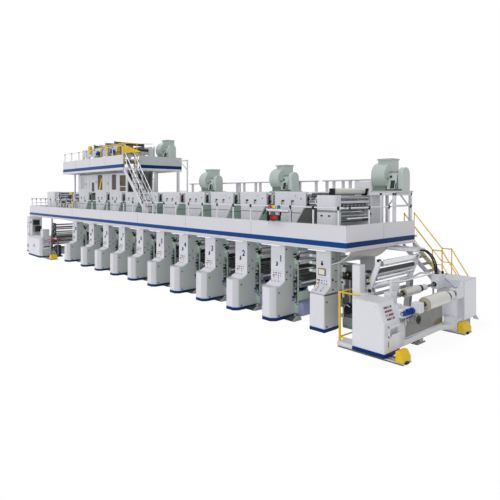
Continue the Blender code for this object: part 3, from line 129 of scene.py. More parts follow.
class NodeKit:
    """Builds the shader node groups that the finishes share, each of them once."""

    def __init__(self) -> None:
        """Start with no groups."""
        self.groups: dict[str, bpy.types.NodeTree] = {}

    def group(self, name: str, inputs: Sequence[tuple[str, str, float]], outputs: Sequence[tuple[str, str]],
            draw: Callable[[bpy.types.NodeTree, bpy.types.Node, bpy.types.Node],
            None]) -> bpy.types.NodeTree:
        """Return a group, drawn on its first use.

        Args:
            name: the group's name.
            inputs: socket names with their kinds and plain values.
            outputs: socket names with their kinds.
            draw: the function that places and links the inner nodes.

        Returns:
            The node group.
        """
        if name not in self.groups:
            tree = bpy.data.node_groups.new(name, "ShaderNodeTree")
            for label, kind, value in inputs:
                socket = tree.interface.new_socket(label, in_out="INPUT", socket_type=f"NodeSocket{kind}")
                if kind == "Float":
                    socket.default_value = value
            for label, kind in outputs:
                tree.interface.new_socket(label, in_out="OUTPUT", socket_type=f"NodeSocket{kind}")
            entry = tree.nodes.new("NodeGroupInput")
            leave = tree.nodes.new("NodeGroupOutput")
            draw(tree, entry, leave)
            self.groups[name] = tree
        return self.groups[name]

    def tone_drift(self) -> bpy.types.NodeTree:
        """Return the group that lets a colour drift a little from panel to panel and inside each panel."""
        def draw(tree: bpy.types.NodeTree, entry: bpy.types.Node, leave: bpy.types.Node) -> None:
            """Place broad and fine noise and mix the colour towards a darker and a lighter one.

            Args:
                tree: the group's own tree.
                entry: the group's input node.
                leave: its output node.
            """
            broad = noise(tree, entry.outputs["Place"], 0.9, 3.0)
            fine = noise(tree, entry.outputs["Place"], 14.0, 4.0)
            both = math_node(tree, "ADD", broad, math_node(tree, "MULTIPLY", fine, 0.5))
            centred = math_node(tree, "SUBTRACT", both, 0.75)
            swing = math_node(tree, "MULTIPLY", centred, entry.outputs["Amount"])
            factor = math_node(tree, "ADD", swing, 1.0)
            scale = tree.nodes.new("ShaderNodeVectorMath")
            scale.operation = "SCALE"
            tree.links.new(entry.outputs["Colour"], scale.inputs[0])
            tree.links.new(factor, scale.inputs["Scale"])
            tree.links.new(scale.outputs[0], leave.inputs["Colour"])
        return self.group("tone_drift", [("Place", "Vector", 0), ("Colour", "Color", 0),
            ("Amount", "Float", 0.1)], [("Colour", "Color")], draw)

    def settled_dust(self) -> bpy.types.NodeTree:
        """Return the group that finds where dust settles: on faces that look up and close to the floor."""
        def draw(tree: bpy.types.NodeTree, entry: bpy.types.Node, leave: bpy.types.Node) -> None:
            """Combine the normal's height, the place's height and a patchy noise into one mask.

            Args:
                tree: the group's own tree.
                entry: the group's input node.
                leave: its output node.
            """
            up = split(tree, entry.outputs["Normal"])[2]
            level = math_node(tree, "MAXIMUM", up, 0.0)
            height = split(tree, entry.outputs["Place"])[2]
            low = remap(tree, height, 0.0, 0.5, 1.0, 0.0)
            reach = math_node(tree, "ADD", math_node(tree, "MULTIPLY", level, 0.35),
                math_node(tree, "MULTIPLY", low, 0.5))
            patch = remap(tree, noise(tree, entry.outputs["Place"], 5.0, 6.0), 0.35, 0.7, 0.0, 1.0)
            mask = math_node(tree, "MULTIPLY", math_node(tree, "MULTIPLY", reach, patch),
                entry.outputs["Amount"])
            tree.links.new(mask, leave.inputs["Mask"])
        return self.group("settled_dust", [("Place", "Vector", 0), ("Normal", "Vector", 0),
            ("Amount", "Float", 0.3)], [("Mask", "Float")], draw)

    def hand_smears(self) -> bpy.types.NodeTree:
        """Return the group that varies roughness in soft wiped patches."""
        def draw(tree: bpy.types.NodeTree, entry: bpy.types.Node, leave: bpy.types.Node) -> None:
            """Stretch a noise upwards and swing the roughness with it.

            Args:
                tree: the group's own tree.
                entry: the group's input node.
                leave: its output node.
            """
            stretched = scaled(tree, entry.outputs["Place"], (2.5, 2.5, 0.8))
            patch = noise(tree, stretched, 3.0, 5.0)
            swing = math_node(tree, "MULTIPLY", math_node(tree, "SUBTRACT", patch, 0.5),
                entry.outputs["Amount"])
            tree.links.new(math_node(tree, "ADD", entry.outputs["Roughness"], swing),
                leave.inputs["Roughness"])
        return self.group("hand_smears", [("Place", "Vector", 0), ("Roughness", "Float", 0.4),
            ("Amount", "Float", 0.15)], [("Roughness", "Float")], draw)

    def surface_grain(self, grain: Grain) -> bpy.types.NodeTree:
        """Return the group that gives a grain's height and its mask.

        Args:
            grain: the pattern wanted.

        Returns:
            The node group with a Height and a Mask output.
        """
        def draw(tree: bpy.types.NodeTree, entry: bpy.types.Node, leave: bpy.types.Node) -> None:
            """Place the nodes of the one pattern.

            Args:
                tree: the group's own tree.
                entry: the group's input node.
                leave: its output node.
            """
            place = entry.outputs["Place"]
            if grain is Grain.BRUSHED:
                height = noise(tree, scaled(tree, place, (90.0, 1.5, 90.0)), 6.0, 3.0)
            elif grain is Grain.ENGRAVED:
                cells = tree.nodes.new("ShaderNodeTexVoronoi")
                cells.inputs["Scale"].default_value = 160.0
                tree.links.new(place, cells.inputs["Vector"])
                height = cells.outputs["Distance"]
            elif grain is Grain.WOUND:
                broad = noise(tree, scaled(tree, place, (1.0, 22.0, 1.0)), 2.0, 4.0)
                fine = noise(tree, scaled(tree, place, (6.0, 160.0, 6.0)), 2.0, 2.0)
                height = math_node(tree, "ADD", broad, math_node(tree, "MULTIPLY", fine, 0.4))
            elif grain is Grain.PLATE:
                across, along, _ = split(tree, scaled(tree, place, (26.0, 26.0, 26.0)))
                first = math_node(tree, "SINE", math_node(tree, "ADD", across, along), 0.0)
                second = math_node(tree, "SINE", math_node(tree, "SUBTRACT", across, along), 0.0)
                ridge = math_node(tree, "MAXIMUM", first, second)
                height = remap(tree, ridge, 0.75, 0.95, 0.0, 1.0)
            elif grain is Grain.MESH:
                across, along, up = split(tree, scaled(tree, place, (120.0, 120.0, 120.0)))
                first = math_node(tree, "SINE", math_node(tree, "ADD", across, along), 0.0)
                second = math_node(tree, "SINE", up, 0.0)
                height = math_node(tree, "MULTIPLY", first, second)
            elif grain is Grain.MOULDED:
                height = noise(tree, place, 260.0, 4.0)
            else:
                height = noise(tree, place, 120.0, 2.0)
            tree.links.new(height, leave.inputs["Height"])
            tree.links.new(remap(tree, height, 0.2, 0.8, 0.0, 1.0), leave.inputs["Mask"])
        return self.group(f"grain_{grain.name.lower()}", [("Place", "Vector", 0)],
            [("Height", "Float"), ("Mask", "Float")], draw)


def math_node(tree: bpy.types.NodeTree, operation: str, first: object,
        second: object) -> bpy.types.NodeSocket:
    """Return the result of a Math node whose two inputs are sockets or numbers.

    Args:
        tree: the node tree that it joins.
        operation: the sum to do.
        first: the first input.
        second: the second one.

    Returns:
        The result's socket.
    """
    node = tree.nodes.new("ShaderNodeMath")
    node.operation = operation
    for socket, value in zip(node.inputs, (first, second)):
        if isinstance(value, (int, float)):
            socket.default_value = value
        else:
            tree.links.new(value, socket)
    return node.outputs[0]


def noise(tree: bpy.types.NodeTree, vector: bpy.types.NodeSocket, scale: float,
        detail: float) -> bpy.types.NodeSocket:
    """Return the value of a noise texture at a vector.

    Args:
        tree: the node tree that it joins.
        vector: where it is read.
        scale: how fine it is.
        detail: how many finer layers it has.

    Returns:
        The value's socket.
    """
    node = tree.nodes.new("ShaderNodeTexNoise")
    node.inputs["Scale"].default_value = scale
    node.inputs["Detail"].default_value = detail
    tree.links.new(vector, node.inputs["Vector"])
    return node.outputs[0]


def remap(tree: bpy.types.NodeTree, value: bpy.types.NodeSocket, low: float, high: float, start: float,
        end: float) -> bpy.types.NodeSocket:
    """Return a value mapped from one range to another and held inside it.

    Args:
        tree: the node tree that it joins.
        value: what is mapped.
        low: the first end of its range.
        high: the other end.
        start: what low becomes.
        end: what high becomes.

    Returns:
        The mapped value's socket.
    """
    node = tree.nodes.new("ShaderNodeMapRange")
    for socket, number in zip(node.inputs[1:5], (low, high, start, end)):
        socket.default_value = number
    tree.links.new(value, node.inputs[0])
    return node.outputs[0]


def scaled(tree: bpy.types.NodeTree, vector: bpy.types.NodeSocket, factors: Place) -> bpy.types.NodeSocket:
    """Return a vector stretched by three factors.

    Args:
        tree: the node tree that it joins.
        vector: what is stretched.
        factors: the stretch along each axis.

    Returns:
        The stretched vector's socket.
    """
    node = tree.nodes.new("ShaderNodeVectorMath")
    node.operation = "MULTIPLY"
    node.inputs[1].default_value = factors
    tree.links.new(vector, node.inputs[0])
    return node.outputs[0]


def split(tree: bpy.types.NodeTree, vector: bpy.types.NodeSocket) -> tuple[bpy.types.NodeSocket, ...]:
    """Return the three parts of a vector.

    Args:
        tree: the node tree that it joins.
        vector: what is taken apart.

    Returns:
        The sockets of its X, Y and Z.
    """
    node = tree.nodes.new("ShaderNodeSeparateXYZ")
    tree.links.new(vector, node.inputs[0])
    return tuple(node.outputs)


KIT = NodeKit()
SMEAR_AMOUNT = 0.16
COAT_ROUGHNESS = 0.12


@dataclass(frozen=True)
class Finish:
    """One finish of the machine: its colour, gloss, grain and soiling."""

    name: str
    colour: tuple[float, float, float, float]
    roughness: float = 0.42
    metallic: float = 0.0
    coat: float = 0.0
    specular: float = 0.5
    grain: Grain = Grain.PEEL
    bump: float = 0.04
    depth: float = 0.0006
    drift: float = 0.09
    dust: float = 0.35
    contrast: float = 0.0
    glow: float = 0.0
    alpha: float = 1.0

    def material(self) -> bpy.types.Material:
        """Return this finish's material, made on its first use.

        Returns:
            The material.
        """
        found = bpy.data.materials.get(self.name)
        if found is not None:
            return found
        made = bpy.data.materials.new(self.name)
        made.use_nodes = True
        tree = made.node_tree
        shader = tree.nodes["Principled BSDF"]
        where = tree.nodes.new("ShaderNodeTexCoord").outputs["Object"]
        facing = tree.nodes.new("ShaderNodeNewGeometry").outputs["Normal"]

        grain = self._place(tree, KIT.surface_grain(self.grain), {"Place": where})
        tone = self._place(tree, KIT.tone_drift(), {"Place": where, "Colour": self.colour,
            "Amount": self.drift})
        colour = tone.outputs["Colour"]
        if self.contrast:
            darker = tuple(value * (1 - self.contrast) for value in self.colour[:3]) + (1.0,)
            colour = mix_colour(tree, grain.outputs["Mask"], darker, colour)
        dust = self._place(tree, KIT.settled_dust(), {"Place": where, "Normal": facing,
            "Amount": self.dust})
        colour = mix_colour(tree, dust.outputs["Mask"], colour, srgb(150, 146, 138))
        tree.links.new(colour, shader.inputs["Base Color"])
        smears = self._place(tree, KIT.hand_smears(), {"Place": where, "Roughness": self.roughness,
            "Amount": SMEAR_AMOUNT})
        tree.links.new(smears.outputs["Roughness"], shader.inputs["Roughness"])
        relief = tree.nodes.new("ShaderNodeBump")
        relief.inputs["Strength"].default_value = self.bump
        relief.inputs["Distance"].default_value = self.depth
        tree.links.new(grain.outputs["Height"], relief.inputs["Height"])
        tree.links.new(relief.outputs["Normal"], shader.inputs["Normal"])
        shader.inputs["Metallic"].default_value = self.metallic
        shader.inputs["Specular IOR Level"].default_value = self.specular
        shader.inputs["Coat Weight"].default_value = self.coat
        shader.inputs["Coat Roughness"].default_value = COAT_ROUGHNESS
        if self.glow:
            tree.links.new(colour, shader.inputs["Emission Color"])
            shader.inputs["Emission Strength"].default_value = self.glow
        shader.inputs["Alpha"].default_value = self.alpha
        return made

    @staticmethod
    def _place(tree: bpy.types.NodeTree, group: bpy.types.NodeTree,
            values: dict[str, object]) -> bpy.types.Node:
        """Return a node of the group with its inputs set or linked.

        Args:
            tree: the node tree that it joins.
            group: the shared effect.
            values: its inputs by name, each a socket or a number.

        Returns:
            The node.
        """
        node = tree.nodes.new("ShaderNodeGroup")
        node.node_tree = group
        for name, value in values.items():
            if isinstance(value, bpy.types.NodeSocket):
                tree.links.new(value, node.inputs[name])
            else:
                node.inputs[name].default_value = value
        return node


def mix_colour(tree: bpy.types.NodeTree, factor: bpy.types.NodeSocket, first: object,
        second: object) -> bpy.types.NodeSocket:
    """Return two colours mixed by a factor; each is a socket or a plain colour.

    Args:
        tree: the node tree that it joins.
        factor: the second colour's share.
        first: the first colour.
        second: the second one.

    Returns:
        The mixed colour's socket.
    """
    node = tree.nodes.new("ShaderNodeMix")
    node.data_type = "RGBA"
    tree.links.new(factor, node.inputs[0])
    for socket, value in zip((node.inputs[6], node.inputs[7]), (first, second)):
        if isinstance(value, bpy.types.NodeSocket):
            tree.links.new(value, socket)
        else:
            socket.default_value = value
    return node.outputs[2]


HOOD_WHITE = Finish("hood_white_enamel", srgb(224, 225, 230), 0.38, drift=0.05, dust=0.2)
FASCIA_WHITE = Finish("fascia_white_enamel", srgb(224, 224, 229), 0.36, coat=0.1, drift=0.04, dust=0.2)
STAND_GREY = Finish("stand_grey_enamel", srgb(210, 211, 217), 0.4, drift=0.06, dust=0.2)
# Green-tinted grey for the side faces, darker than the stand grey: partly the paint's own tint, partly
# painted shade for faces turned from the light.
SIDE_SHADE_GREY = Finish("side_shaded_grey_enamel", srgb(196, 201, 200), 0.42, drift=0.06, dust=0.2)
ARCH_GREY = Finish("arch_cover_enamel", srgb(176, 174, 168), 0.35, drift=0.08, dust=0.1)
# Copy of the fascia white for the platform's end faces and the rear cabinet's right side. Its tone is set
# for how light falls on those faces, so it carries painted light and shade.
END_LIGHT_TONED_WHITE = Finish("end_face_light_toned_enamel", srgb(226, 226, 231), 0.4, drift=0.04, dust=0.1)
PANEL_WHITE = Finish("panel_white_enamel", srgb(232, 233, 238), 0.33, coat=0.1, drift=0.04, dust=0.1)
PALE_GREEN = Finish("frame_green_enamel", srgb(188, 214, 198), 0.4, coat=0.1, drift=0.06, dust=0.2)
# Green of the hoods' slanted sides, lifted far above the paint's own green: painted light on faces that the
# lamps hardly reach.
LIFTED_SLANT_GREEN = Finish("hood_slant_green_painted_light", srgb(206, 236, 220), 0.3, coat=0.3, dust=0.1)
# Grey for faces set back behind plates and inside openings: painted shade of the recesses.
RECESS_SHADE_GREY = Finish("painted_recess_shade_grey", srgb(190, 196, 196), 0.4, dust=0.1)
FAN_GREEN = Finish("fan_green_enamel", srgb(186, 199, 193), 0.3, coat=0.3, dust=0.15)
SCROLL_GREEN = Finish("scroll_shadow_green", srgb(110, 130, 118), 0.4, dust=0.1)
KICK_BLUE = Finish("kick_plate_blue", srgb(2, 50, 108), 0.42, specular=0.12, drift=0.04, dust=0.0)
STRIPE_BLUE = Finish("stripe_blue", srgb(14, 70, 140), 0.38, specular=0.12, drift=0.03, dust=0.0)
TANK_BLUE = Finish("tank_blue_enamel", srgb(160, 170, 204), 0.4, dust=0.4)
MOTOR_BLUE = Finish("motor_blue_enamel", srgb(10, 60, 140), 0.4, specular=0.15, dust=0.0)
SAFETY_YELLOW = Finish("safety_yellow_enamel", srgb(240, 200, 0), 0.36, specular=0.25, drift=0.05, dust=0.1)
BUTTON_RED = Finish("button_red_plastic", srgb(205, 20, 36), 0.28, grain=Grain.MOULDED, dust=0.0)
BUTTON_BLUE = Finish("button_blue_plastic", srgb(24, 82, 176), 0.28, grain=Grain.MOULDED, dust=0.0)
BUTTON_YELLOW = Finish("button_yellow_plastic", srgb(240, 196, 10), 0.28, grain=Grain.MOULDED, dust=0.0)
BUTTON_GREY = Finish("button_grey_plastic", srgb(170, 174, 186), 0.3, grain=Grain.MOULDED, dust=0.0)
DIGIT_BLUE = Finish("number_blue_paint", srgb(16, 48, 138), 0.4, specular=0.1, dust=0.0)
BLACK_PLASTIC = Finish("black_plastic", srgb(26, 27, 30), 0.45, specular=0.2, grain=Grain.MOULDED, bump=0.1,
    dust=0.1)
# Near-black for deep recesses, openings, slots, seams and the gaps under stands: painted shade where light
# doesn't reach in.
RECESS_SHADE_DARK = Finish("painted_recess_shade_dark", srgb(46, 50, 52), 0.6, specular=0.2, grain=Grain.MOULDED, bump=0.1,
    dust=0.1)
# Grille on the first hood's slant, lifted well above its own dark grey: painted light on a face that the
# lamps hardly reach.
LIFTED_GRILLE = Finish("hood_grille_painted_light", srgb(168, 170, 166), 0.5, specular=0.25, grain=Grain.MESH, bump=0.3,
    contrast=0.25, dust=0.0)
RUBBER = Finish("roller_rubber", srgb(52, 54, 57), 0.55, grain=Grain.MOULDED, bump=0.08)
HOSE_RUBBER = Finish("hose_rubber", srgb(30, 30, 32), 0.5, specular=0.2, grain=Grain.MOULDED, bump=0.15)
STEEL = Finish("drawn_steel", srgb(188, 190, 193), 0.3, 0.85, grain=Grain.BRUSHED, bump=0.05, contrast=0.18)
BRIGHT_STEEL = Finish("roller_chrome", srgb(222, 224, 228), 0.2, 0.9, grain=Grain.BRUSHED, bump=0.02,
    contrast=0.08)
DARK_STEEL = Finish("oiled_steel", srgb(122, 125, 128), 0.38, 0.8, grain=Grain.BRUSHED, bump=0.06,
    contrast=0.3)
CASTING = Finish("machine_casting", srgb(150, 156, 158), 0.5, grain=Grain.MOULDED, bump=0.15, contrast=0.1)
ENGRAVED = Finish("engraved_cylinder", srgb(206, 196, 184), 0.2, 0.95, grain=Grain.ENGRAVED, bump=0.12,
    contrast=0.2, dust=0.0)
FILM = Finish("wound_clear_film", srgb(212, 211, 205), 0.16, coat=0.6, grain=Grain.WOUND, bump=0.25,
    depth=0.002, drift=0.1, dust=0.0, contrast=0.14)
ROLL_FILM = Finish("printed_film_roll", srgb(222, 221, 215), 0.3, coat=0.2, grain=Grain.MOULDED, dust=0.0)
FILM_END = Finish("film_roll_end", srgb(190, 184, 164), 0.4, grain=Grain.WOUND, contrast=0.2, dust=0.0)
CARD = Finish("cardboard_core", srgb(196, 182, 150), 0.6, grain=Grain.MOULDED, bump=0.1, dust=0.0)
DECK = Finish("deck_chequer_plate", srgb(150, 154, 156), 0.5, 0.25, grain=Grain.PLATE, bump=0.5,
    depth=0.003)
SCREEN = Finish("brown_screen_mesh", srgb(120, 108, 90), 0.6, grain=Grain.MESH, bump=0.4, contrast=0.35)
CLEAR_GUARD = Finish("smoked_guard_panel", srgb(92, 91, 86), 0.12, coat=0.4, grain=Grain.MOULDED, bump=0.0,
    drift=0.2, alpha=0.84)
TUBE_LIGHT = Finish("lit_lamp_tube", srgb(240, 241, 244), 0.4, glow=0.5, drift=0.02, dust=0.0)
RED_DIGITS = Finish("lit_red_digits", srgb(205, 20, 45), 0.4, glow=0.1, dust=0.0)
BEIGE_SCREEN = Finish("lit_beige_screen", srgb(222, 212, 186), 0.25, glow=0.25, dust=0.0, drift=0.3)


# A button or a roller has the two coordinates of its axis and its finish. Other round pieces have their
# radius or length before the finish.
Button = tuple[float, float, Finish]
RoundPiece = tuple[float, float, float, Finish]


# Shapes


def prism(outline: Sequence[Flat], axis: Axis, start: float, end: float, bevel: float = 0.0) -> Shape:
    """Return a closed outline swept along an axis.

    Args:
        outline: the corner points across the axis.
        axis: the direction of the sweep.
        start: the sweep's start.
        end: the sweep's end.
        bevel: the width of the chamfer on every edge.

    Returns:
        The shape.
    """
    shape = bmesh.new()
    first = [shape.verts.new(axis.point(u, v, start)) for u, v in outline]
    last = [shape.verts.new(axis.point(u, v, end)) for u, v in outline]
    shape.faces.new(first)
    shape.faces.new(last)
    for index in range(len(outline)):
        after = (index + 1) % len(outline)
        shape.faces.new((first[index], first[after], last[after], last[index]))
    bmesh.ops.recalc_face_normals(shape, faces=shape.faces)
    if bevel:
        bmesh.ops.bevel(shape, geom=shape.edges[:], offset=bevel, segments=1, affect="EDGES", profile=0.5)
    return shape


def block(low: Place, high: Place, bevel: float = 0.0) -> Shape:
    """Return a rectangular block between two corners, with chamfered edges if asked for."""
    outline = [(low[0], low[1]), (high[0], low[1]), (high[0], high[1]), (low[0], high[1])]
    return prism(outline, Axis.Z, low[2], high[2], bevel)


def turned(axis: Axis, u: float, v: float, profile: Sequence[Flat], sides: int = 20) -> Shape:
    """Return a turned shape.

    Args:
        axis: the direction of its axis.
        u: the axis's first place across.
        v: the axis's second place across.
        profile: (place along, radius) pairs.
        sides: the number of sides.

    Returns:
        The shape with closed ends.
    """
    shape = bmesh.new()
    rings = []
    for along, radius in profile:
        rings.append([shape.verts.new(axis.point(u + radius * math.cos(turn), v + radius * math.sin(turn),
            along)) for turn in (2 * math.pi * side / sides for side in range(sides))])
    for first, last in zip(rings, rings[1:]):
        for side in range(sides):
            after = (side + 1) % sides
            shape.faces.new((first[side], first[after], last[after], last[side]))
    shape.faces.new(rings[0])
    shape.faces.new(rings[-1])
    bmesh.ops.recalc_face_normals(shape, faces=shape.faces)
    return shape


def rod(axis: Axis, u: float, v: float, radius: float, start: float, end: float, sides: int = 16,
        edge: float = 0.004) -> Shape:
    """Return a round bar with chamfered ends."""
    edge = min(edge, radius * 0.4, (end - start) * 0.3)
    return turned(axis, u, v, [(start, radius - edge), (start + edge, radius), (end - edge, radius),
        (end, radius - edge)], sides)


def tube(points: Sequence[Place], radius: float, sides: int = 8, turn: float = 0.0) -> Shape:
    """Return a bar swept along points, with mitred corners and closed ends.

    Args:
        points: the centre line.
        radius: the distance from the centre line to a corner.
        sides: the number of sides; 4 gives a square bar.
        turn: the first corner's angle.

    Returns:
        The shape.
    """
    line = [Vector(point) for point in points]
    shape = bmesh.new()
    steps = [(b - a).normalized() for a, b in zip(line, line[1:])]
    side = steps[0].cross(Vector((0, 0, 1)))
    if side.length < 0.01:
        side = Vector((1, 0, 0))
    side.normalize()
    rings = []
    for index, centre in enumerate(line):
        before = steps[max(index - 1, 0)]
        after = steps[min(index, len(steps) - 1)]
        along = (before + after).normalized()
        side = (side - along * side.dot(along)).normalized()
        over = along.cross(side)
        stretch = 1 / max(along.dot(before), 0.5)
        ring = []
        for corner in range(sides):
            angle = turn + 2 * math.pi * corner / sides
            offset = side * math.cos(angle) * radius + over * math.sin(angle) * radius
            bend = (after - before)
            if bend.length > 1e-4 and 0 < index < len(line) - 1:
                bend.normalize()
                offset += bend * offset.dot(bend) * (stretch - 1)
            ring.append(shape.verts.new(centre + offset))
        rings.append(ring)
    for first, last in zip(rings, rings[1:]):
        for corner in range(sides):
            after_corner = (corner + 1) % sides
            shape.faces.new((first[corner], first[after_corner], last[after_corner], last[corner]))
    shape.faces.new(rings[0])
    shape.faces.new(rings[-1])
    bmesh.ops.recalc_face_normals(shape, faces=shape.faces)
    return shape


def square_bar(points: Sequence[Place], size: float) -> Shape:
    """Return a square bar along points."""
    return tube(points, size * math.sqrt(0.5), 4, math.pi / 4)


def ball(centre: Place, radius: float, squash: float = 1.0) -> Shape:
    """Return a ball, or a dome squashed along Z.

    Args:
        centre: its middle.
        radius: its radius.
        squash: its height along Z as a share of its width.

    Returns:
        The shape.
    """
    shape = bmesh.new()
    bmesh.ops.create_uvsphere(shape, u_segments=14, v_segments=8, radius=radius)
    for vertex in shape.verts:
        vertex.co.z *= squash
        vertex.co += Vector(centre)
    return shape


def hoop(axis: Axis, centre: Place, radius: float, thickness: float, sides: int = 20) -> Shape:
    """Return a closed ring of round bar about an axis through its centre.

    Args:
        axis: the axis that it lies round.
        centre: its middle.
        radius: the radius of the bar's middle line.
        thickness: the bar's radius.
        sides: the number of steps round it.

    Returns:
        The shape.
    """
    shape = bmesh.new()
    rings = []
    for side in range(sides):
        angle = 2 * math.pi * side / sides
        ring = []
        for corner in range(6):
            lean = 2 * math.pi * corner / 6
            reach = radius + thickness * math.cos(lean)
            offset = axis.point(reach * math.cos(angle), reach * math.sin(angle),
                thickness * math.sin(lean))
            ring.append(shape.verts.new(Vector(centre) + Vector(offset)))
        rings.append(ring)
    for index, first in enumerate(rings):
        last = rings[(index + 1) % sides]
        for corner in range(6):
            after = (corner + 1) % 6
            shape.faces.new((first[corner], first[after], last[after], last[corner]))
    bmesh.ops.recalc_face_normals(shape, faces=shape.faces)
    return shape


def pierced(outer: tuple[float, float, float, float], holes: Iterable[tuple[float, float, float, float]],
        axis: Axis, start: float, end: float) -> Shape:
    """Return a flat plate with rectangular holes through it.

    Args:
        outer: the plate's (u low, v low, u high, v high).
        holes: the same four numbers for each hole.
        axis: the direction of the plate's thickness.
        start: one face's place on the axis.
        end: the other face's place.

    Returns:
        The closed shape.
    """
    holes = list(holes)
    us = sorted({outer[0], outer[2], *(hole[0] for hole in holes), *(hole[2] for hole in holes)})
    vs = sorted({outer[1], outer[3], *(hole[1] for hole in holes), *(hole[3] for hole in holes)})

    def solid(i: int, j: int) -> bool:
        """Tell whether a cell lies inside the plate and outside each hole.

        Args:
            i: the cell's column.
            j: its row.

        Returns:
            True for a cell that is filled.
        """
        if not (0 <= i < len(us) - 1 and 0 <= j < len(vs) - 1):
            return False
        u, v = (us[i] + us[i + 1]) / 2, (vs[j] + vs[j + 1]) / 2
        return not any(hole[0] < u < hole[2] and hole[1] < v < hole[3] for hole in holes)

    shape = bmesh.new()
    grid = {(i, j, k): shape.verts.new(axis.point(us[i], vs[j], w)) for i in range(len(us))
        for j in range(len(vs)) for k, w in enumerate((start, end))}
    for i in range(len(us) - 1):
        for j in range(len(vs) - 1):
            if not solid(i, j):
                continue
            for k in (0, 1):
                shape.faces.new([grid[i, j, k], grid[i + 1, j, k], grid[i + 1, j + 1, k],
                    grid[i, j + 1, k]])
            for near, a, b in (((i - 1, j), (i, j), (i, j + 1)), ((i + 1, j), (i + 1, j), (i + 1, j + 1)),
                    ((i, j - 1), (i, j), (i + 1, j)), ((i, j + 1), (i, j + 1), (i + 1, j + 1))):
                if not solid(*near):
                    shape.faces.new([grid[*a, 0], grid[*b, 0], grid[*b, 1], grid[*a, 1]])
    loose = [vertex for vertex in shape.verts if not vertex.link_faces]
    bmesh.ops.delete(shape, geom=loose, context="VERTS")
    bmesh.ops.recalc_face_normals(shape, faces=shape.faces)
    return shape


def strip(line: Sequence[Flat], thickness: float, axis: Axis, start: float, end: float) -> Shape:
    """Return a bent sheet: a line across the axis, given a thickness and swept along it.

    Args:
        line: the sheet's line across the axis.
        thickness: how thick it is.
        axis: the direction that it is swept along.
        start: its first end.
        end: its other end.

    Returns:
        The shape.
    """
    outer, inner = [], []
    for index, point in enumerate(line):
        a = Vector(line[max(index - 1, 0)])
        b = Vector(line[min(index + 1, len(line) - 1)])
        along = (b - a).normalized()
        side = Vector((-along.y, along.x)) * thickness / 2
        outer.append(tuple(Vector(point) + side))
        inner.append(tuple(Vector(point) - side))
    return prism(outer + inner[::-1], axis, start, end)


def number_shape(text: str, height: float, depth: float, place: Place) -> Shape:
    """Return plain digits that stand in an XZ plane and face the operator.

    Args:
        text: the digits.
        height: their height.
        depth: their thickness.
        place: the middle of the text, on its back face.

    Returns:
        The shape.
    """
    curve = bpy.data.curves.new("digits", "FONT")
    curve.body = text
    curve.size = height / 0.72
    curve.align_x = "CENTER"
    curve.align_y = "CENTER"
    curve.extrude = depth
    curve.offset = height * 0.035
    holder = bpy.data.objects.new("digits", curve)
    bpy.context.scene.collection.objects.link(holder)
    mesh = bpy.data.meshes.new_from_object(holder)
    shape = bmesh.new()
    shape.from_mesh(mesh)
    bmesh.ops.transform(shape, matrix=Matrix.Translation(place) @ Matrix.Rotation(math.radians(90), 4, "X"),
        verts=shape.verts)
    bpy.data.objects.remove(holder, do_unlink=True)
    bpy.data.curves.remove(curve)
    bpy.data.meshes.remove(mesh)
    return shape


def moved(shape: Shape, offset: Place = (0, 0, 0), turn: float = 0.0, about: str = "X",
        pivot: Place = (0, 0, 0)) -> Shape:
    """Return the shape turned about a pivot and moved.

    Args:
        shape: what is moved.
        offset: how far.
        turn: the angle that it is turned by.
        about: the axis that it is turned about.
        pivot: the point that stays where it is in the turn.

    Returns:
        The same shape.
    """
    matrix = (Matrix.Translation(Vector(offset) + Vector(pivot)) @ Matrix.Rotation(turn, 4, about)
        @ Matrix.Translation(-Vector(pivot)))
    bmesh.ops.transform(shape, matrix=matrix, verts=shape.verts)
    return shape


class Form:
    """Collects shapes, each with its finish, into one mesh."""

    def __init__(self) -> None:
        """Start empty."""
        self.total = bmesh.new()
        self.finishes: list[Finish] = []

    def add(self, finish: Finish, *shapes: Shape) -> "Form":
        """Add shapes in one finish.

        Args:
            finish: what the shapes are made of.
            shapes: the shapes, which are used up.

        Returns:
            This form, for the next call.
        """
        if finish not in self.finishes:
            self.finishes.append(finish)
        index = self.finishes.index(finish)
        for shape in shapes:
            for face in shape.faces:
                face.material_index = index
                face.smooth = True
            piece = bpy.data.meshes.new("piece")
            shape.to_mesh(piece)
            shape.free()
            self.total.from_mesh(piece)
            bpy.data.meshes.remove(piece)
        return self

    def mesh(self, name: str) -> bpy.types.Mesh:
        """Return the finished mesh with its materials.

        Args:
            name: the mesh's name.

        Returns:
            The mesh.
        """
        made = bpy.data.meshes.new(name)
        self.total.to_mesh(made)
        self.total.free()
        for finish in self.finishes:
            made.materials.append(finish.material())
        made.set_sharp_from_angle(angle=SMOOTH_ANGLE)
        return made

    def piece(self, name: str, slot: str, replaces: Sequence[str] = (), body: str = PRESS,
            at: Place = (0, 0, 0)) -> bpy.types.Object:
        """Return the form as a piece that rides on a body; see place_mesh."""
        return place_mesh(name, self.mesh(name), replaces, body, at)


def place_mesh(name: str, mesh: bpy.types.Mesh, replaces: Sequence[str] = (), body: str = PRESS,
        at: Place = (0, 0, 0)) -> bpy.types.Object:
    """Place a mesh as a piece of the machine.

    Args:
        name: the piece's name.
        mesh: its mesh, in the machine's frame.
        replaces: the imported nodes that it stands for.
        body: the body that it rides on.
        at: how far it is moved inside the machine's frame.

    Returns:
        The piece.
    """
    made = bpy.data.objects.new(name, mesh)
    bpy.context.scene.collection.objects.link(made)
    made.location = MACHINE_ZERO + Vector(at)
    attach(made, body)
    if replaces:
        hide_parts(*replaces)
    LOG.info("%s: %d faces", name, len(mesh.polygons))
    return made


# Studio


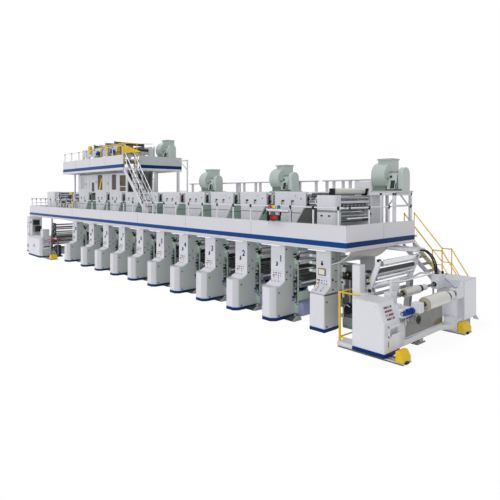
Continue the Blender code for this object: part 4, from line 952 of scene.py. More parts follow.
@dataclass
class Studio:
    """The camera, the lamps, the world and the white floor."""

    camera_place: Place = (7.41, -10.30, 4.0)
    heading: float = math.radians(47.53)
    lens: float = 33.08
    horizon_shift: float = -0.1148
    world_level: float = 0.43
    sun_level: float = 0.92
    fill_level: float = 1.18
    floor_size: float = 400.0
    floor_drop: float = 0.002
    floor_glow: float = 1.065
    glow_share: float = 0.86
    sensor: float = 36.0
    far_clip: float = 500.0
    key_softness: float = 24
    fill_softness: float = 40

    def build(self) -> None:
        """Set up everything that isn't part of the machine."""
        scene = bpy.context.scene
        scene.view_settings.view_transform = "Standard"
        self._camera(scene)
        self._world(scene)
        self._sun("key_light", self.sun_level, (0.50, 0.0, -0.42), self.key_softness)
        self._sun("front_light", self.fill_level, (1.52, 0.0, 0.66), self.fill_softness)
        self._floor()

    def _camera(self, scene: bpy.types.Scene) -> None:
        """Place the level camera with its vertical shift.

        Args:
            scene: the scene that it films.
        """
        data = bpy.data.cameras.new("camera")
        data.sensor_width = self.sensor
        data.lens = self.lens
        data.shift_y = self.horizon_shift
        data.clip_end = self.far_clip
        camera = bpy.data.objects.new("camera", data)
        camera.location = MACHINE_ZERO + Vector(self.camera_place)
        camera.rotation_euler = (math.radians(90), 0.0, self.heading)
        scene.collection.objects.link(camera)
        scene.camera = camera

    def _world(self, scene: bpy.types.Scene) -> None:
        """Light from all round, and plain white for the camera, for gloss and through glass.

        Args:
            scene: the scene that it lights.
        """
        world = bpy.data.worlds.new("studio")
        world.use_nodes = True
        scene.world = world
        tree = world.node_tree
        lit = tree.nodes["Background"]
        lit.inputs["Color"].default_value = (0.985, 0.985, 1.0, 1.0)
        lit.inputs["Strength"].default_value = self.world_level
        white = tree.nodes.new("ShaderNodeBackground")
        white.inputs["Color"].default_value = (1.0, 1.0, 1.0, 1.0)
        white.inputs["Strength"].default_value = 1.0
        seen = self._seen(tree)
        mix = tree.nodes.new("ShaderNodeMixShader")
        tree.links.new(seen, mix.inputs[0])
        tree.links.new(lit.outputs[0], mix.inputs[1])
        tree.links.new(white.outputs[0], mix.inputs[2])
        tree.links.new(mix.outputs[0], tree.nodes["World Output"].inputs["Surface"])

    @staticmethod
    def _seen(tree: bpy.types.NodeTree) -> bpy.types.NodeSocket:
        """Return 1 for what is seen straight, in gloss or through glass, and 0 for light.

        Args:
            tree: the world's node tree.

        Returns:
            The mask's socket.
        """
        path = tree.nodes.new("ShaderNodeLightPath")
        plain = math_node(tree, "MAXIMUM", path.outputs["Is Camera Ray"],
            path.outputs["Is Transmission Ray"])
        return math_node(tree, "MAXIMUM", plain, path.outputs["Is Glossy Ray"])

    def _sun(self, name: str, level: float, turn: Place, softness: float) -> None:
        """Place one broad lamp.

        Args:
            name: the lamp's name.
            level: its strength.
            turn: its angles about X, Y and Z.
            softness: the angle that it spans, in degrees.
        """
        data = bpy.data.lights.new(name, "SUN")
        data.energy = level
        data.angle = math.radians(softness)
        lamp = bpy.data.objects.new(name, data)
        lamp.rotation_euler = turn
        bpy.context.scene.collection.objects.link(lamp)

    def _floor(self) -> None:
        """Lay the white floor, which keeps a soft shadow."""
        half = self.floor_size / 2
        shape = bmesh.new()
        shape.faces.new([shape.verts.new((x, y, -self.floor_drop)) for x, y in ((-half, -half),
            (half, -half), (half, half), (-half, half))])
        mesh = bpy.data.meshes.new("floor")
        shape.to_mesh(mesh)
        shape.free()
        floor = bpy.data.objects.new("floor", mesh)
        bpy.context.scene.collection.objects.link(floor)
        paint = bpy.data.materials.new("white_floor")
        paint.use_nodes = True
        tree = paint.node_tree
        shader = tree.nodes["Principled BSDF"]
        shader.inputs["Base Color"].default_value = (0.84, 0.84, 0.85, 1.0)
        shader.inputs["Roughness"].default_value = 0.8
        glow = tree.nodes.new("ShaderNodeEmission")
        glow.inputs["Strength"].default_value = self.floor_glow
        share = math_node(tree, "MULTIPLY", self._seen(tree), self.glow_share)
        mix = tree.nodes.new("ShaderNodeMixShader")
        tree.links.new(share, mix.inputs[0])
        tree.links.new(shader.outputs[0], mix.inputs[1])
        tree.links.new(glow.outputs[0], mix.inputs[2])
        tree.links.new(mix.outputs[0], tree.nodes["Material Output"].inputs["Surface"])
        mesh.materials.append(paint)


# Hoses


@dataclass
class RewinderHoses:
    """The two ribbed hoses between the cable tray and the rewinder's terminal box."""

    tray_end: float = 0.80 + SEAT
    straight_x: float = 0.835
    tray_z: float = 2.30
    first_y: float = 2.55
    pitch: float = 0.11
    end_x: float = 1.08
    first_end_y: float = 2.92
    end_z: float = 1.60 + SEAT
    radius: float = 0.024
    rib_height: float = 0.004
    ribs_per_metre: float = 70.0

    def build(self) -> None:
        """Make both hoses."""
        for index in range(2):
            y = self.first_y + index * self.pitch
            end_y = self.first_end_y + index * self.pitch
            bends = ((0.16, 0.0, 2.285), (0.29, 0.06, 2.15), (0.34, 0.16, 1.96), (0.32, 0.28, 1.78))
            control = [(self.straight_x, y, self.tray_z)]
            control += [(self.tray_end - SEAT + reach, y + aside, z) for reach, aside, z in bends]
            control.append((self.end_x, end_y, self.end_z + 0.0347))
            path = [(self.tray_end, y, self.tray_z)] + smooth_line(control,
                4) + [(self.end_x, end_y, self.end_z)]
            name = f"hose_{index + 1}"
            piece = Form().add(HOSE_RUBBER, self._ribbed(path)).piece(f"ribbed_{name}", "hose_black",
                [name])

    def _ribbed(self, path: Sequence[Place]) -> Shape:
        """Return the hose's mesh with its ribs.

        Args:
            path: the points of the hose's middle line.

        Returns:
            The shape.
        """
        line = [Vector(point) for point in smooth_line(path, 12)]
        steps = []
        travelled = 0.0
        for a, b in zip(line, line[1:]):
            travelled += (b - a).length
            steps.append(travelled)
        shape = tube([tuple(point) for point in line], self.radius, 12)
        shape.verts.ensure_lookup_table()
        for index in range(1, len(line) - 1):
            phase = math.sin(2 * math.pi * self.ribs_per_metre * steps[index - 1])
            for corner in range(12):
                vertex = shape.verts[index * 12 + corner]
                offset = vertex.co - line[index]
                vertex.co = line[index] + offset * (1 - self.rib_height / self.radius * (0.5 - 0.5 * phase))
        return shape


def smooth_line(control: Sequence[Place], per_span: int) -> list[Place]:
    """Return points on a smooth curve through the control points.

    Args:
        control: the points that it passes.
        per_span: the number of steps between two of them.

    Returns:
        The points.
    """
    padded = [control[0]] + list(control) + [control[-1]]
    points = []
    for index in range(len(control) - 1):
        a, b, c, d = padded[index:index + 4]
        for step in range(per_span):
            t = step / per_span
            points.append(tuple(0.5 * (2 * b[k] + (c[k] - a[k]) * t + (2 * a[k] - 5 * b[k] + 4 * c[k]
                - d[k]) * t ** 2 + (3 * b[k] - a[k] - 3 * c[k] + d[k]) * t ** 3) for k in range(3)))
    points.append(tuple(control[-1]))
    return points


# Print units


def push_button(form: Form, cap: Finish, x: float, y: float, z: float, radius: float = 0.017) -> None:
    """Add a round push button that points at the operator.

    Args:
        form: where it goes.
        cap: the finish of its cap.
        x: its place along the machine.
        y: the panel's face.
        z: its height.
        radius: the cap's radius.
    """
    form.add(BLACK_PLASTIC, turned(Axis.Y, x, z, [(y - 0.005, radius + 0.003), (y + 0.002, radius + 0.004)],
        12))
    form.add(cap, turned(Axis.Y, x, z, [(y - 0.018, radius * 0.7), (y - 0.015, radius),
        (y - 0.004, radius)], 12))


def stop_button(form: Form, x: float, y: float, z: float) -> None:
    """Add a red emergency stop on its yellow ring.

    Args:
        form: where it goes.
        x: its place along the machine.
        y: the panel's face.
        z: its height.
    """
    form.add(BUTTON_YELLOW, turned(Axis.Y, x, z, [(y - 0.006, 0.034), (y + 0.002, 0.036)], 16))
    form.add(BUTTON_RED, turned(Axis.Y, x, z, [(y - 0.045, 0.012), (y - 0.04, 0.022), (y - 0.028, 0.024),
        (y - 0.022, 0.014), (y - 0.004, 0.014)], 16))


def recessed_latch(form: Form, x: float, y: float, z: float, width: float = 0.06) -> None:
    """Add a black recessed latch in a face that looks along +X.

    Args:
        form: where it goes.
        x: the face's place.
        y: the latch's middle.
        z: its height.
        width: its width along Y.
    """
    form.add(BLACK_PLASTIC, block((x - 0.004, y - width / 2, z - 0.022),
        (x + 0.004, y + width / 2, z + 0.022), 0.002), block((x, y - width / 2 + 0.012, z - 0.006),
        (x + 0.012, y + 0.004, z + 0.006), 0.002))


def bolt_heads(form: Form, axis: Axis, places: Iterable[Place], radius: float = 0.011,
        height: float = 0.008) -> None:
    """Add hexagon bolt heads.

    Args:
        form: where they go.
        axis: the direction that they stand along.
        places: the middle of each head's lower face.
        radius: a head's radius.
        height: its height, negative to stand the other way.
    """
    for x, y, z in places:
        u, v, w = {Axis.X: (y, z, x), Axis.Y: (x, z, y), Axis.Z: (x, y, z)}[axis]
        low, high = sorted((w, w + height))
        form.add(STEEL, turned(axis, u, v, [(low, radius), (high, radius)], 6))


@dataclass
class PrintUnit:
    """One print unit: operator stand, inner frame with its rollers, and printing cylinder."""

    half: float = 0.31
    front: float = -0.20
    rear: float = 0.80
    chamfer: float = 0.14
    box_top: float = 1.05
    kick_height: float = 0.10
    kick_rear: float = 0.64
    desk_front: float = 0.12
    face: float = 0.33
    desk_top: float = 1.17
    seam: float = 1.49
    top: float = FRAME_TOP
    plate_half: float = 0.43
    plate_rear: float = 0.86
    cylinder_z: float = 1.28
    cylinder_reach: float = 0.8947
    journal_length: float = 0.10
    cylinder_radius: float = 0.125
    drive_rear: float = 3.55
    latches: tuple[Flat, ...] = ((0.06, 0.86), (0.06, 0.15), (0.40, 2.20), (0.40, 1.24))
    side_clips: tuple[Flat, ...] = ((0.55, 1.66), (0.58, 1.62), (0.56, 1.34), (0.60, 1.36))
    buttons: tuple[Button, ...] = ((-0.16, 1.42, BUTTON_BLUE), (0.05, 1.42, BUTTON_BLUE),
        (0.13, 1.42, BUTTON_GREY), (-0.06, 1.35, BUTTON_BLUE), (0.04, 1.34, BUTTON_RED),
        (0.13, 1.34, BUTTON_YELLOW), (-0.16, 1.27, BUTTON_GREY), (0.04, 1.27, BUTTON_GREY))
    guide_rollers: tuple[Place, ...] = ((0.40, 1.73, 0.055), (0.40, 1.97, 0.055), (-0.38, 1.90, 0.04),
        (-0.36, 1.36, 0.035))

    def build(self) -> None:
        """Build the shared meshes once and place all ten units."""
        stand = self._stand().mesh("operator_stand")
        inner = self._inner_frame().mesh("inner_frame")
        drive = self._drive_side().mesh("drive_side")
        cylinder = self._cylinder().mesh("printing_cylinder")
        for index, x in enumerate(UNIT_XS, 1):
            label = f"unit_{index:02d}"
            place_mesh(f"{label}_operator_stand", stand, [f"{label}_print_unit"],
                at=(x, 0, 0))
            place_mesh(f"{label}_inner_frame", inner, at=(x, 0, 0))
            place_mesh(f"{label}_drive_side", drive, at=(x, 0, 0))
            place_mesh(f"{label}_cylinder", cylinder, [f"{label}_printing_cylinder"],
                f"cylinder_{index:02d}", (x, 1.755, self.cylinder_z))
            digits = Form().add(DIGIT_BLUE, number_shape(str(index), 0.20, 0.003,
                (0.14, self.face - 0.011, 1.89)))
            digits.piece(f"{label}_number", "stand_enamel", at=(x, 0, 0))

    def _stand(self) -> Form:
        """Return the operator stand: box, desk, column, doors and controls.

        Returns:
            The form.
        """
        form = Form()
        half, corner = self.half, self.front + self.chamfer
        plan = [(-half, self.rear), (-half, corner), (-half + self.chamfer, self.front),
            (half - self.chamfer, self.front), (half, corner), (half, self.rear)]
        form.add(STAND_GREY, prism(plan, Axis.Z, self.kick_height, self.box_top, 0.006))
        grow = 0.005
        kick = [(-half - grow, self.kick_rear), (-half - grow, corner - grow),
            (-half + self.chamfer - grow, self.front - grow),
            (half - self.chamfer + grow, self.front - grow), (half + grow, corner - grow),
            (half + grow, self.kick_rear)]
        form.add(KICK_BLUE, prism(kick, Axis.Z, 0.0, self.kick_height, 0.003))
        # Near-black block under the stand's rear, behind the kick plate: painted shade beneath the stand.
        form.add(RECESS_SHADE_DARK, block((-half + 0.02, self.kick_rear - 0.01, 0.0),
            (half - 0.02, self.rear, 0.11)))
        column = [(self.desk_front, self.box_top - 0.02), (self.desk_front, self.box_top),
            (self.face, self.desk_top), (self.face, self.top), (self.rear, self.top),
            (self.rear, self.box_top - 0.02)]
        form.add(STAND_GREY, prism(column, Axis.X, -half, half, 0.004))
        slope = math.atan2(self.desk_top - self.box_top, self.face - self.desk_front)
        desk = [(self.desk_front - 0.03, self.box_top + 0.001),
            (self.desk_front - 0.022, self.box_top + 0.012), (self.face - 0.002, self.desk_top + 0.012),
            (self.face, self.desk_top)]
        form.add(PANEL_WHITE, prism(desk, Axis.X, -half + 0.01, half - 0.035, 0.003))
        for low, high in ((self.desk_top + 0.02, self.seam - 0.006), (self.seam + 0.006, self.top - 0.012)):
            form.add(PANEL_WHITE, block((-half + 0.008, self.face - 0.009, low),
                (half - 0.008, self.face + 0.01, high), 0.003))
        self._doors(form)
        self._controls(form, slope)
        return form

    def _doors(self, form: Form) -> None:
        """Add the side doors, their latches, hinges and rear strip.

        Args:
            form: where they go.
        """
        front = self.front + self.chamfer + 0.004
        sheet = [(front, 0.105), (self.rear, 0.105), (self.rear, self.top - 0.004),
            (self.face + 0.012, self.top - 0.004), (self.face + 0.012, self.desk_top),
            (self.desk_front + 0.01, self.box_top - 0.006), (front, self.box_top - 0.006)]
        for side in (-1, 1):
            low, high = sorted((side * self.half, side * (self.half + 0.004)))
            form.add(SIDE_SHADE_GREY, prism(sheet, Axis.X, low, high, 0.0015))
        face = self.half + 0.004
        for y, z in self.latches:
            recessed_latch(form, face, y, z)
            recessed_latch(form, -face, y, z)
        form.add(BLACK_PLASTIC, rod(Axis.X, 0.42, 1.47, 0.028, face - 0.002, face + 0.02, 12))
        form.add(BUTTON_YELLOW, rod(Axis.X, 0.42, 1.47, 0.014, face + 0.015, face + 0.032, 10))
        for y, z in self.side_clips:
            form.add(BUTTON_BLUE, block((face - 0.001, y - 0.007, z - 0.03),
                (face + 0.018, y + 0.007, z + 0.03), 0.003))
        form.add(PANEL_WHITE, block((-self.half + self.chamfer + 0.02, self.front - 0.003, 0.13),
            (self.half - self.chamfer - 0.02, self.front + 0.003, 1.02), 0.0015))
        bolt_heads(form, Axis.X, [(face, self.rear - 0.04, z) for z in (0.30, 0.9, 1.5, 2.1)], 0.009, 0.006)

    def _controls(self, form: Form, slope: float) -> None:
        """Add the buttons, the stop, the gauge and the desk levers.

        Args:
            form: where they go.
            slope: the desk's lean.
        """
        y = self.face - 0.009
        for x, z, cap in self.buttons:
            push_button(form, cap, x, y, z)
        form.add(BLACK_PLASTIC, turned(Axis.Y, -0.06, 1.42, [(y - 0.03, 0.012), (y - 0.006, 0.02),
            (y, 0.024)], 12))
        stop_button(form, -0.16, y, 1.335)
        form.add(BLACK_PLASTIC, turned(Axis.Y, -0.02, 1.715, [(y - 0.03, 0.034), (y, 0.04)], 18),
            block((-0.034, y - 0.022, 1.75), (-0.006, y, 1.79), 0.004),
            turned(Axis.Y, -0.02, 1.668, [(y - 0.05, 0.016), (y, 0.02)], 10))
        form.add(STEEL, turned(Axis.Y, -0.02, 1.715, [(y - 0.033, 0.026), (y - 0.028, 0.027)], 18))
        middle = ((self.desk_front + self.face) / 2, (self.box_top + self.desk_top) / 2 + 0.014)
        for x in (-0.17, -0.02, 0.13):
            slot = block((x - 0.010, middle[0] - 0.075, middle[1] - 0.004), (x + 0.010, middle[0] + 0.075,
                middle[1] + 0.002), 0.001)
            form.add(BLACK_PLASTIC, moved(slot, turn=slope, pivot=(0, middle[0], middle[1])))
            foot = (x, middle[0] + 0.02, middle[1])
            head = (x, middle[0] - 0.015, middle[1] + 0.055)
            form.add(BRIGHT_STEEL, tube([foot, head], 0.005, 8))
            form.add(BUTTON_BLUE, ball(head, 0.014))
            for offset in (-0.05, 0.05):
                label = block((x + 0.018, middle[0] + offset - 0.012, middle[1] - 0.002),
                    (x + 0.045, middle[0] + offset + 0.012, middle[1] + 0.001), 0.0005)
                form.add(BUTTON_GREY, moved(label, turn=slope, pivot=(0, middle[0], middle[1])))

    def _inner_frame(self) -> Form:
        """Return what stands between the side plates: tank, pan, doctor blade and rollers.

        Returns:
            The form.
        """
        form = Form()
        near, far, half = self.plate_rear, DRIVE_Y, self.plate_half
        form.add(PALE_GREEN, pierced((-half, 0.12, half, self.top),
            [(0.335, 1.62, 0.41, 1.70), (0.335, 2.06, 0.41, 2.16), (-0.41, 0.6, -0.335, 0.9)], Axis.Y, 0.79,
            near), block((-half, far, 0.12), (half, far + 0.06, self.top), 0.004),
            block((-half + 0.02, near - 0.02, 2.29), (half - 0.02, far + 0.02, 2.365), 0.004))
        form.add(PANEL_WHITE, rod(Axis.Y, 0.46, 2.10, 0.035, near - 0.02, far, 12),
            rod(Axis.Y, 0.47, 1.80, 0.035, near - 0.02, far, 12))
        self._ink_pan(form, near, far)
        self._doctor_blade(form, near, far)
        form.add(RUBBER, rod(Axis.Y, 0.0, 1.57, 0.095, near + 0.09, far - 0.09, 22, 0.008))
        form.add(STEEL, rod(Axis.Y, 0.0, 1.57, 0.035, near - 0.01, far + 0.01, 14),
            *[block((-0.07, y, 1.48), (0.07, y + 0.055, 1.80), 0.006) for y in (near - 0.005, far - 0.05)],
            *[rod(Axis.Z, 0.0, y, 0.03, 1.78, 2.06, 12) for y in (near + 0.03, far - 0.03)])
        for x, z, radius in self.guide_rollers:
            form.add(PANEL_WHITE if z > 1.7 else BRIGHT_STEEL, rod(Axis.Y, x, z, radius, near + 0.05,
                far - 0.05, 18, 0.006))
            form.add(DARK_STEEL, rod(Axis.Y, x, z, radius * 0.45, near - 0.01, far + 0.01, 10),
                rod(Axis.Y, x, z, radius * 1.1, near - 0.005, near + 0.03, 12))
        form.add(HOOD_WHITE, block((0.22, near - 0.01, 1.78), (0.27, far + 0.01, 1.86), 0.004),
            block((-0.30, near - 0.01, 2.14), (0.30, far + 0.01, 2.20), 0.004))
        form.add(PALE_GREEN, block((-0.425, near - 0.01, 1.46), (-0.39, far + 0.01, 1.64), 0.004),
            block((0.39, near - 0.01, 0.50), (0.425, near + 0.5, 0.80), 0.004))
        self._side_fittings(form)
        return form

    def _ink_pan(self, form: Form, near: float, far: float) -> None:
        """Add the tank, the pump and the ink pan.

        Args:
            form: where they go.
            near: the operator side plate's inner face.
            far: the drive side plate's inner face.
        """
        form.add(TANK_BLUE, prism([(-0.46, 0.06), (0.62, 0.06), (0.62, 0.43), (0.58, 0.45), (-0.42, 0.45),
            (-0.46, 0.43)], Axis.Y, near - 0.01, far + 0.01, 0.004), block((-0.40, near + 0.10, 0.45),
            (0.56, near + 0.75, 0.475), 0.006), block((-0.40, near + 0.85, 0.45), (0.56, far - 0.10, 0.475),
            0.006))
        form.add(DARK_STEEL, rod(Axis.Z, 0.1, near + 0.22, 0.07, 0.47, 0.74, 14),
            rod(Axis.Z, 0.1, near + 0.22, 0.045, 0.74, 0.80, 14), rod(Axis.X, near + 0.22, 0.55, 0.03, -0.2,
            0.1, 10))
        form.add(RECESS_SHADE_DARK, block((-0.30, near - 0.01, 0.50), (0.30, near + 0.12, 0.82), 0.01))
        trough = [(0.32 * math.cos(a), 1.06 + 0.20 * math.sin(a)) for a in (math.pi + math.pi * k / 10
            for k in range(11))]
        form.add(STEEL, strip(trough, 0.012, Axis.Y, near - 0.01, far + 0.01),
            rod(Axis.Y, -0.325, 1.065, 0.014, near - 0.01, far + 0.01, 8), rod(Axis.Y, 0.325, 1.065, 0.014,
            near - 0.01, far + 0.01, 8))
        form.add(DARK_STEEL, block((-0.05, near - 0.01, 0.80), (0.05, far + 0.01, 0.875), 0.005))

    def _doctor_blade(self, form: Form, near: float, far: float) -> None:
        """Add the doctor blade holder beside the printing cylinder.

        Args:
            form: where it goes.
            near: the operator side plate's inner face.
            far: the drive side plate's inner face.
        """
        holder = [(0.15, 1.335), (0.32, 1.40), (0.36, 1.36), (0.30, 1.30), (0.20, 1.30)]
        form.add(DARK_STEEL, prism(holder, Axis.Y, near + 0.10, far - 0.10, 0.003))
        form.add(BRIGHT_STEEL, prism([(0.128, 1.327), (0.20, 1.355), (0.20, 1.351), (0.128, 1.324)], Axis.Y,
            near + 0.12, far - 0.12))
        for y in (near - 0.005, far - 0.075):
            form.add(STEEL, block((0.24, y, 1.26), (0.38, y + 0.08, 1.42), 0.006))
        for y in (near + 0.04, far - 0.12):
            form.add(CASTING, rod(Axis.Y, 0.42, 1.12, 0.045, y, y + 0.08, 14),
                block((0.33, y + 0.01, 0.93), (0.46, y + 0.07, 1.10), 0.006))
            form.add(BLACK_PLASTIC, rod(Axis.X, y + 0.04, 1.20, 0.022, 0.30, 0.46, 10))
        bolt_heads(form, Axis.Z, [(0.29, near + 0.2 + 0.22 * k, 1.385) for k in range(7)], 0.014, 0.03)

    def _side_fittings(self, form: Form) -> None:
        """Add the clamps, pipes, valves and feet on the green side plate.

        Args:
            form: where they go.
        """
        form.add(RECESS_SHADE_DARK, block((0.325, 0.78, 0.62), (0.425, 0.792, 1.50), 0.003))
        for k in range(6):
            z = 0.72 + 0.13 * k
            form.add((BLACK_PLASTIC, DARK_STEEL, CASTING)[k % 3], block((0.325 + 0.012 * (k % 2), 0.70, z),
                (0.40, 0.79, z + 0.07), 0.012))
            form.add(STEEL, rod(Axis.Y, 0.40 - 0.02 * (k % 2), z + 0.10, 0.018, 0.69, 0.79, 10))
        form.add(BLACK_PLASTIC, rod(Axis.X, 0.76, 1.92, 0.024, 0.33, 0.56, 12),
            block((0.43, 0.72, 1.84), (0.49, 0.80, 1.99), 0.012))
        form.add(RECESS_SHADE_DARK, block((0.315, 0.28, 0.0), (0.68, 0.66, 0.03), 0.004))
        form.add(DARK_STEEL, *[rod(Axis.X, 0.34 + 0.08 * k, 0.045, 0.016, 0.32, 0.66, 8) for k in range(4)])
        form.add(CASTING, prism([(0.28, 0.0), (0.64, 0.0), (0.64, 0.06), (0.54, 0.15), (0.46, 0.15),
            (0.28, 0.04)], Axis.X, 0.68, 0.74, 0.004))
        for z in (2.02, 1.16):
            form.add(BLACK_PLASTIC, rod(Axis.Y, 0.38, z, 0.03, 0.70, 0.80, 12),
                rod(Axis.Y, 0.38, z, 0.018, 0.66, 0.71, 10))
        form.add(DARK_STEEL, block((0.33, 0.70, 0.96), (0.43, 0.80, 1.10), 0.008),
            rod(Axis.Z, 0.38, 0.74, 0.022, 1.10, 1.34, 12), block((0.33, 0.72, 0.60), (0.42, 0.80, 0.72),
            0.01))
        form.add(STEEL, rod(Axis.Y, 0.375, 1.34, 0.05, 0.72, 0.79, 16), rod(Axis.Y, 0.38, 0.86, 0.035, 0.70,
            0.79, 14))
        form.add(CASTING, rod(Axis.Y, 0.375, 1.52, 0.05, 0.73, 0.79, 18))
        pipe = smooth_line([(0.36, 0.76, 0.96), (0.37, 0.74, 0.80), (0.45, 0.73, 0.62), (0.42, 0.76, 0.48),
            (0.34, 0.80, 0.46)], 5)
        form.add(HOSE_RUBBER, tube(pipe, 0.011, 8))
        pipe = smooth_line([(0.335, 0.77, 0.62), (0.37, 0.72, 0.55), (0.44, 0.72, 0.44),
            (0.50, 0.76, 0.40)], 5)
        form.add(BUTTON_BLUE, tube(pipe, 0.008, 8))
        form.add(BUTTON_BLUE, block((0.318, 0.66, 0.60), (0.345, 0.72, 0.68), 0.004))
        form.add(BUTTON_RED, block((0.318, 0.66, 0.52), (0.345, 0.71, 0.56), 0.004))
        form.add(STEEL, block((-0.42, 0.62, 0.0), (0.42, 0.98, 0.028), 0.004),
            *[prism([(0.66, 0.028), (0.96, 0.028), (0.84, 0.12), (0.80, 0.12)], Axis.X, x, x + 0.03, 0.002)
            for x in (0.33, -0.36)])
        form.add(TANK_BLUE, *[block((x, 0.90, 0.0), (x + 0.06, 2.60, 0.07)) for x in (-0.40, 0.40)])
        bolt_heads(form, Axis.Y, [(0.38, 0.79, z) for z in (0.2, 0.55, 1.25, 1.85, 2.25)]
            + [(-0.38, 0.79, z) for z in (0.2, 1.0, 1.6, 2.25)], 0.012, -0.01)

    def _drive_side(self) -> Form:
        """Return the drive side: gearbox cabinet, motor, shaft coupling and pipes.

        Returns:
            The form.
        """
        form = Form()
        half, start, rear = self.half, DRIVE_Y + 0.05, self.drive_rear
        form.add(STAND_GREY, block((-half, start, self.kick_height), (half, rear, self.top), 0.006))
        form.add(KICK_BLUE, block((-half - 0.005, start, 0.0),
            (half + 0.005, rear + 0.004, self.kick_height), 0.003))
        for side in (-1, 1):
            face = side * half
            low, high = sorted((face, face + side * 0.004))
            form.add(SIDE_SHADE_GREY, block((low, start + 0.06, 0.14), (high, rear - 0.03, 1.05), 0.0015),
                block((low, start + 0.06, 1.08), (high, rear - 0.03, self.top - 0.03), 0.0015))
        for low, high in ((0.14, 0.98), (1.01, 1.66), (1.69, self.top - 0.03)):
            form.add(PANEL_WHITE, block((-half + 0.02, rear - 0.002, low),
                (half - 0.02, rear + 0.005, high), 0.002))
        for k in range(7):
            form.add(RECESS_SHADE_DARK, block((-0.19, rear + 0.003, 1.74 + 0.035 * k),
                (0.19, rear + 0.008, 1.755 + 0.035 * k)))
        for z in (0.5, 1.3):
            form.add(BLACK_PLASTIC, block((0.20, rear + 0.004, z - 0.05), (0.235, rear + 0.022, z + 0.05),
                0.004))
        form.add(MOTOR_BLUE, rod(Axis.X, 3.0, 0.42, 0.11, half, half + 0.30, 20, 0.01),
            rod(Axis.X, 3.0, 0.42, 0.085, half + 0.30, half + 0.36, 16, 0.01),
            block((half + 0.06, 2.93, 0.52), (half + 0.20, 3.07, 0.58), 0.006))
        for k in range(7):
            form.add(MOTOR_BLUE, rod(Axis.X, 3.0, 0.42, 0.118, half + 0.04 + 0.035 * k, half + 0.052 + 0.035
                * k, 20))
        form.add(CASTING, block((half, 2.86, 0.0), (half + 0.28, 3.14, 0.30), 0.01))
        form.add(STEEL, rod(Axis.Y, 0.0, self.cylinder_z, 0.09, DRIVE_Y - 0.03, DRIVE_Y, 18),
            *[rod(Axis.Z, -half - 0.05, y, 0.02, 0.1, 2.3, 10) for y in (2.82, 3.0)])
        form.add(STEEL, *[block((-half - 0.09, 2.78, z), (-half + 0.01, 3.04, z + 0.03), 0.003)
            for z in (0.4, 1.2, 2.0)])
        return form

    def _cylinder(self) -> Form:
        """Return the printing cylinder, centred on its own axis.

        Returns:
            The form.
        """
        form = Form()
        reach = self.cylinder_reach
        face = reach - self.journal_length
        form.add(ENGRAVED, turned(Axis.Y, 0, 0, [(-face, self.cylinder_radius - 0.006),
            (-face + 0.006, self.cylinder_radius), (face - 0.006, self.cylinder_radius),
            (face, self.cylinder_radius - 0.006)], 40))
        form.add(STEEL, turned(Axis.Y, 0, 0, [(-reach, 0.042), (-reach + 0.003, 0.045),
            (-face - 0.02, 0.045), (-face - 0.018, 0.075), (-face + 0.01, 0.08)], 24),
            turned(Axis.Y, 0, 0, [(face - 0.01, 0.08), (face + 0.018, 0.075), (face + 0.02, 0.045),
            (reach - 0.003, 0.045), (reach, 0.042)], 24))
        for step in range(6):
            angle = math.pi * step / 3
            x, z = 0.098 * math.cos(angle), 0.098 * math.sin(angle)
            bolt_heads(form, Axis.Y, [(x, -face, z)], 0.009, -0.006)
            bolt_heads(form, Axis.Y, [(x, face, z)], 0.009, 0.006)
        return form


# Dryer hoods


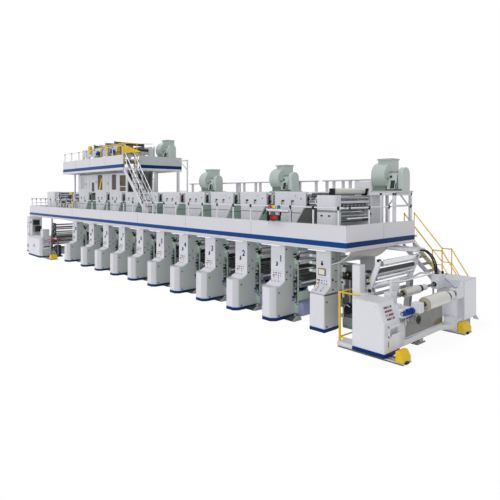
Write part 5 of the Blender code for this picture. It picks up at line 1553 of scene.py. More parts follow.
@dataclass
class DryerHood:
    """One dryer hood with its front plates, its slanted side and the web rollers beside its top."""

    left: float = -0.64
    right: float = 0.73
    base_right: float = 0.31
    front: float = 0.88
    rear: float = 3.45
    top: float = 4.00
    shoulder_x: float = 0.65
    shoulder: float = 3.52
    waist: float = 3.04
    plate_front: float = 0.85
    plate_bottom: float = 3.56
    plate_top: float = 4.03
    knobs: tuple[RoundPiece, ...] = ((-0.26, 3.967, 0.011, STEEL), (0.30, 3.893, 0.017, DARK_STEEL),
        (0.53, 3.80, 0.024, BLACK_PLASTIC), (0.19, 3.51, 0.010, STEEL), (0.25, 3.25, 0.013, STEEL),
        (-0.09, 3.07, 0.015, DARK_STEEL), (-0.32, 3.38, 0.012, CASTING), (0.62, 3.63, 0.008, STEEL),
        (0.62, 3.975, 0.008, STEEL))
    valve_rods: tuple[Place, ...] = ((0.08, 3.73, 0.030), (0.17, 3.69, 0.034), (0.27, 3.75, 0.026),
        (0.12, 3.62, 0.028), (0.33, 3.66, 0.030))

    def build(self) -> None:
        """Build the hood's meshes once and place all ten."""
        green = self._hood(LIFTED_SLANT_GREEN).mesh("dryer_hood")
        grille = self._hood(LIFTED_GRILLE).mesh("dryer_hood_with_grille")
        rollers = self._rollers().mesh("hood_rollers")
        for index, x in enumerate(UNIT_XS, 1):
            label = f"unit_{index:02d}"
            place_mesh(f"{label}_hood", grille if index == 1 else green,
                [f"{label}_dryer_hood"], at=(x, 0, 0))
            if index > 1:
                place_mesh(f"{label}_hood_rollers", rollers, at=(x, 0, 0))
        self._valves().piece("unit_01_hood_valves", "roller_steel", at=(UNIT_XS[0], 0, 0))
        handle = [self._on_slant(share, 0.012) for share in (0.44, 0.82)]
        form = Form().add(BLACK_PLASTIC, square_bar([(x, self.front + 0.06, z) for x, z in handle], 0.03))
        form.piece("unit_02_slant_handle", "roller_steel", at=(UNIT_XS[1], 0, 0))

    def _on_slant(self, share: float, proud: float = 0.0) -> Flat:
        """Return the (X, Z) point at a share of the slanted side's height."""
        return (self.base_right + (self.shoulder_x - self.base_right) * share + proud * 0.82,
            self.waist + (self.shoulder - self.waist) * share - proud * 0.58)

    def _hood(self, side: Finish) -> Form:
        """Return the hood.

        Args:
            side: the finish of the slanted side.

        Returns:
            The form.
        """
        form = Form()
        floor = DECK_TOP + SEAT
        outline = [(self.left, floor), (self.base_right, floor), (self.base_right, self.waist),
            (self.shoulder_x, self.shoulder), (self.right, self.shoulder), (self.right, self.top),
            (self.left, self.top)]
        # The hood's body, set back behind its end plates, in recess grey: painted shade of the faces seen
        # in the gaps between hoods.
        form.add(RECESS_SHADE_GREY, prism(outline, Axis.Y, self.front + 0.02, self.rear - 0.02))
        slant = [self._on_slant(share, proud) for share, proud in ((0.01, -0.01), (0.01, 0.004),
            (0.99, 0.004), (0.99, -0.01))]
        form.add(side, prism(slant, Axis.Y, self.front + 0.026, self.rear - 0.026),
            block((self.base_right - 0.01, self.front + 0.026, floor),
            (self.base_right + 0.004, self.rear - 0.026, self.waist + 0.01)))
        # Grey band across the slant at mid-height: painted in place of the highlight band that runs along
        # it.
        highlight_band = [self._on_slant(share, proud) for share, proud in ((0.47, 0.0), (0.47, 0.010), (0.53, 0.010),
            (0.53, 0.0))]
        form.add(CASTING, prism(highlight_band, Axis.Y, self.front + 0.03, self.rear - 0.03))
        form.add(HOOD_WHITE, *[prism(outline, Axis.Y, y, y + 0.025, 0.003) for y in (self.front,
            self.rear - 0.025)])
        slots = [(-0.35, 3.60, -0.20, 3.755), (0.09, 3.60, 0.22, 3.755)]
        form.add(HOOD_WHITE, pierced((self.left, self.plate_bottom, self.right, self.plate_top), slots,
            Axis.Y, self.plate_front, self.front + 0.012),
            block((self.left, self.front + 0.01, self.top - 0.001), (self.right, self.front + 0.015,
            self.plate_top), 0.001))
        for x0, z0, x1, z1 in slots:
            form.add(BLACK_PLASTIC, block((x0 - 0.01, self.front - 0.012, z1 - 0.055),
                (x1 + 0.01, self.front - 0.003, z1 + 0.01)))
            form.add(RECESS_SHADE_GREY, block((x0 - 0.01, self.front - 0.010, z0 - 0.01),
                (x1 + 0.01, self.front - 0.003, z1 - 0.05)))
            form.add(SCREEN, block((x0 - 0.01, self.front - 0.013, z0), (x0 + 0.03, self.front - 0.009,
                z1)))
        self._front_details(form)
        self._top_details(form)
        self._back_details(form)
        form.add(HOOD_WHITE,
            *[block((self.left - 0.004, self.front + 0.05, low), (self.left + 0.004, self.rear - 0.05,
            high), 0.003) for low, high in ((2.60, 3.50), (3.55, 3.96))])
        return form

    def _front_details(self, form: Form) -> None:
        """Add the lower front door, the ledge above it with a painted shadow under its lip, screws, knobs
        and sight holes.

        Args:
            form: where they go.
        """
        left, low, high = self.left + 0.015, 3.325, 3.355
        reach = {z: self._on_slant((z - self.waist) / (self.shoulder - self.waist))[0] - 0.012
            for z in (low, high, 3.515)}
        door = [(left, 2.56), (self.base_right - 0.012, 2.56), (self.base_right - 0.012, self.waist),
            (reach[low], low), (left, low)]
        head = [(left, high), (reach[high], high), (reach[3.515], 3.515), (self.right - 0.02, 3.53),
            (self.right - 0.02, 3.55), (left, 3.55)]
        form.add(HOOD_WHITE, prism(door, Axis.Y, self.front - 0.007, self.front + 0.002, 0.002),
            prism(head, Axis.Y, self.front - 0.014, self.front + 0.002, 0.002))
        # Dark strip under the head's lip: painted shadow of the ledge.
        form.add(CASTING, block((left, self.front - 0.003, low), (reach[low] - 0.01, self.front + 0.001,
            high)))
        for x, z, radius, finish in self.knobs:
            y = self.plate_front if z > self.plate_bottom else self.front - 0.010
            form.add(finish, rod(Axis.Y, x, z, radius, y - 0.005, y + 0.008, 12, 0.002))

    def _top_details(self, form: Form) -> None:
        """Add the lid panels and lifting eyes on the hood's top.

        Args:
            form: where they go.
        """
        for start, end in ((self.front + 0.05, 1.70), (1.74, 2.56), (2.60, self.rear - 0.05)):
            form.add(HOOD_WHITE, block((self.left + 0.03, start, self.top - 0.01),
                (self.right - 0.03, end, self.top + 0.0001), 0.004))
        for x in (self.left + 0.12, self.right - 0.12):
            for y in (1.05, 2.45):
                form.add(STEEL, hoop(Axis.X, (x, y, self.top - 0.012), 0.03, 0.007, 12))

    def _back_details(self, form: Form) -> None:
        """Add the rear panels, louvres and air duct flange.

        Args:
            form: where they go.
        """
        y = self.rear
        for low, high in ((2.60, 3.02), (3.58, 3.96)):
            right = 0.28 if high < 3.1 else self.right - 0.04
            form.add(PANEL_WHITE, block((self.left + 0.04, y - 0.002, low), (right, y + 0.006, high),
                0.002))
        for k in range(6):
            z = 3.64 + 0.045 * k
            form.add(RECESS_SHADE_DARK, block((-0.25, y + 0.004, z), (0.35, y + 0.009, z + 0.018)))
        form.add(STEEL, rod(Axis.Y, -0.10, 3.28, 0.12, y - 0.01, y + 0.04, 24, 0.004),
            rod(Axis.Y, -0.10, 3.28, 0.145, y + 0.015, y + 0.03, 24))

    def _rollers(self) -> Form:
        """Return the web rollers and their bearings in the gap beside the hood's top.

        Returns:
            The form.
        """
        form = Form()
        x, near, far = self.right, self.front + 0.05, self.rear - 0.06
        form.add(STEEL, rod(Axis.Y, x + 0.07, 3.895, 0.038, near + 0.05, far, 16))
        form.add(PANEL_WHITE, rod(Axis.Y, x + 0.05, 3.81, 0.026, near + 0.05, far, 12),
            block((x + 0.005, near - 0.01, 3.925), (x + 0.14, near + 0.06, 3.975), 0.01))
        form.add(CASTING, rod(Axis.Y, x + 0.12, 3.685, 0.085, near + 0.06, far, 22, 0.008))
        form.add(BLACK_PLASTIC, rod(Axis.Y, x + 0.05, 3.80, 0.030, near - 0.01, near + 0.05, 12),
            rod(Axis.Y, x + 0.07, 3.88, 0.022, near, near + 0.055, 10), rod(Axis.Y, x + 0.06, 3.70, 0.040,
            near - 0.012, near + 0.055, 12), block((x - 0.002, near - 0.005, 3.60),
            (x + 0.07, near + 0.05, 3.655), 0.008), block((x - 0.002, near + 0.01, 3.64),
            (x + 0.035, near + 0.045, 3.86), 0.004))
        form.add(STEEL, *[block((x - 0.002, y, 3.60), (x + 0.20, y + 0.02, 3.93), 0.003)
            for y in (near + 0.04, far - 0.01)])
        return form

    def _valves(self) -> Form:
        """Return the rollers, valves and pipes beside the first hood's top.

        Returns:
            The form.
        """
        form = Form()
        x, near, far = self.right, self.front + 0.05, self.rear - 0.06
        form.add(BRIGHT_STEEL, rod(Axis.Y, x + 0.14, 3.985, 0.048, near, far, 18))
        form.add(PANEL_WHITE, block((x - 0.002, near - 0.03, 3.94), (x + 0.10, near + 0.02, 3.99), 0.008))
        form.add(DARK_STEEL, rod(Axis.Y, x + 0.14, 3.89, 0.030, near, far, 12))
        form.add(STEEL, rod(Axis.Y, x + 0.12, 3.80, 0.026, near, far, 12),
            block((x - 0.002, near + 0.30, 3.58), (x + 0.42, near + 0.32, 3.90), 0.003),
            block((x - 0.002, far - 0.01, 3.58), (x + 0.42, far + 0.01, 4.0), 0.003))
        form.add(BLACK_PLASTIC, rod(Axis.Y, x + 0.04, 3.79, 0.032, near - 0.03, near + 0.03, 12),
            rod(Axis.Y, x + 0.035, 3.62, 0.036, near - 0.03, near + 0.03, 12),
            block((x - 0.002, near, 3.60), (x + 0.03, near + 0.04, 3.88), 0.004),
            rod(Axis.X, near + 0.08, 3.70, 0.035, x + 0.22, x + 0.30, 12))
        for along, z, radius in self.valve_rods:
            form.add(CASTING, rod(Axis.Z, x + along, near + 0.10, radius, z - 0.05, z + 0.06, 12))
        form.add(PANEL_WHITE, rod(Axis.X, near + 0.06, 3.66, 0.022, x, x + 0.40, 12),
            rod(Axis.X, near + 0.10, 3.74, 0.020, x, x + 0.42, 12),
            tube([(x + 0.37, near + 0.02, 3.86), (x + 0.30, near + 0.02, 3.72),
            (x + 0.38, near + 0.02, 3.60)], 0.016, 8))
        return form


# Platform


@dataclass
class Platform:
    """The deck that joins all units: fascia with its stripe, railings, deck, tray and arch cover."""

    length: float = 26.6
    depth: float = 3.75
    skin: float = 0.04
    stripe_low: float = 2.48
    stripe_high: float = 2.63
    post: float = 0.04
    first_post: float = -0.29
    post_pitch: float = 0.895
    rail: float = 3.575
    mid_rail: float = 3.285
    end_posts: tuple[float, ...] = (1.20, 2.28, 3.58)
    tray_right: float = 0.80

    def build(self) -> None:
        """Place the parapets, the deck and what hangs on them."""
        left = -self.length
        post_y = self.skin + self.post / 2 - 0.005
        front = self._fascia(Axis.X, left, 0.0, 0.0, FASCIA_WHITE)
        count = int((self.length + self.first_post - 0.2) / self.post_pitch) + 1
        posts = [self.first_post - index * self.post_pitch for index in range(count)]
        self._railing(front, [(x, post_y) for x in posts], [(-0.09, post_y), (posts[-1] - 0.10, post_y)])
        front.piece("front_fascia", "fascia_enamel", ["front_parapet"])
        for name, face, side in (("right", 0.0, -1), ("left", left, 1)):
            form = self._fascia(Axis.Y, self.skin + SEAT, self.depth, face, END_LIGHT_TONED_WHITE)
            rail_x = face + side * (self.skin + self.post / 2 - 0.005)
            self._railing(form, [(rail_x, y) for y in self.end_posts], [(rail_x, 0.12), (rail_x, 3.62)])
            form.add(PANEL_WHITE, tube([(rail_x, 0.14, self.mid_rail), (rail_x, 1.20, self.mid_rail)],
                0.017, 12))
            form.add(BLACK_PLASTIC, block((rail_x - 0.028, 0.20, self.rail - 0.035),
                (rail_x + 0.028, 0.27, self.rail + 0.03), 0.01))
            form.piece(f"{name}_fascia", "fascia_enamel", [f"{name}_parapet"])
        self._deck()
        self._arch_cover()
        SignalUnit().build()

    def _fascia(self, axis: Axis, start: float, end: float, face: float, wall: Finish) -> Form:
        """Return one side of the platform's skirt with its lips and stripe.

        Args:
            axis: the direction that it runs along.
            start: its first end.
            end: its other end.
            face: its outer face across the axis.
            wall: the finish of its upper wall.

        Returns:
            The form.
        """
        inward = -1 if axis is Axis.Y and face == 0.0 else 1
        lip = 0.004

        def course(proud: float, low: float, high: float) -> Shape:
            """Return one course of the skirt, its outer face set back by proud."""
            near, far = sorted((face + inward * proud, face + inward * self.skin))
            return prism([(near, low), (far, low), (far, high), (near, high)], axis, start, end, 0.002)

        form = Form()
        form.add(wall, course(0.003, self.stripe_high, FASCIA_HIGH - 0.01))
        form.add(FASCIA_WHITE, course(0.0, FASCIA_LOW, 2.425), course(lip, 2.431, self.stripe_low))
        # The end faces take the darker kick-plate blue for their stripe: painted shade on the ends.
        stripe = STRIPE_BLUE if wall is FASCIA_WHITE else KICK_BLUE
        form.add(stripe, course(0.0015, self.stripe_low, self.stripe_high))
        near, far = sorted((face, face + inward * (self.skin + 0.012)))
        form.add(wall, prism([(near, FASCIA_HIGH - 0.03), (far, FASCIA_HIGH - 0.03), (far, FASCIA_HIGH),
            (near, FASCIA_HIGH)], axis, start, end, 0.003))
        length = end - start
        seams = max(2, round(length / 3.8))
        for index in range(1, seams):
            along = start + length * index / seams
            near, far = sorted((face + inward * 0.0015, face + inward * 0.004))
            form.add(RECESS_SHADE_DARK, prism([(near, 2.64), (far, 2.64), (far, 3.06), (near, 3.06)], axis,
                along - 0.003, along + 0.003))
        return form

    def _railing(self, form: Form, posts: Sequence[Flat], ends: Sequence[Flat]) -> None:
        """Add posts with black rail clamps, and the thin rail that they hold.

        Args:
            form: where it goes.
            posts: the place of each post on the floor.
            ends: the rail's ends.
        """
        half = self.post / 2
        for x, y in posts:
            form.add(PANEL_WHITE, block((x - half, y - half, FASCIA_HIGH - 0.2),
                (x + half, y + half, self.rail - 0.02), 0.005))
            form.add(BLACK_PLASTIC, ball((x, y, self.rail), 0.047, 0.9),
                rod(Axis.Z, x, y, 0.026, self.rail - 0.07, self.rail - 0.02, 12))
            form.add(STEEL, block((x - half - 0.012, y - half - 0.004, FASCIA_HIGH - 0.19),
                (x + half + 0.012, y - half + 0.004, FASCIA_HIGH - 0.03), 0.002))
        (x0, y0), (x1, y1) = ends
        form.add(PANEL_WHITE, tube([(x0, y0, self.rail), (x1, y1, self.rail)], 0.019, 12))

    def _deck(self) -> None:
        """Place the deck with its treads, beams, kick strip, cable tray and underside lamps."""
        left, inner = -self.length, self.skin + SEAT
        form = Form().add(DECK, block((left + inner, inner, 2.485), (-inner, self.depth, DECK_TOP)))
        steps = 30
        pitch = (self.length - 2 * inner) / steps
        for index in range(1, steps):
            x = left + inner + pitch * index
            form.add(DARK_STEEL, block((x - 0.004, inner, DECK_TOP - 0.01),
                (x + 0.004, self.depth, DECK_TOP + 0.0002)))
        form.add(FASCIA_WHITE, block((left + inner, inner, 2.44), (-inner, self.depth, 2.485)),
            block((left + inner, self.depth - 0.012, 2.40), (-inner, self.depth, DECK_TOP)))
        for y in (0.50, 1.75, 2.95):
            form.add(FASCIA_WHITE, block((left + inner, y - 0.08, FASCIA_LOW),
                (-inner, y + 0.08, FASCIA_LOW + 0.018)), block((left + inner, y - 0.015, FASCIA_LOW),
                (-inner, y + 0.015, 2.44)))
        tray = self.tray_right
        form.add(PANEL_WHITE, pierced((-0.59, 2.36, tray - 0.01, 2.86),
            [(-0.5 + 0.25 * k, 2.42, -0.32 + 0.25 * k, 2.80) for k in range(5)], Axis.Z, 2.25, 2.262),
            *[block((-0.60, y, 2.25), (tray, y + 0.012, 2.35), 0.003) for y in (2.36, 2.848)],
            *[block((x, 2.36, 2.25), (x + 0.01, 2.86, 2.35), 0.003) for x in (tray - 0.01, -0.60)],
            block((-0.58, 2.42, 2.34), (-0.30, 2.95, 2.44), 0.006))
        form.add(RUBBER, *[tube([(-0.55, y, 2.28), (tray - 0.03, y, 2.28)], 0.018, 8) for y in (2.46, 2.52,
            2.60, 2.69, 2.77)])
        form.piece("platform_floor", "deck_paint", ["platform_deck"])
        lamps = Form()
        for x, start, end in [(x, x - 0.52, x + 0.30) for x in UNIT_XS] + [(-1.07, -1.42, -0.78)]:
            lamps.add(TUBE_LIGHT, block((start + 0.01, 0.085, 2.318), (end - 0.01, 0.16, 2.352), 0.006))
            lamps.add(CASTING, block((start, 0.08, 2.352), (end, 0.20, FASCIA_LOW + 0.02)))
            lamps.add(TANK_BLUE, block((start + 0.30, 0.205, 2.34), (end + 0.30, 0.235, FASCIA_LOW + 0.002),
                0.003))
        lamps.piece("underside_lamps", "fascia_enamel")

    def _arch_cover(self) -> None:
        """Place the curved sheet that guides the web out below the platform."""
        line = [(-0.805, 1.93), (-0.72, 1.96), (-0.55, 2.02), (-0.38, 2.11), (-0.24, 2.22), (-0.14, 2.34)]
        form = Form().add(ARCH_GREY, strip(line, 0.010, Axis.Y, 0.42, 2.34))
        form.add(PANEL_WHITE, *[strip([(x, z - 0.014) for x, z in line], 0.02, Axis.Y, y, y + 0.015)
            for y in (0.415, 2.33)])
        form.add(STEEL, *[block((-0.16, y, 2.33), (-0.06, y + 0.06, FASCIA_LOW + 0.07), 0.003)
            for y in (0.44, 1.33)])
        form.piece("arch_cover", "fascia_enamel")


@dataclass
class SignalUnit:
    """The lamp bar with its counter display on the front parapet."""

    y: float = -0.075
    left: float = -2.96
    right: float = -2.05
    base: float = 3.42

    def build(self) -> None:
        """Place the bar, its three lamps, the display, the lever and the conduit on the rail post."""
        y, base = self.y, self.base
        form = Form()
        form.add(PANEL_WHITE, block((self.left, y - 0.05, base + 0.02), (-2.34, y + 0.05, base + 0.08),
            0.01), block((self.left + 0.02, y - 0.03, base), (self.right, y + 0.03, base + 0.045), 0.006),
            block((self.right - 0.05, y - 0.02, base - 0.01), (self.right, 0.06, base + 0.04), 0.004),
            block((-2.95, y - 0.02, 3.02), (-2.90, 0.005, 3.12), 0.004))
        form.add(CASTING, block((-2.70, y - 0.032, base - 0.012), (-2.12, y + 0.02, base + 0.003), 0.003))
        for x, finish in ((-2.84, BUTTON_RED), (-2.64, BUTTON_YELLOW), (-2.45, BUTTON_BLUE)):
            form.add(finish, turned(Axis.Z, x, y, [(base + 0.07, 0.054), (base + 0.14, 0.054),
                (base + 0.17, 0.045), (base + 0.19, 0.028), (base + 0.197, 0.008)], 20))
            form.add(BLACK_PLASTIC, hoop(Axis.Z, (x, y, base + 0.085), 0.060, 0.006, 20))
        form.add(BLACK_PLASTIC, block((-2.955, y - 0.03, 3.10), (-2.895, y + 0.03, base + 0.03), 0.006),
            block((-2.84, y - 0.04, 3.135), (-2.39, y + 0.04, 3.31), 0.008), block((-2.40, y - 0.02, 3.30),
            (-2.35, y + 0.02, base + 0.01), 0.004))
        form.add(RED_DIGITS, number_shape("1085", 0.12, 0.004, (-2.615, y - 0.042, 3.2225)))
        form.add(BUTTON_RED, block((-2.47, y - 0.025, 3.345), (-2.42, y + 0.02, 3.365), 0.004))
        form.add(STEEL, tube([(-2.31, y, 3.20), (-2.12, y, 3.31)], 0.014, 10),
            block((-2.34, y - 0.02, 3.17), (-2.29, y + 0.02, 3.22), 0.005))
        conduit = smooth_line([(-2.06, 0.02, 3.54), (-2.02, 0.015, 3.47), (-2.0, 0.015, 3.38),
            (-2.015, 0.018, 3.25), (-2.0, 0.018, 3.07)], 5)
        form.add(BLACK_PLASTIC, tube(conduit, 0.013, 8))
        form.piece("signal_unit", "fascia_enamel")


# Outfeed unit and roller station


@dataclass
class Outfeed:
    """The outfeed unit below the platform and the roller station on the deck above it."""

    x: float = -1.07
    half: float = 0.27
    front: float = 0.08
    face: float = 0.38
    desk_low: float = 1.09
    desk_high: float = 1.29
    top: float = FRAME_TOP
    rollers: tuple[Flat, ...] = ((-0.82, 2.04), (-0.82, 1.82), (-0.82, 1.58), (0.0, 0.24), (0.1, 1.4))
    buttons: tuple[Button, ...] = ((-0.22, 1.42, BUTTON_BLUE), (-0.05, 1.42, BUTTON_BLUE),
        (0.04, 1.42, BUTTON_GREY), (0.125, 1.42, BUTTON_GREY), (-0.05, 1.35, BUTTON_BLUE),
        (0.04, 1.335, BUTTON_RED), (0.125, 1.335, BUTTON_BLUE))
    latches: tuple[Flat, ...] = ((0.19, 0.865), (0.19, 0.16), (0.47, 2.08), (0.47, 1.184))
    side_buttons: tuple[Place, ...] = ((0.60, 1.723, 0.03), (0.60, 1.397, 0.03), (0.615, 1.64, 0.012),
        (0.595, 1.58, 0.012), (0.615, 1.30, 0.012), (0.60, 1.24, 0.012))
    station_rollers: tuple[RoundPiece, ...] = ((-1.16, 3.85, 0.055, STEEL),
        (-1.14, 3.70, 0.040, PANEL_WHITE), (-1.28, 3.60, 0.055, DARK_STEEL), (-1.14, 3.50, 0.050, STEEL),
        (-1.26, 3.39, 0.035, BRIGHT_STEEL), (-1.16, 3.27, 0.040, STEEL), (-1.18, 3.13, 0.055, DARK_STEEL),
        (-1.50, 3.62, 0.060, RUBBER))
    cabinet_sheets: tuple[Place, ...] = ((2.55, 3.57, 3.58), (3.59, 3.90, 3.385), (3.93, 4.36, 3.385))

    def build(self) -> None:
        """Place the stand, the web path beside it and the station."""
        self._stand().piece("outfeed_stand", "stand_enamel", ["outfeed_unit"], at=(self.x, 0, 0))
        self._web_path().piece("outfeed_web_path", "roller_steel", at=(self.x, 0, 0))
        self._station()

    def _stand(self) -> Form:
        """Return the stand with its screen, buttons and side doors.

        Returns:
            The form.
        """
        form = Form()
        half = self.half
        form.add(STAND_GREY, block((-half, self.front, 0.10), (half, 0.80, self.desk_low), 0.005),
            prism([(self.front, self.desk_low - 0.05), (self.front, self.desk_low),
            (self.face, self.desk_high), (self.face, self.top), (0.80, self.top),
            (0.80, self.desk_low - 0.05)], Axis.X, -half, half, 0.004),
            block((-half, DRIVE_Y, 0.0), (half, DRIVE_Y + 0.06, self.top), 0.004))
        form.add(KICK_BLUE, block((-half - 0.004, self.front - 0.004, 0.0), (half + 0.004, 0.66, 0.10),
            0.003))
        # Near-black block under the stand's rear, behind the kick plate: painted shade beneath the stand.
        form.add(RECESS_SHADE_DARK, block((-half + 0.02, 0.64, 0.0), (half - 0.02, 0.80, 0.11)))
        y = self.face - 0.009
        form.add(PANEL_WHITE, block((-half + 0.008, y, self.desk_high + 0.01),
            (half - 0.008, self.face + 0.01, 1.495), 0.003), block((-half + 0.008, y, 1.505),
            (half - 0.008, self.face + 0.01, 2.36), 0.003), block((-half + 0.02, self.front - 0.003, 0.13),
            (half - 0.02, self.front + 0.003, self.desk_low - 0.02), 0.0015))
        form.add(DARK_STEEL, block((-0.18, y - 0.022, 1.57), (0.10, y, 1.775), 0.006))
        form.add(BEIGE_SCREEN, block((-0.15, y - 0.025, 1.60), (0.06, y - 0.02, 1.75)))
        form.add(BLACK_PLASTIC, turned(Axis.Y, -0.04, 1.90, [(y - 0.028, 0.032), (y, 0.04)], 18),
            block((-0.06, y - 0.02, 1.93), (-0.02, y, 1.98), 0.004))
        form.add(BUTTON_BLUE, block((-0.055, y - 0.022, 1.985), (-0.025, y, 2.0), 0.003))
        for x, z, cap in self.buttons:
            push_button(form, cap, x, y, z)
        form.add(BLACK_PLASTIC, block((-0.16, y - 0.03, 1.39), (-0.13, y, 1.45), 0.006))
        stop_button(form, -0.17, y, 1.335)
        lean = math.atan2(self.desk_high - self.desk_low, self.face - self.front)
        for x in (-0.12, 0.06):
            slot = block((x - 0.014, 0.14, 1.186), (x + 0.014, 0.32, 1.196), 0.001)
            form.add(BUTTON_GREY, moved(slot, turn=lean, pivot=(0, 0.23, 1.19)))
            form.add(BUTTON_BLUE, ball((x, 0.17, 1.155), 0.015), ball((x, 0.30, 1.245), 0.013))
        self._side_controls(form)
        return form

    def _side_controls(self, form: Form) -> None:
        """Add the sheets, the latches and the buttons on the stand's right side.

        Args:
            form: where they go.
        """
        half = self.half
        side = half + 0.004
        form.add(SIDE_SHADE_GREY, block((half - 0.001, self.front + 0.02, 0.13), (side, 0.70, 1.05), 0.0015),
            block((half - 0.001, self.face + 0.03, 1.25), (side, 0.70, 2.34), 0.0015))
        form.add(PANEL_WHITE, block((half - 0.001, 0.715, 0.13), (side, 0.79, 2.35), 0.0015))
        for along, z in self.latches:
            recessed_latch(form, side, along, z)
        for along, z, size in self.side_buttons:
            form.add(BLACK_PLASTIC, block((side - 0.002, along - size, z - size / 2),
                (side + 0.016, along + size, z + size / 2), 0.004))
            if size > 0.02:
                form.add(BUTTON_RED, rod(Axis.X, along + 0.03, z, 0.016, side, side + 0.022, 12))
        form.add(BLACK_PLASTIC, rod(Axis.X, 0.453, 1.472, 0.037, side, side + 0.02, 14))
        form.add(BUTTON_YELLOW, rod(Axis.X, 0.453, 1.492, 0.014, side + 0.015, side + 0.03, 10))

    def _web_path(self) -> Form:
        """Return the side plate, the arms and the web rollers left of the stand.

        Returns:
            The form.
        """
        form = Form()
        near, far = 0.86, DRIVE_Y
        form.add(PALE_GREEN, block((-self.half + 0.001, 0.79, 0.12), (self.half - 0.001, near, self.top),
            0.004))
        for x, z in self.rollers:
            form.add(STEEL, rod(Axis.Y, x, z, 0.06, near + 0.05, far - 0.05, 18, 0.006))
            form.add(DARK_STEEL, rod(Axis.Y, x, z, 0.028, near - 0.01, far + 0.01, 12))
            if x < -self.half:
                for y in (0.795, far + 0.005):
                    form.add(PALE_GREEN, block((-0.90, y, z - 0.05), (0.0, y + 0.055, z + 0.05), 0.006))
                    form.add(BRIGHT_STEEL, rod(Axis.Y, x, z, 0.04, y - 0.003, y + 0.058, 16))
            else:
                form.add(BRIGHT_STEEL, rod(Axis.Y, x, z, 0.045, near, near + 0.02, 16))
        bolt_heads(form, Axis.Y, [(x, far + 0.06, z) for x in (-0.22, 0.22) for z in (0.25, 1.12, 1.70,
            2.25)], 0.012, 0.009)
        self._slitter(form)
        return form

    def _slitter(self, form: Form) -> None:
        """Add the dark trimming unit on the stand's right side, seen past the column.

        Args:
            form: where it goes.
        """
        left, near = self.half + 0.005, 0.88
        form.add(DARK_STEEL, block((left, near + 0.06, 0.10), (left + 0.40, near + 0.10, 1.86), 0.006),
            block((left, near + 0.06, 0.0), (left + 0.40, near + 0.40, 0.10), 0.006))
        form.add(PANEL_WHITE, block((left, near - 0.03, 1.28), (left + 0.12, near + 0.06, 1.44), 0.01),
            block((left + 0.02, near, 0.90), (left + 0.07, near + 0.06, 1.28), 0.006),
            block((left, near - 0.01, 1.66), (left + 0.14, near + 0.06, 1.80), 0.01))
        form.add(BLACK_PLASTIC, rod(Axis.Y, left + 0.05, 1.36, 0.035, near - 0.04, near - 0.02, 14),
            rod(Axis.Y, left + 0.22, 1.61, 0.085, near - 0.02, near + 0.06, 20),
            block((left + 0.05, near - 0.02, 1.46), (left + 0.36, near + 0.06, 1.52), 0.01),
            rod(Axis.Y, left + 0.24, 0.56, 0.12, near - 0.03, near + 0.06, 24),
            block((left + 0.14, near - 0.01, 0.56), (left + 0.34, near + 0.06, 0.76), 0.03))
        form.add(BUTTON_YELLOW, rod(Axis.Y, left + 0.24, 1.61, 0.022, near - 0.04, near - 0.02, 12))
        form.add(STEEL, hoop(Axis.Y, (left + 0.07, near, 0.66), 0.05, 0.014, 18),
            rod(Axis.Z, left + 0.07, near, 0.022, 0.28, 0.62, 10), rod(Axis.Z, left + 0.30, near, 0.018,
            0.80, 1.46, 10), rod(Axis.Y, left + 0.17, 1.16, 0.045, near - 0.02, near + 0.06, 16),
            rod(Axis.Y, left + 0.28, 1.02, 0.035, near - 0.02, near + 0.06, 14),
            tube(smooth_line([(left + 0.10, near, 0.64), (left + 0.20, near - 0.02, 0.72),
            (left + 0.30, near, 0.66)], 5), 0.02, 8))
        form.add(CASTING, block((left + 0.02, near + 0.02, 0.10), (left + 0.38, near + 0.06, 0.34), 0.006))

    def _station(self) -> None:
        """Place the deck station: front cabinet, rear cabinet, rollers and film roll."""
        left, right, floor = -1.72, -1.05, DECK_TOP + SEAT
        form = Form()
        plan = [(left, 0.88), (right - 0.09, 0.88), (right, 0.97), (right, 1.21), (left, 1.21)]
        form.add(HOOD_WHITE, prism(plan, Axis.Z, floor, 3.395, 0.004), prism(plan, Axis.Z, 3.455, 3.92,
            0.004))
        # Seam between the cabinet's lower and upper parts; its grey band is painted shade under the upper
        # part's edge.
        form.add(CASTING, prism([(left + 0.004, 0.888), (right - 0.093, 0.888), (right - 0.006, 0.975),
            (right - 0.006, 1.2), (left + 0.004, 1.2)], Axis.Z, 3.39, 3.46))
        form.add(PANEL_WHITE, *[block((left + 0.015, 0.873, low), (right - 0.11, 0.883, high), 0.002)
            for low, high in ((2.58, 3.38), (3.47, 3.905))])
        for x in (-1.53, -1.245):
            form.add(BLACK_PLASTIC, block((x - 0.045, 0.864, 3.268), (x + 0.045, 0.875, 3.312), 0.004))
        self._rear_cabinet(form, left, right, floor)
        near, far = 1.19, 2.90
        for x, z, radius, finish in self.station_rollers:
            form.add(finish, rod(Axis.Y, x, z, radius, near + 0.05, far - 0.05, 20, 0.005))
            form.add(DARK_STEEL, rod(Axis.Y, x, z, radius * 0.42, near, far, 10))
            form.add(BLACK_PLASTIC, rod(Axis.Y, x, z, radius * 0.8, near + 0.015, near + 0.045, 12),
                rod(Axis.Y, x, z, radius * 0.8, far - 0.045, far - 0.015, 12))
        form.add(RECESS_SHADE_GREY, block((-1.62, near, 2.90), (-1.58, far, 3.86), 0.003))
        form.add(CASTING, *[block((-1.24 - 0.05 * (k % 2), near + 0.10 + 0.19 * k, 3.76),
            (-1.18, near + 0.17 + 0.19 * k, 3.80), 0.004) for k in range(9)],
            *[block((-1.26, near + 0.12 + 0.21 * k, 3.56), (-1.20, near + 0.22 + 0.21 * k, 3.62), 0.006)
            for k in range(8)])
        form.add(BLACK_PLASTIC, block((-1.20, near + 0.05, 3.60), (-1.12, near + 0.22, 3.64), 0.008),
            block((-1.16, far - 0.45, 3.42), (-1.11, far - 0.36, 3.56), 0.006),
            block((-1.17, far - 0.42, 3.09), (-1.10, far - 0.06, 3.16), 0.01),
            rod(Axis.X, far - 0.02, 3.30, 0.04, -1.12, -1.06, 12))
        self._film_roll(form, far)
        form.piece("outfeed_station", "roller_steel", ["outfeed_roller_station"])

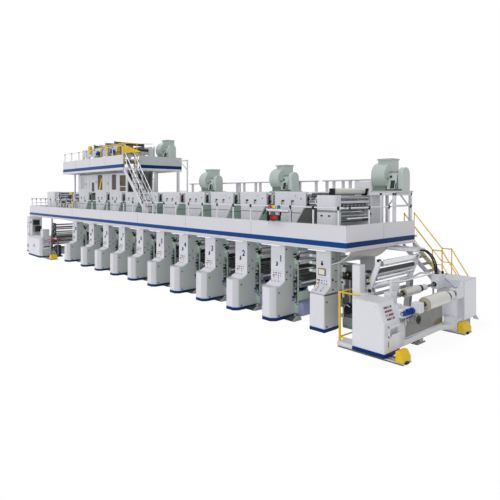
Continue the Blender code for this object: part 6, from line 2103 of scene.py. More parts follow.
    def _rear_cabinet(self, form: Form, left: float, right: float, floor: float) -> None:
        """Add the cabinet at the station's rear end with its window, lamp and knobs.

        Args:
            form: where it goes.
            left: its left side.
            right: its right side.
            floor: its foot.
        """
        outline = [(2.88, floor), (3.60, floor), (3.60, 3.85), (3.40, 3.85), (3.40, 4.38), (2.88, 4.38)]
        form.add(HOOD_WHITE, prism(outline, Axis.X, left, right - 0.006, 0.004))
        for low, high, end in self.cabinet_sheets:
            form.add(END_LIGHT_TONED_WHITE, block((right - 0.008, 2.895, low), (right, end, high), 0.002))
        form.add(PANEL_WHITE, block((left + 0.04, 3.595, 2.60), (right - 0.04, 3.606, 3.80), 0.002),
            rod(Axis.X, 3.02, 4.20, 0.045, right - 0.002, right + 0.012, 16))
        form.add(RECESS_SHADE_DARK, block((right - 0.002, 3.12, 4.10), (right + 0.003, 3.34, 4.27), 0.003))
        form.add(SCREEN, block((right + 0.001, 3.15, 4.13), (right + 0.006, 3.31, 4.20)))
        form.add(BLACK_PLASTIC, rod(Axis.X, 3.45, 3.49, 0.035, right - 0.002, right + 0.014, 12),
            block((right - 0.001, 2.98, 4.225), (right + 0.008, 3.08, 4.24), 0.003))

    def _film_roll(self, form: Form, far: float) -> None:
        """Add the wound roll on the station's top between its black brackets.

        Args:
            form: where it goes.
            far: the rear cabinet's inner face.
        """
        x, z = -1.35, 4.04
        for k in range(4):
            form.add(BLACK_PLASTIC, block((x - 0.095 + 0.008 * k, 1.10, 3.915 + 0.056 * k),
                (x + 0.06 - 0.004 * k, 1.25, 3.963 + 0.056 * k), 0.006))
        form.add(BLACK_PLASTIC, block((x - 0.07, 1.12, 3.90), (x + 0.045, 1.23, 4.12), 0.004),
            rod(Axis.Y, x, z, 0.03, 1.20, far, 12),
            prism([(x + 0.02, 3.90), (x + 0.12, 3.90), (x + 0.19, 4.14), (x + 0.11, 4.14)], Axis.Y,
            far - 0.07, far - 0.01, 0.005), block((x + 0.02, far - 0.20, 3.90),
            (x + 0.09, far - 0.10, 3.95), 0.008))
        form.add(ROLL_FILM, rod(Axis.Y, x, z, 0.10, 1.27, far - 0.08, 28, 0.004))
        form.add(CARD, rod(Axis.Y, x, z, 0.05, 1.255, far - 0.07, 18))


# Fans and rear frame


@dataclass
class Blower:
    """A belt-driven fan: spiral housing, outlet flange, bearing pedestal and guarded belt."""

    length: float = 1.00
    depth: float = 0.84
    scroll_width: float = 0.50
    scroll_radius: float = 0.44
    scroll_z: float = 0.54
    outlet: float = 1.07
    guard: float = 0.17
    guard_top: float = 0.80
    guard_half: float = 0.22
    shift: float = 0.03
    places: tuple[tuple[str, float, float, float], ...] = (("blower_1", -0.48, 3.10, HOOD_TOP),
        ("blower_2", -5.16, 3.10, HOOD_TOP), ("blower_3", -9.90, 3.10, HOOD_TOP),
        ("tower_blower", -14.0, 3.20, 5.75 + SEAT))

    def build(self) -> None:
        """Build the fan once and place all four."""
        mesh = self._form().mesh("belt_fan")
        for name, x, y, z in self.places:
            place_mesh(f"{name}_fan", mesh, [name], at=(x + self.shift, y, z))

    def _form(self) -> Form:
        """Return the fan, standing on Z = 0.

        Returns:
            The form.
        """
        form = Form()
        left, right, half = -self.length / 2, self.length / 2 + 0.02, self.depth / 2
        scroll_right = left + self.scroll_width
        form.add(FAN_GREEN, pierced((left, -half, right, half),
            [(left + 0.12, -half + 0.1, right - 0.12, half - 0.1)], Axis.Z, 0.0, 0.06))
        self._scroll(form, left, scroll_right)
        post = [(-0.30, 0.05), (0.30, 0.05), (0.14, 0.62), (-0.14, 0.62)]
        form.add(FAN_GREEN, *[prism(post, Axis.X, x, x + 0.025, 0.002) for x in (scroll_right - 0.01,
            scroll_right + 0.275)], block((scroll_right - 0.01, -0.15, 0.60),
            (scroll_right + 0.31, 0.15, 0.63), 0.003))
        self._pedestal_front(form, scroll_right)
        form.add(SCROLL_GREEN, block((left + 0.05, -0.30, 0.055), (scroll_right - 0.04, -0.24, 0.20),
            0.006), block((scroll_right - 0.003, -0.30, 0.42), (scroll_right + 0.004, 0.02, 0.47)),
            prism([(-0.24, 0.055), (-0.08, 0.055), (-0.08, 0.40), (-0.20, 0.40)], Axis.X,
            scroll_right - 0.004, scroll_right + 0.004))
        form.add(RUBBER,
            tube(smooth_line([(scroll_right + 0.02, -0.33, 0.09), (scroll_right + 0.12, -0.37, 0.085),
            (right - 0.10, -0.36, 0.085), (right - 0.03, -0.26, 0.085)], 5), 0.022, 8))
        self._drive(form, scroll_right, right)
        return form

    def _scroll(self, form: Form, left: float, scroll_right: float) -> None:
        """Add the spiral housing, its outlet flange and its inlet.

        Args:
            form: where they go.
            left: the fan's left side.
            scroll_right: the housing's right side.
        """
        radius, middle = self.scroll_radius, self.scroll_z
        outline = self._volute()
        form.add(FAN_GREEN, prism(outline, Axis.X, left + 0.02, scroll_right - 0.01, 0.003))
        for x in (left + 0.008, scroll_right - 0.016):
            grown = [(u * 1.025, middle + (v - middle) * 1.02 if v < self.outlet - 0.09 else v)
                for u, v in outline]
            form.add(FAN_GREEN, prism(grown, Axis.X, x, x + 0.012))
        form.add(FAN_GREEN,
            *[block((left - 0.005, -0.055, self.outlet + low), (scroll_right + 0.035, radius + 0.015,
            self.outlet + high), 0.002) for low, high in ((-0.01, 0.012), (0.016, 0.04))])
        bolt_heads(form, Axis.Z, [(left + 0.005 + 0.11 * k, y, self.outlet + 0.04) for k in range(5)
            for y in (-0.04, radius + 0.01)], 0.010, 0.007)
        form.add(FAN_GREEN, hoop(Axis.X, (left + 0.006, 0.0, middle), 0.19, 0.014, 28),
            *[prism([(-0.28, 0.05), (0.28, 0.05), (0.20, 0.32), (-0.20, 0.32)], Axis.X, x, x + 0.015)
            for x in (left + 0.06, scroll_right - 0.06)])
        # Near-black disc in the inlet: painted shade inside the housing.
        form.add(RECESS_SHADE_DARK, rod(Axis.X, 0.0, middle, 0.175, left + 0.001, left + 0.022, 28))
        form.add(STEEL, *[hoop(Axis.X, (left + 0.002, 0.0, middle), 0.045 * k, 0.003, 20) for k in (1, 2,
            3)], block((left - 0.001, -0.17, middle - 0.004), (left + 0.004, 0.17, middle + 0.004)),
            block((left - 0.001, -0.004, middle - 0.17), (left + 0.004, 0.004, middle + 0.17)))

    def _drive(self, form: Form, scroll_right: float, right: float) -> None:
        """Add the bearings, the shaft, the belt guard and the motor.

        Args:
            form: where they go.
            scroll_right: the housing's right side.
            right: the fan's right side.
        """
        form.add(CASTING, *[block((x, -0.09, 0.62), (x + 0.06, 0.09, 0.69), 0.012)
            for x in (scroll_right + 0.03, scroll_right + 0.21)])
        form.add(STEEL, rod(Axis.X, 0.0, 0.66, 0.03, scroll_right - 0.02, right - self.guard + 0.02, 14))
        cover = [(-self.guard_half, 0.05),
            (self.guard_half, 0.05)] + [(self.guard_half * math.cos(math.pi * k / 14),
            self.guard_top - self.guard_half + self.guard_half * math.sin(math.pi * k / 14))
            for k in range(15)]
        form.add(FAN_GREEN, prism(cover, Axis.X, right - self.guard, right - 0.004, 0.006))
        inner = [(u * 0.84, 0.10 + (v - 0.05) * 0.88) for u, v in cover]
        form.add(FAN_GREEN, prism(inner, Axis.X, right - 0.006, right, 0.002))
        form.add(MOTOR_BLUE, rod(Axis.X, 0.05, 0.20, 0.10, scroll_right + 0.03, right - self.guard + 0.01,
            18, 0.01))

    def _pedestal_front(self, form: Form, start: float) -> None:
        """Add the pedestal's sloping front sheet with its openings and label.

        Args:
            form: where it goes.
            start: the pedestal's left side.
        """
        foot, head = Vector((-0.30, 0.06)), Vector((-0.14, 0.62))
        out = Vector((-(head - foot).y, (head - foot).x)).normalized()

        def sheet(x0: float, low: float, x1: float, high: float, proud: float) -> Shape:
            """Return a sheet on the slope between two shares of its height.

            Args:
                x0: its left side past the pedestal's.
                low: the share of the slope at its foot.
                x1: its right side past the pedestal's left.
                high: the share at its head.
                proud: how far it stands out.

            Returns:
                The shape.
            """
            corners = [foot.lerp(head, low) + out * lift for lift in (-0.004, proud)]
            corners += [foot.lerp(head, high) + out * lift for lift in (proud, -0.004)]
            return prism([tuple(corner) for corner in corners], Axis.X, start + x0, start + x1)

        form.add(FAN_GREEN, sheet(0.0, 0.0, 0.30, 1.0, 0.006))
        # The near-black sheets stand for the pedestal's openings: painted shade.
        form.add(RECESS_SHADE_DARK, sheet(0.10, 0.12, 0.25, 0.58, 0.009), sheet(0.04, 0.72, 0.12, 0.86, 0.009))
        form.add(BLACK_PLASTIC, sheet(0.275, 0.02, 0.30, 0.42, 0.009))
        form.add(BUTTON_YELLOW, sheet(0.02, 0.04, 0.05, 0.16, 0.009))
        form.add(BUTTON_RED, sheet(0.015, 0.02, 0.04, 0.07, 0.010))

    def _volute(self) -> list[Flat]:
        """Return the spiral housing's side line, its outlet facing up on the rear side.

        Returns:
            The points of its line.
        """
        middle, reach = self.scroll_z, self.scroll_radius
        line = [(0.0, self.outlet), (0.0, middle + 0.42)]
        for step in range(1, 23):
            share = step / 22
            turn = math.pi / 2 + math.pi * 1.5 * share
            radius = reach * (0.93 + 0.07 * share)
            line.append((radius * math.cos(turn), middle + radius * math.sin(turn)))
        line.append((reach - 0.005, self.outlet))
        return line


@dataclass
class RearFrame:
    """The stands behind the hoods and the braced table that carries the first fan."""

    y: float = 3.70
    bar: float = 0.05
    top: float = 4.47
    leg: float = 0.09
    overhang: float = 0.12
    plate_front: float = 3.52
    right: float = -0.082
    table_left: float = -1.02
    table_front: float = 2.66
    post_step: float = 0.40
    stands: tuple[tuple[float, ...], ...] = ((-2.17, -1.33), (-3.52, -3.19, -2.77, -2.46), (-4.88, -4.04),
        (-7.19, -6.35), (-8.25, -7.48), (-9.89, -8.74, -8.56), (-12.28, -11.44))

    def build(self) -> None:
        """Place the stands and the fan table."""
        floor, half = DECK_TOP + SEAT, self.bar / 2
        left, right, rear = self.stands[-1][0] - self.overhang, self.right, self.y + half
        form = Form().add(HOOD_WHITE, block((left, self.y - half, floor), (right, rear, floor + self.bar),
            0.004))
        for legs in self.stands:
            for x in legs:
                low, high = x - self.leg / 2, x + self.leg / 2
                form.add(STAND_GREY, block((low, rear - 0.091, floor + 0.01),
                    (high, rear - 0.001, self.top - 0.04), 0.006), block((low - 0.03, rear - 0.11, floor),
                    (high + 0.03, rear, floor + 0.014), 0.003))
                bolt_heads(form, Axis.Z, [(low - 0.015, rear - 0.09, floor + 0.014)], 0.010, 0.008)
            low, high = min(legs) - self.overhang, max(legs) + self.overhang
            form.add(STAND_GREY, block((low, self.plate_front, self.top - 0.03), (high, rear, self.top),
                0.005), block((low + 0.02, self.plate_front + 0.02, self.top - 0.05),
                (high - 0.02, rear - 0.01, self.top - 0.028), 0.003))
        size, top, table = 0.09, 4.0, Form()
        rows = (self.table_front, self.y - size / 2)
        for x in (self.table_left, right - size):
            table.add(HOOD_WHITE, block((x, rows[0] + 0.02, top - size), (x + size, self.y, top), 0.004))
            for y in rows:
                foot = x + self.post_step if y == rows[0] and x < right - size else x
                table.add(HOOD_WHITE, block((foot, y, floor), (foot + size, y + size, top - 0.01), 0.006),
                    block((foot - 0.002, y - 0.02, floor), (foot + size, y + size, floor + 0.015), 0.003))
        table.add(HOOD_WHITE, block((right - size + 0.01, rows[0] + 0.02, 3.55),
            (right - 0.01, self.y, 3.61), 0.004))
        for y in rows:
            table.add(HOOD_WHITE, block((self.table_left, y, top - size), (right, y + size, top), 0.005))
        table.add(HOOD_WHITE,
            square_bar([(self.table_left + 0.05, self.y, 3.50), (self.table_left + 0.40, self.y, 3.93)],
            0.04), square_bar([(right - 0.05, self.y, 3.50), (right - 0.40, self.y, 3.93)], 0.04))
        form.piece("rear_stands", "stand_enamel", ["rear_frame"])
        table.piece("fan_table", "stand_enamel")


# Stairs and guards


@dataclass
class AccessStair:
    """The yellow stair behind the platform: two flights, a landing and tube handrails."""

    front: float = 4.10
    rear: float = 4.82
    top_x: float = -0.62
    top_z: float = 2.12
    landing_left: float = 0.42
    landing_right: float = 0.74
    landing_z: float = 1.12
    foot_x: float = 1.50
    rail: float = 1.02
    plate: float = 0.04

    def build(self) -> None:
        """Place the stair."""
        form = Form()
        left, right, level = self.landing_left, self.landing_right, self.landing_z
        for y in (self.front, self.rear - self.plate):
            side = [(self.top_x, self.top_z), (left, level), (right, level), (self.foot_x - 0.05, 0.0),
                (self.foot_x + 0.1, 0.0), (right + 0.02, level + 0.2), (left, level + 0.2),
                (self.top_x, self.top_z + 0.2)]
            form.add(STAND_GREY, prism(side, Axis.Y, y, y + self.plate, 0.003),
                block((left, y, 0.0), (left + 0.05, y + self.plate, level + 0.02), 0.004),
                block((left - 0.04, y - 0.02, 0.0), (left + 0.09, y + self.plate + 0.02, 0.012), 0.002),
                block((self.top_x, y, self.top_z + 0.1), (self.top_x + 0.06, y + self.plate,
                DECK_TOP - 0.01), 0.003))
        form.add(SAFETY_YELLOW, block((self.top_x - 0.3, PLATFORM_REAR, DECK_TOP - 0.06),
            (self.top_x + 0.15, self.rear, DECK_TOP - 0.004), 0.004))
        form.add(DECK, block((left, self.front + 0.02, level + 0.1),
            (right, self.rear - 0.02, level + 0.14), 0.003),
            block((self.top_x - 0.29, PLATFORM_REAR, DECK_TOP - 0.01), (self.top_x + 0.14, self.rear - 0.01,
            DECK_TOP)))
        slope = (self.top_z - level) / (left - self.top_x)
        for step in range(1, 5):
            x = self.top_x + (left - self.top_x) * step / 5
            self._tread(form, x, self.top_z - slope * (x - self.top_x) + 0.10)
            self._tread(form, right + (self.foot_x - right) * step / 5, level * (1 - step / 5) + 0.10)
        line = [(self.top_x + 0.05, self.top_z + 0.15 + self.rail), (left, level + self.rail),
            (right, level + self.rail), (self.foot_x - 0.1, 0.1 + self.rail)]
        for y in (self.front + 0.02, self.rear - 0.02):
            for drop, radius in ((0.0, 0.019), (0.45, 0.014)):
                form.add(SAFETY_YELLOW, tube([(x, y, z - drop) for x, z in line], radius, 10))
            for x, z in line:
                form.add(SAFETY_YELLOW, tube([(x, y, z - self.rail + 0.03), (x, y, z)], 0.017, 10))
                form.add(BLACK_PLASTIC, ball((x, y, z), 0.022))
        form.piece("yellow_stair", "safety_yellow", ["access_stair"])

    def _tread(self, form: Form, x: float, z: float) -> None:
        """Add one tread.

        Args:
            form: where it goes.
            x: its middle.
            z: its middle height.
        """
        form.add(DECK, block((x - 0.1, self.front + 0.03, z - 0.012),
            (x + 0.1, self.rear - 0.03, z + 0.015), 0.003))
        form.add(SAFETY_YELLOW, block((x + 0.085, self.front + 0.02, z - 0.015),
            (x + 0.1, self.rear - 0.02, z + 0.017), 0.002))


@dataclass
class SideGuard:
    """The yellow tube guard between the outfeed unit and the rewinder."""

    left: float = -0.16
    near: float = -0.12
    far: float = 0.90
    size: float = 0.05
    top: float = 1.34
    low: float = 0.07
    cabinet: float = 0.62 - SEAT

    def build(self) -> None:
        """Place the guard's posts, rails, feet and gate lock."""
        form = Form()
        middle, y0, y1 = self.left + self.size / 2, self.near + self.size / 2, self.far + self.size / 2
        for y in (y0, y1):
            form.add(SAFETY_YELLOW, block((self.left, y - 0.025, 0.0), (self.left + self.size, y + 0.025,
                self.top), 0.006), block((self.left, y - 0.03, 0.0), (self.left + 0.055, y + 0.05, 0.012),
                0.002))
            form.add(BLACK_PLASTIC, block((self.left + 0.002, y - 0.023, self.top - 0.004),
                (self.left + self.size - 0.002, y + 0.023, self.top), 0.002))
        for z in (self.top - 0.03, self.low + 0.025):
            form.add(SAFETY_YELLOW, tube([(middle, y0, z), (middle, y1, z)], 0.021, 12),
                tube([(middle, y0, z), (self.cabinet - 0.004, y0, z)], 0.021, 12))
            form.add(STEEL, rod(Axis.X, y0, z, 0.036, self.cabinet - 0.01, self.cabinet, 14))
        form.piece("yellow_guard", "safety_yellow", ["side_guard"])


# Tower


@dataclass
class Tower:
    """The raised platform at the left: fascia, wall, legs, stair and the web machinery on top."""

    left: float = -21.20
    right: float = -13.40
    front: float = 0.30
    rear: float = 3.75
    low: float = 5.12
    high: float = 5.87
    floor: float = 5.24
    rail: float = 6.31
    windows: tuple[tuple[float, float, float, float], ...] = ((-19.98, 4.20, -19.39, 4.98),
        (-18.41, 4.04, -18.02, 4.60), (-17.63, 4.14, -16.97, 5.00), (-15.87, 4.14, -15.32, 4.98),
        (-14.95, 4.06, -14.25, 4.92))
    underside_boxes: tuple[tuple[float, float, float, float, Finish], ...] = ((-20.6, -19.2, 0.50, 0.86,
        DARK_STEEL), (-18.6, -17.0, 0.50, 0.86, SCREEN), (-16.6, -15.1, 0.50, 0.86, DARK_STEEL),
        (-14.0, -13.55, 1.3, 3.3, SCREEN), (-20.4, -14.3, 1.2, 3.4, DARK_STEEL))
    wall_latches: tuple[Flat, ...] = ((-19.2, 4.5), (-17.8, 4.6), (-16.3, 4.5), (-14.8, 4.5))
    roller_posts: tuple[Flat, ...] = ((-18.6, 1.16), (-18.6, 2.90), (-16.0, 1.16), (-16.0, 2.90))
    upper_rollers: tuple[RoundPiece, ...] = ((-18.6, 6.68, 0.08, RUBBER), (-18.1, 6.72, 0.06, BRIGHT_STEEL),
        (-17.2, 6.71, 0.10, DARK_STEEL), (-16.0, 6.70, 0.08, RUBBER))
    ducts: tuple[RoundPiece, ...] = ((-14.05, 1.35, 0.13, SIDE_SHADE_GREY), (-13.85, 2.30, 0.16, STEEL),
        (-14.75, 2.2, 0.14, DARK_STEEL))

    def build(self) -> None:
        """Place the tower's pieces."""
        self._platform()
        self._wall()
        self._stair()
        self._rollers()
        self._machinery()
        self._ducts()

    def _platform(self) -> None:
        """Place the skirt, the floor, the legs and the railing."""
        left, right, low, high = self.left, self.right, self.low, self.high
        front, rear = self.front, self.rear
        form = Form().add(FASCIA_WHITE, block((left + 0.02, front + 0.02, low),
            (right - 0.02, rear, self.floor - 0.012)))
        form.add(DECK, block((left + 0.03, front + 0.03, self.floor - 0.012),
            (right - 0.03, rear - 0.01, self.floor)))
        for wall, name, z0, z1, proud in ((FASCIA_WHITE, "wall", low + 0.29, high, 0.003),
                (FASCIA_WHITE, "lip", low, low + 0.12, 0.0), (STRIPE_BLUE, "stripe", low + 0.12, low + 0.29,
                0.0015)):
            # The right end's wall course takes the side grey and its stripe the darker kick-plate blue:
            # painted shade of the end face.
            side = SIDE_SHADE_GREY if name == "wall" else wall
            form.add(wall, block((left + proud, front + proud, z0), (right, front + 0.04, z1), 0.002),
                block((left + proud, front + 0.03, z0), (left + 0.04, rear, z1), 0.002))
            side = KICK_BLUE if name == "stripe" else side
            form.add(side, block((right - 0.04, 1.20, z0), (right - proud, rear, z1), 0.002))
        for x in (left + 1.95, left + 3.9, left + 5.85):
            form.add(RECESS_SHADE_DARK, block((x - 0.003, front + 0.0015, low + 0.31),
                (x + 0.003, front + 0.004, high - 0.03)))
        for x0, x1, y0, y1, finish in self.underside_boxes:
            form.add(finish, block((x0, y0, low - 0.012), (x1, y1, low + 0.01), 0.003))
            slats = int((x1 - x0) / 0.22)
            form.add(PANEL_WHITE,
                *[block((x0 + 0.22 * k, y0, low - 0.02), (x0 + 0.22 * k + 0.02, y1, low - 0.008))
                for k in range(slats + 1)])
        for x in (left + 0.01, right - 0.13):
            form.add(HOOD_WHITE, block((x, 3.50, DECK_TOP + SEAT), (x + 0.12, 3.62, low + 0.02), 0.005),
                block((x - 0.04, 3.46, DECK_TOP + SEAT), (x + 0.16, 3.66, DECK_TOP + 0.02), 0.003))
        for x in (left + 0.01, right - 0.12, -15.2):
            form.add(HOOD_WHITE, block((x, 0.98, HOOD_TOP), (x + 0.10, 1.06, low + 0.02), 0.004))
        rail_y = front + 0.058
        for index in range(8):
            x = left + 0.15 + index * (right - left - 0.3) / 7
            form.add(HOOD_WHITE, block((x - 0.018, rail_y - 0.018, high - 0.15),
                (x + 0.018, rail_y + 0.018, self.rail - 0.02), 0.004))
            form.add(BLACK_PLASTIC, block((x - 0.026, rail_y - 0.026, self.rail - 0.03),
                (x + 0.026, rail_y + 0.026, self.rail + 0.035), 0.01))
        form.add(BRIGHT_STEEL,
            tube([(left + 0.1, rail_y, self.rail + 0.012), (right - 0.1, rail_y, self.rail + 0.012)], 0.015,
            10))
        form.piece("tower_skirt", "fascia_enamel", ["tower_platform"])

    def _wall(self) -> None:
        """Place the wall with its windows, frames and what shows behind them."""
        near, far = 0.90, 0.95
        left, right, base, top = -20.33, -14.10, HOOD_TOP, self.low - SEAT
        form = Form().add(HOOD_WHITE, pierced((left, base, right, top), self.windows, Axis.Y, near + 0.004,
            far))
        for index, (x0, z0, x1, z1) in enumerate(self.windows):
            form.add(PANEL_WHITE, pierced((x0 - 0.03, z0 - 0.03, x1 + 0.03, z1 + 0.03),
                [(x0 + 0.015, z0 + 0.015, x1 - 0.015, z1 - 0.015)], Axis.Y, near, near + 0.02))
            glazing = (PANEL_WHITE, DARK_STEEL, SCREEN, SCREEN, SCREEN)[index]
            form.add(glazing, block((x0 + 0.005, far - 0.01, z0 + 0.005),
                (x1 - 0.005, far - 0.002, z1 - 0.005)))
            form.add(DARK_STEEL, *[block((x0 + (x1 - x0) * k / 4 - 0.006, far - 0.02, z0 + 0.01),
                (x0 + (x1 - x0) * k / 4 + 0.006, far - 0.01, z1 - 0.01)) for k in (1, 2, 3)])
        x0, z0, x1, z1 = self.windows[2]
        form.add(SAFETY_YELLOW,
            prism([(x0 + 0.12, z0 + 0.02), (x0 + 0.30, z0 + 0.02), (x1 - 0.10, z1 - 0.20),
            (x1 - 0.22, z1 - 0.20)], Axis.Y, far - 0.035, far - 0.012, 0.004))
        x0, z0, x1, z1 = self.windows[4]
        form.add(PANEL_WHITE, block((x0 + 0.01, far - 0.03, z0 + 0.24), (x1 - 0.01, far - 0.012, z0 + 0.28),
            0.003))
        # Dark strip along the wall's top: painted shadow under the tower's skirt.
        form.add(CASTING, block((left + 0.25, near - 0.002, top - 0.10), (right, near + 0.01, top - 0.012),
            0.003))
        for x in (-19.10, -18.72, -16.62, -16.20):
            form.add(RECESS_SHADE_DARK, block((x - 0.003, near + 0.002, base + 0.04),
                (x + 0.003, near + 0.005, top - 0.04)))
        for x, z in self.wall_latches:
            form.add(BLACK_PLASTIC, block((x - 0.012, near - 0.016, z - 0.06),
                (x + 0.012, near + 0.005, z + 0.06), 0.004))
        form.piece("tower_front_wall", "fascia_enamel", ["tower_wall"])

    def _stair(self) -> None:
        """Place the stair from the deck to the tower with its treads and handrails."""
        foot, head, near, far = -10.70, -13.30, 0.30, 0.82
        base, depth = DECK_TOP + SEAT, 0.22
        form = Form()
        side = [(foot, base), (head, self.floor - depth), (head, self.floor - 0.001),
            (foot - 0.001, base + depth)]
        for y in (near, far - 0.04):
            form.add(HOOD_WHITE, prism(side, Axis.Y, y, y + 0.04, 0.003),
                block((foot - 0.12, y - 0.02, base), (foot + 0.005, y + 0.06, base + 0.015), 0.002))
        rise, run = (self.floor - base) / 10, (head - foot) / 10
        for step in range(1, 10):
            x, z = foot + run * step, base + rise * step
            form.add(DARK_STEEL, pierced((x - 0.11, near + 0.03, x + 0.11, far - 0.03),
                [(x - 0.085 + 0.058 * k, near + 0.08, x - 0.05 + 0.058 * k, far - 0.08) for k in range(3)],
                Axis.Z, z - 0.005, z + 0.028))
        for y in (near + 0.02, far - 0.02):
            start, end = Vector((foot - 0.30, y, base + 0.92)), Vector((head + 0.12, y, self.floor + 0.70))
            for drop, radius in ((0.0, 0.019), (0.36, 0.013)):
                form.add(BRIGHT_STEEL, tube([(p.x, p.y, p.z - drop) for p in (start, end)], radius, 10))
            for share in (0.03, 0.35, 0.65, 0.95):
                p = start.lerp(end, share)
                form.add(BRIGHT_STEEL, tube([(p.x, y, p.z - 0.72), (p.x, y, p.z)], 0.015, 10))
            form.add(BLACK_PLASTIC, *[ball(tuple(p), 0.021) for p in (start, end)])
        form.piece("tower_steps", "stand_enamel", ["tower_stair"])

    def _rollers(self) -> None:
        """Place the cheeks and the web rollers on the tower, and the table of its fan."""
        start, near, far = self.floor + SEAT, 1.10, 2.98
        form = Form()
        holes = [(x - 0.26, 5.42, x + 0.26, 6.12) for x in (-19.75, -18.95, -18.15, -17.35, -16.55, -15.75)]
        for y in (near, far - 0.08):
            form.add(HOOD_WHITE, pierced((-20.2, start, -14.9, 6.55), holes, Axis.Y, y, y + 0.08))
            form.add(SAFETY_YELLOW,
                *[pierced((x0 + 0.46, 5.52, x0 + 0.86, 5.92),
                [(x0 + 0.5 + 0.08 * k, 5.56, x0 + 0.54 + 0.08 * k, 5.88) for k in range(4)], Axis.Y,
                y - 0.012, y - 0.002) for x0, _, _, _ in holes[3:]])
            bolt_heads(form, Axis.Y, [(-20.1 + 0.42 * k, y, 6.50) for k in range(13)], 0.014, -0.008)
        for index, x in enumerate((-19.6, -18.9, -18.0, -17.3, -16.4, -15.5)):
            form.add((DARK_STEEL, BRIGHT_STEEL, RUBBER)[index % 3], rod(Axis.Y, x, 6.37, 0.09, near + 0.10,
                far - 0.10, 22, 0.006))
            form.add(CASTING, rod(Axis.Y, x, 6.37, 0.055, near - 0.03, near + 0.02, 14),
                rod(Axis.Y, x, 6.37, 0.055, far - 0.02, far + 0.03, 14), rod(Axis.Y, x, 6.37, 0.03, near,
                far, 12))
            low_x = x + 0.28
            form.add(STEEL, rod(Axis.Y, low_x, 5.75, 0.07, near + 0.06, far - 0.06, 20, 0.005))
        form.add(HOOD_WHITE, *[block((x, y, start), (x + 0.1, y + 0.1, 5.7), 0.004) for y in (2.78, 3.48)
            for x in (-14.5, -13.6)], block((-14.5, 2.78, 5.68), (-13.5, 3.58, 5.75), 0.004),
            block((-14.95, 2.91, start + 0.002), (-14.4, 2.96, start + 0.2), 0.003))
        form.piece("tower_web_rollers", "roller_steel", ["tower_rollers"])

    def _machinery(self) -> None:
        """Place the upper rollers, the motors and the pipes on the tower."""
        start, top = self.floor + SEAT, Form()
        for x, y in self.roller_posts:
            top.add(DARK_STEEL, block((x - 0.05, y - 0.03, 6.45), (x + 0.05, y + 0.03, 6.80), 0.005))
        top.add(DARK_STEEL, *[block((-18.65, y, 6.55), (-15.95, y + 0.08, 6.63), 0.004) for y in (1.12,
            2.86)])
        for x, z, radius, finish in self.upper_rollers:
            top.add(finish, rod(Axis.Y, x, z, radius, 1.20, 2.86, 20, 0.005))
        self._yellow_guards(top)
        top.add(BRIGHT_STEEL, tube([(-15.5, 1.5, 6.66), (-12.6, 1.5, 6.40), (-12.6, 1.5, 6.2)], 0.018, 10),
            block((-15.52, 1.48, 6.44), (-15.48, 1.52, 6.68)))
        for x in (-17.9, -16.1):
            top.add(MOTOR_BLUE, rod(Axis.X, 1.00, 6.20, 0.10, x, x + 0.32, 20, 0.012),
                block((x + 0.05, 0.94, 6.29), (x + 0.18, 1.06, 6.35), 0.005))
            top.add(CASTING, block((x + 0.03, 0.90, start), (x + 0.29, 1.10, 6.12), 0.01))
        top.add(CASTING, *[rod(Axis.Y, x, 5.62, 0.10, 0.90, 1.10, 20, 0.01) for x in (-17.0, -15.2)],
            *[block((x - 0.08, 0.92, start), (x + 0.08, 1.08, 5.54), 0.008) for x in (-17.0, -15.2)])
        top.add(DARK_STEEL, *[rod(Axis.X, 0.96, 5.72 + 0.22 * k, 0.022, -16.9 + 0.2 * k, -15.3 + 0.1 * k,
            10) for k in range(3)], *[rod(Axis.Z, x, 0.98, 0.022, start, 6.5, 10) for x in (-17.2, -16.35,
            -15.05)])
        top.add(RUBBER,
            tube(smooth_line([(-19.3, 1.02, 5.6), (-19.0, 0.9, 5.35), (-18.4, 0.9, 5.29),
            (-17.9, 1.0, 5.4)], 6), 0.025, 8))
        top.piece("tower_machinery", "roller_steel")

    def _yellow_guards(self, form: Form) -> None:
        """Add the yellow drums, frames and screens round the rollers.

        Args:
            form: where they go.
        """
        start = self.floor + SEAT
        form.add(SAFETY_YELLOW, rod(Axis.Y, -18.9, 6.60, 0.14, 0.95, 1.10, 24, 0.01),
            block((-19.0, 0.98, 6.28), (-18.8, 1.10, 6.50), 0.01), rod(Axis.Y, -16.7, 6.52, 0.11, 0.98,
            1.10, 22, 0.008), prism([(-15.4, 6.02), (-12.9, 6.02), (-13.3, 6.12), (-14.4, 6.42),
            (-15.4, 6.46)], Axis.Y, 1.02, 1.05, 0.003),
            *[block((x, 1.0, start), (x + 0.05, 1.05, 6.60), 0.004) for x in (-17.5, -16.6, -15.45,
            -14.75)], *[block((-17.5, 1.0, z), (-14.7, 1.05, z + 0.05), 0.004) for z in (6.55, 5.95)])
        form.add(SAFETY_YELLOW, *[block((-15.40 + 0.08 * k, 1.02, 6.02), (-15.37 + 0.08 * k, 1.04, 6.56))
            for k in range(9)])
        form.add(SAFETY_YELLOW, tube([(-13.46, 0.36, 5.5), (-13.46, 0.36, 6.45), (-13.46, 1.10, 6.45),
            (-13.46, 1.10, 5.5)], 0.02, 10), tube([(-13.46, 0.36, 6.0), (-13.46, 1.10, 6.0)], 0.014, 10))

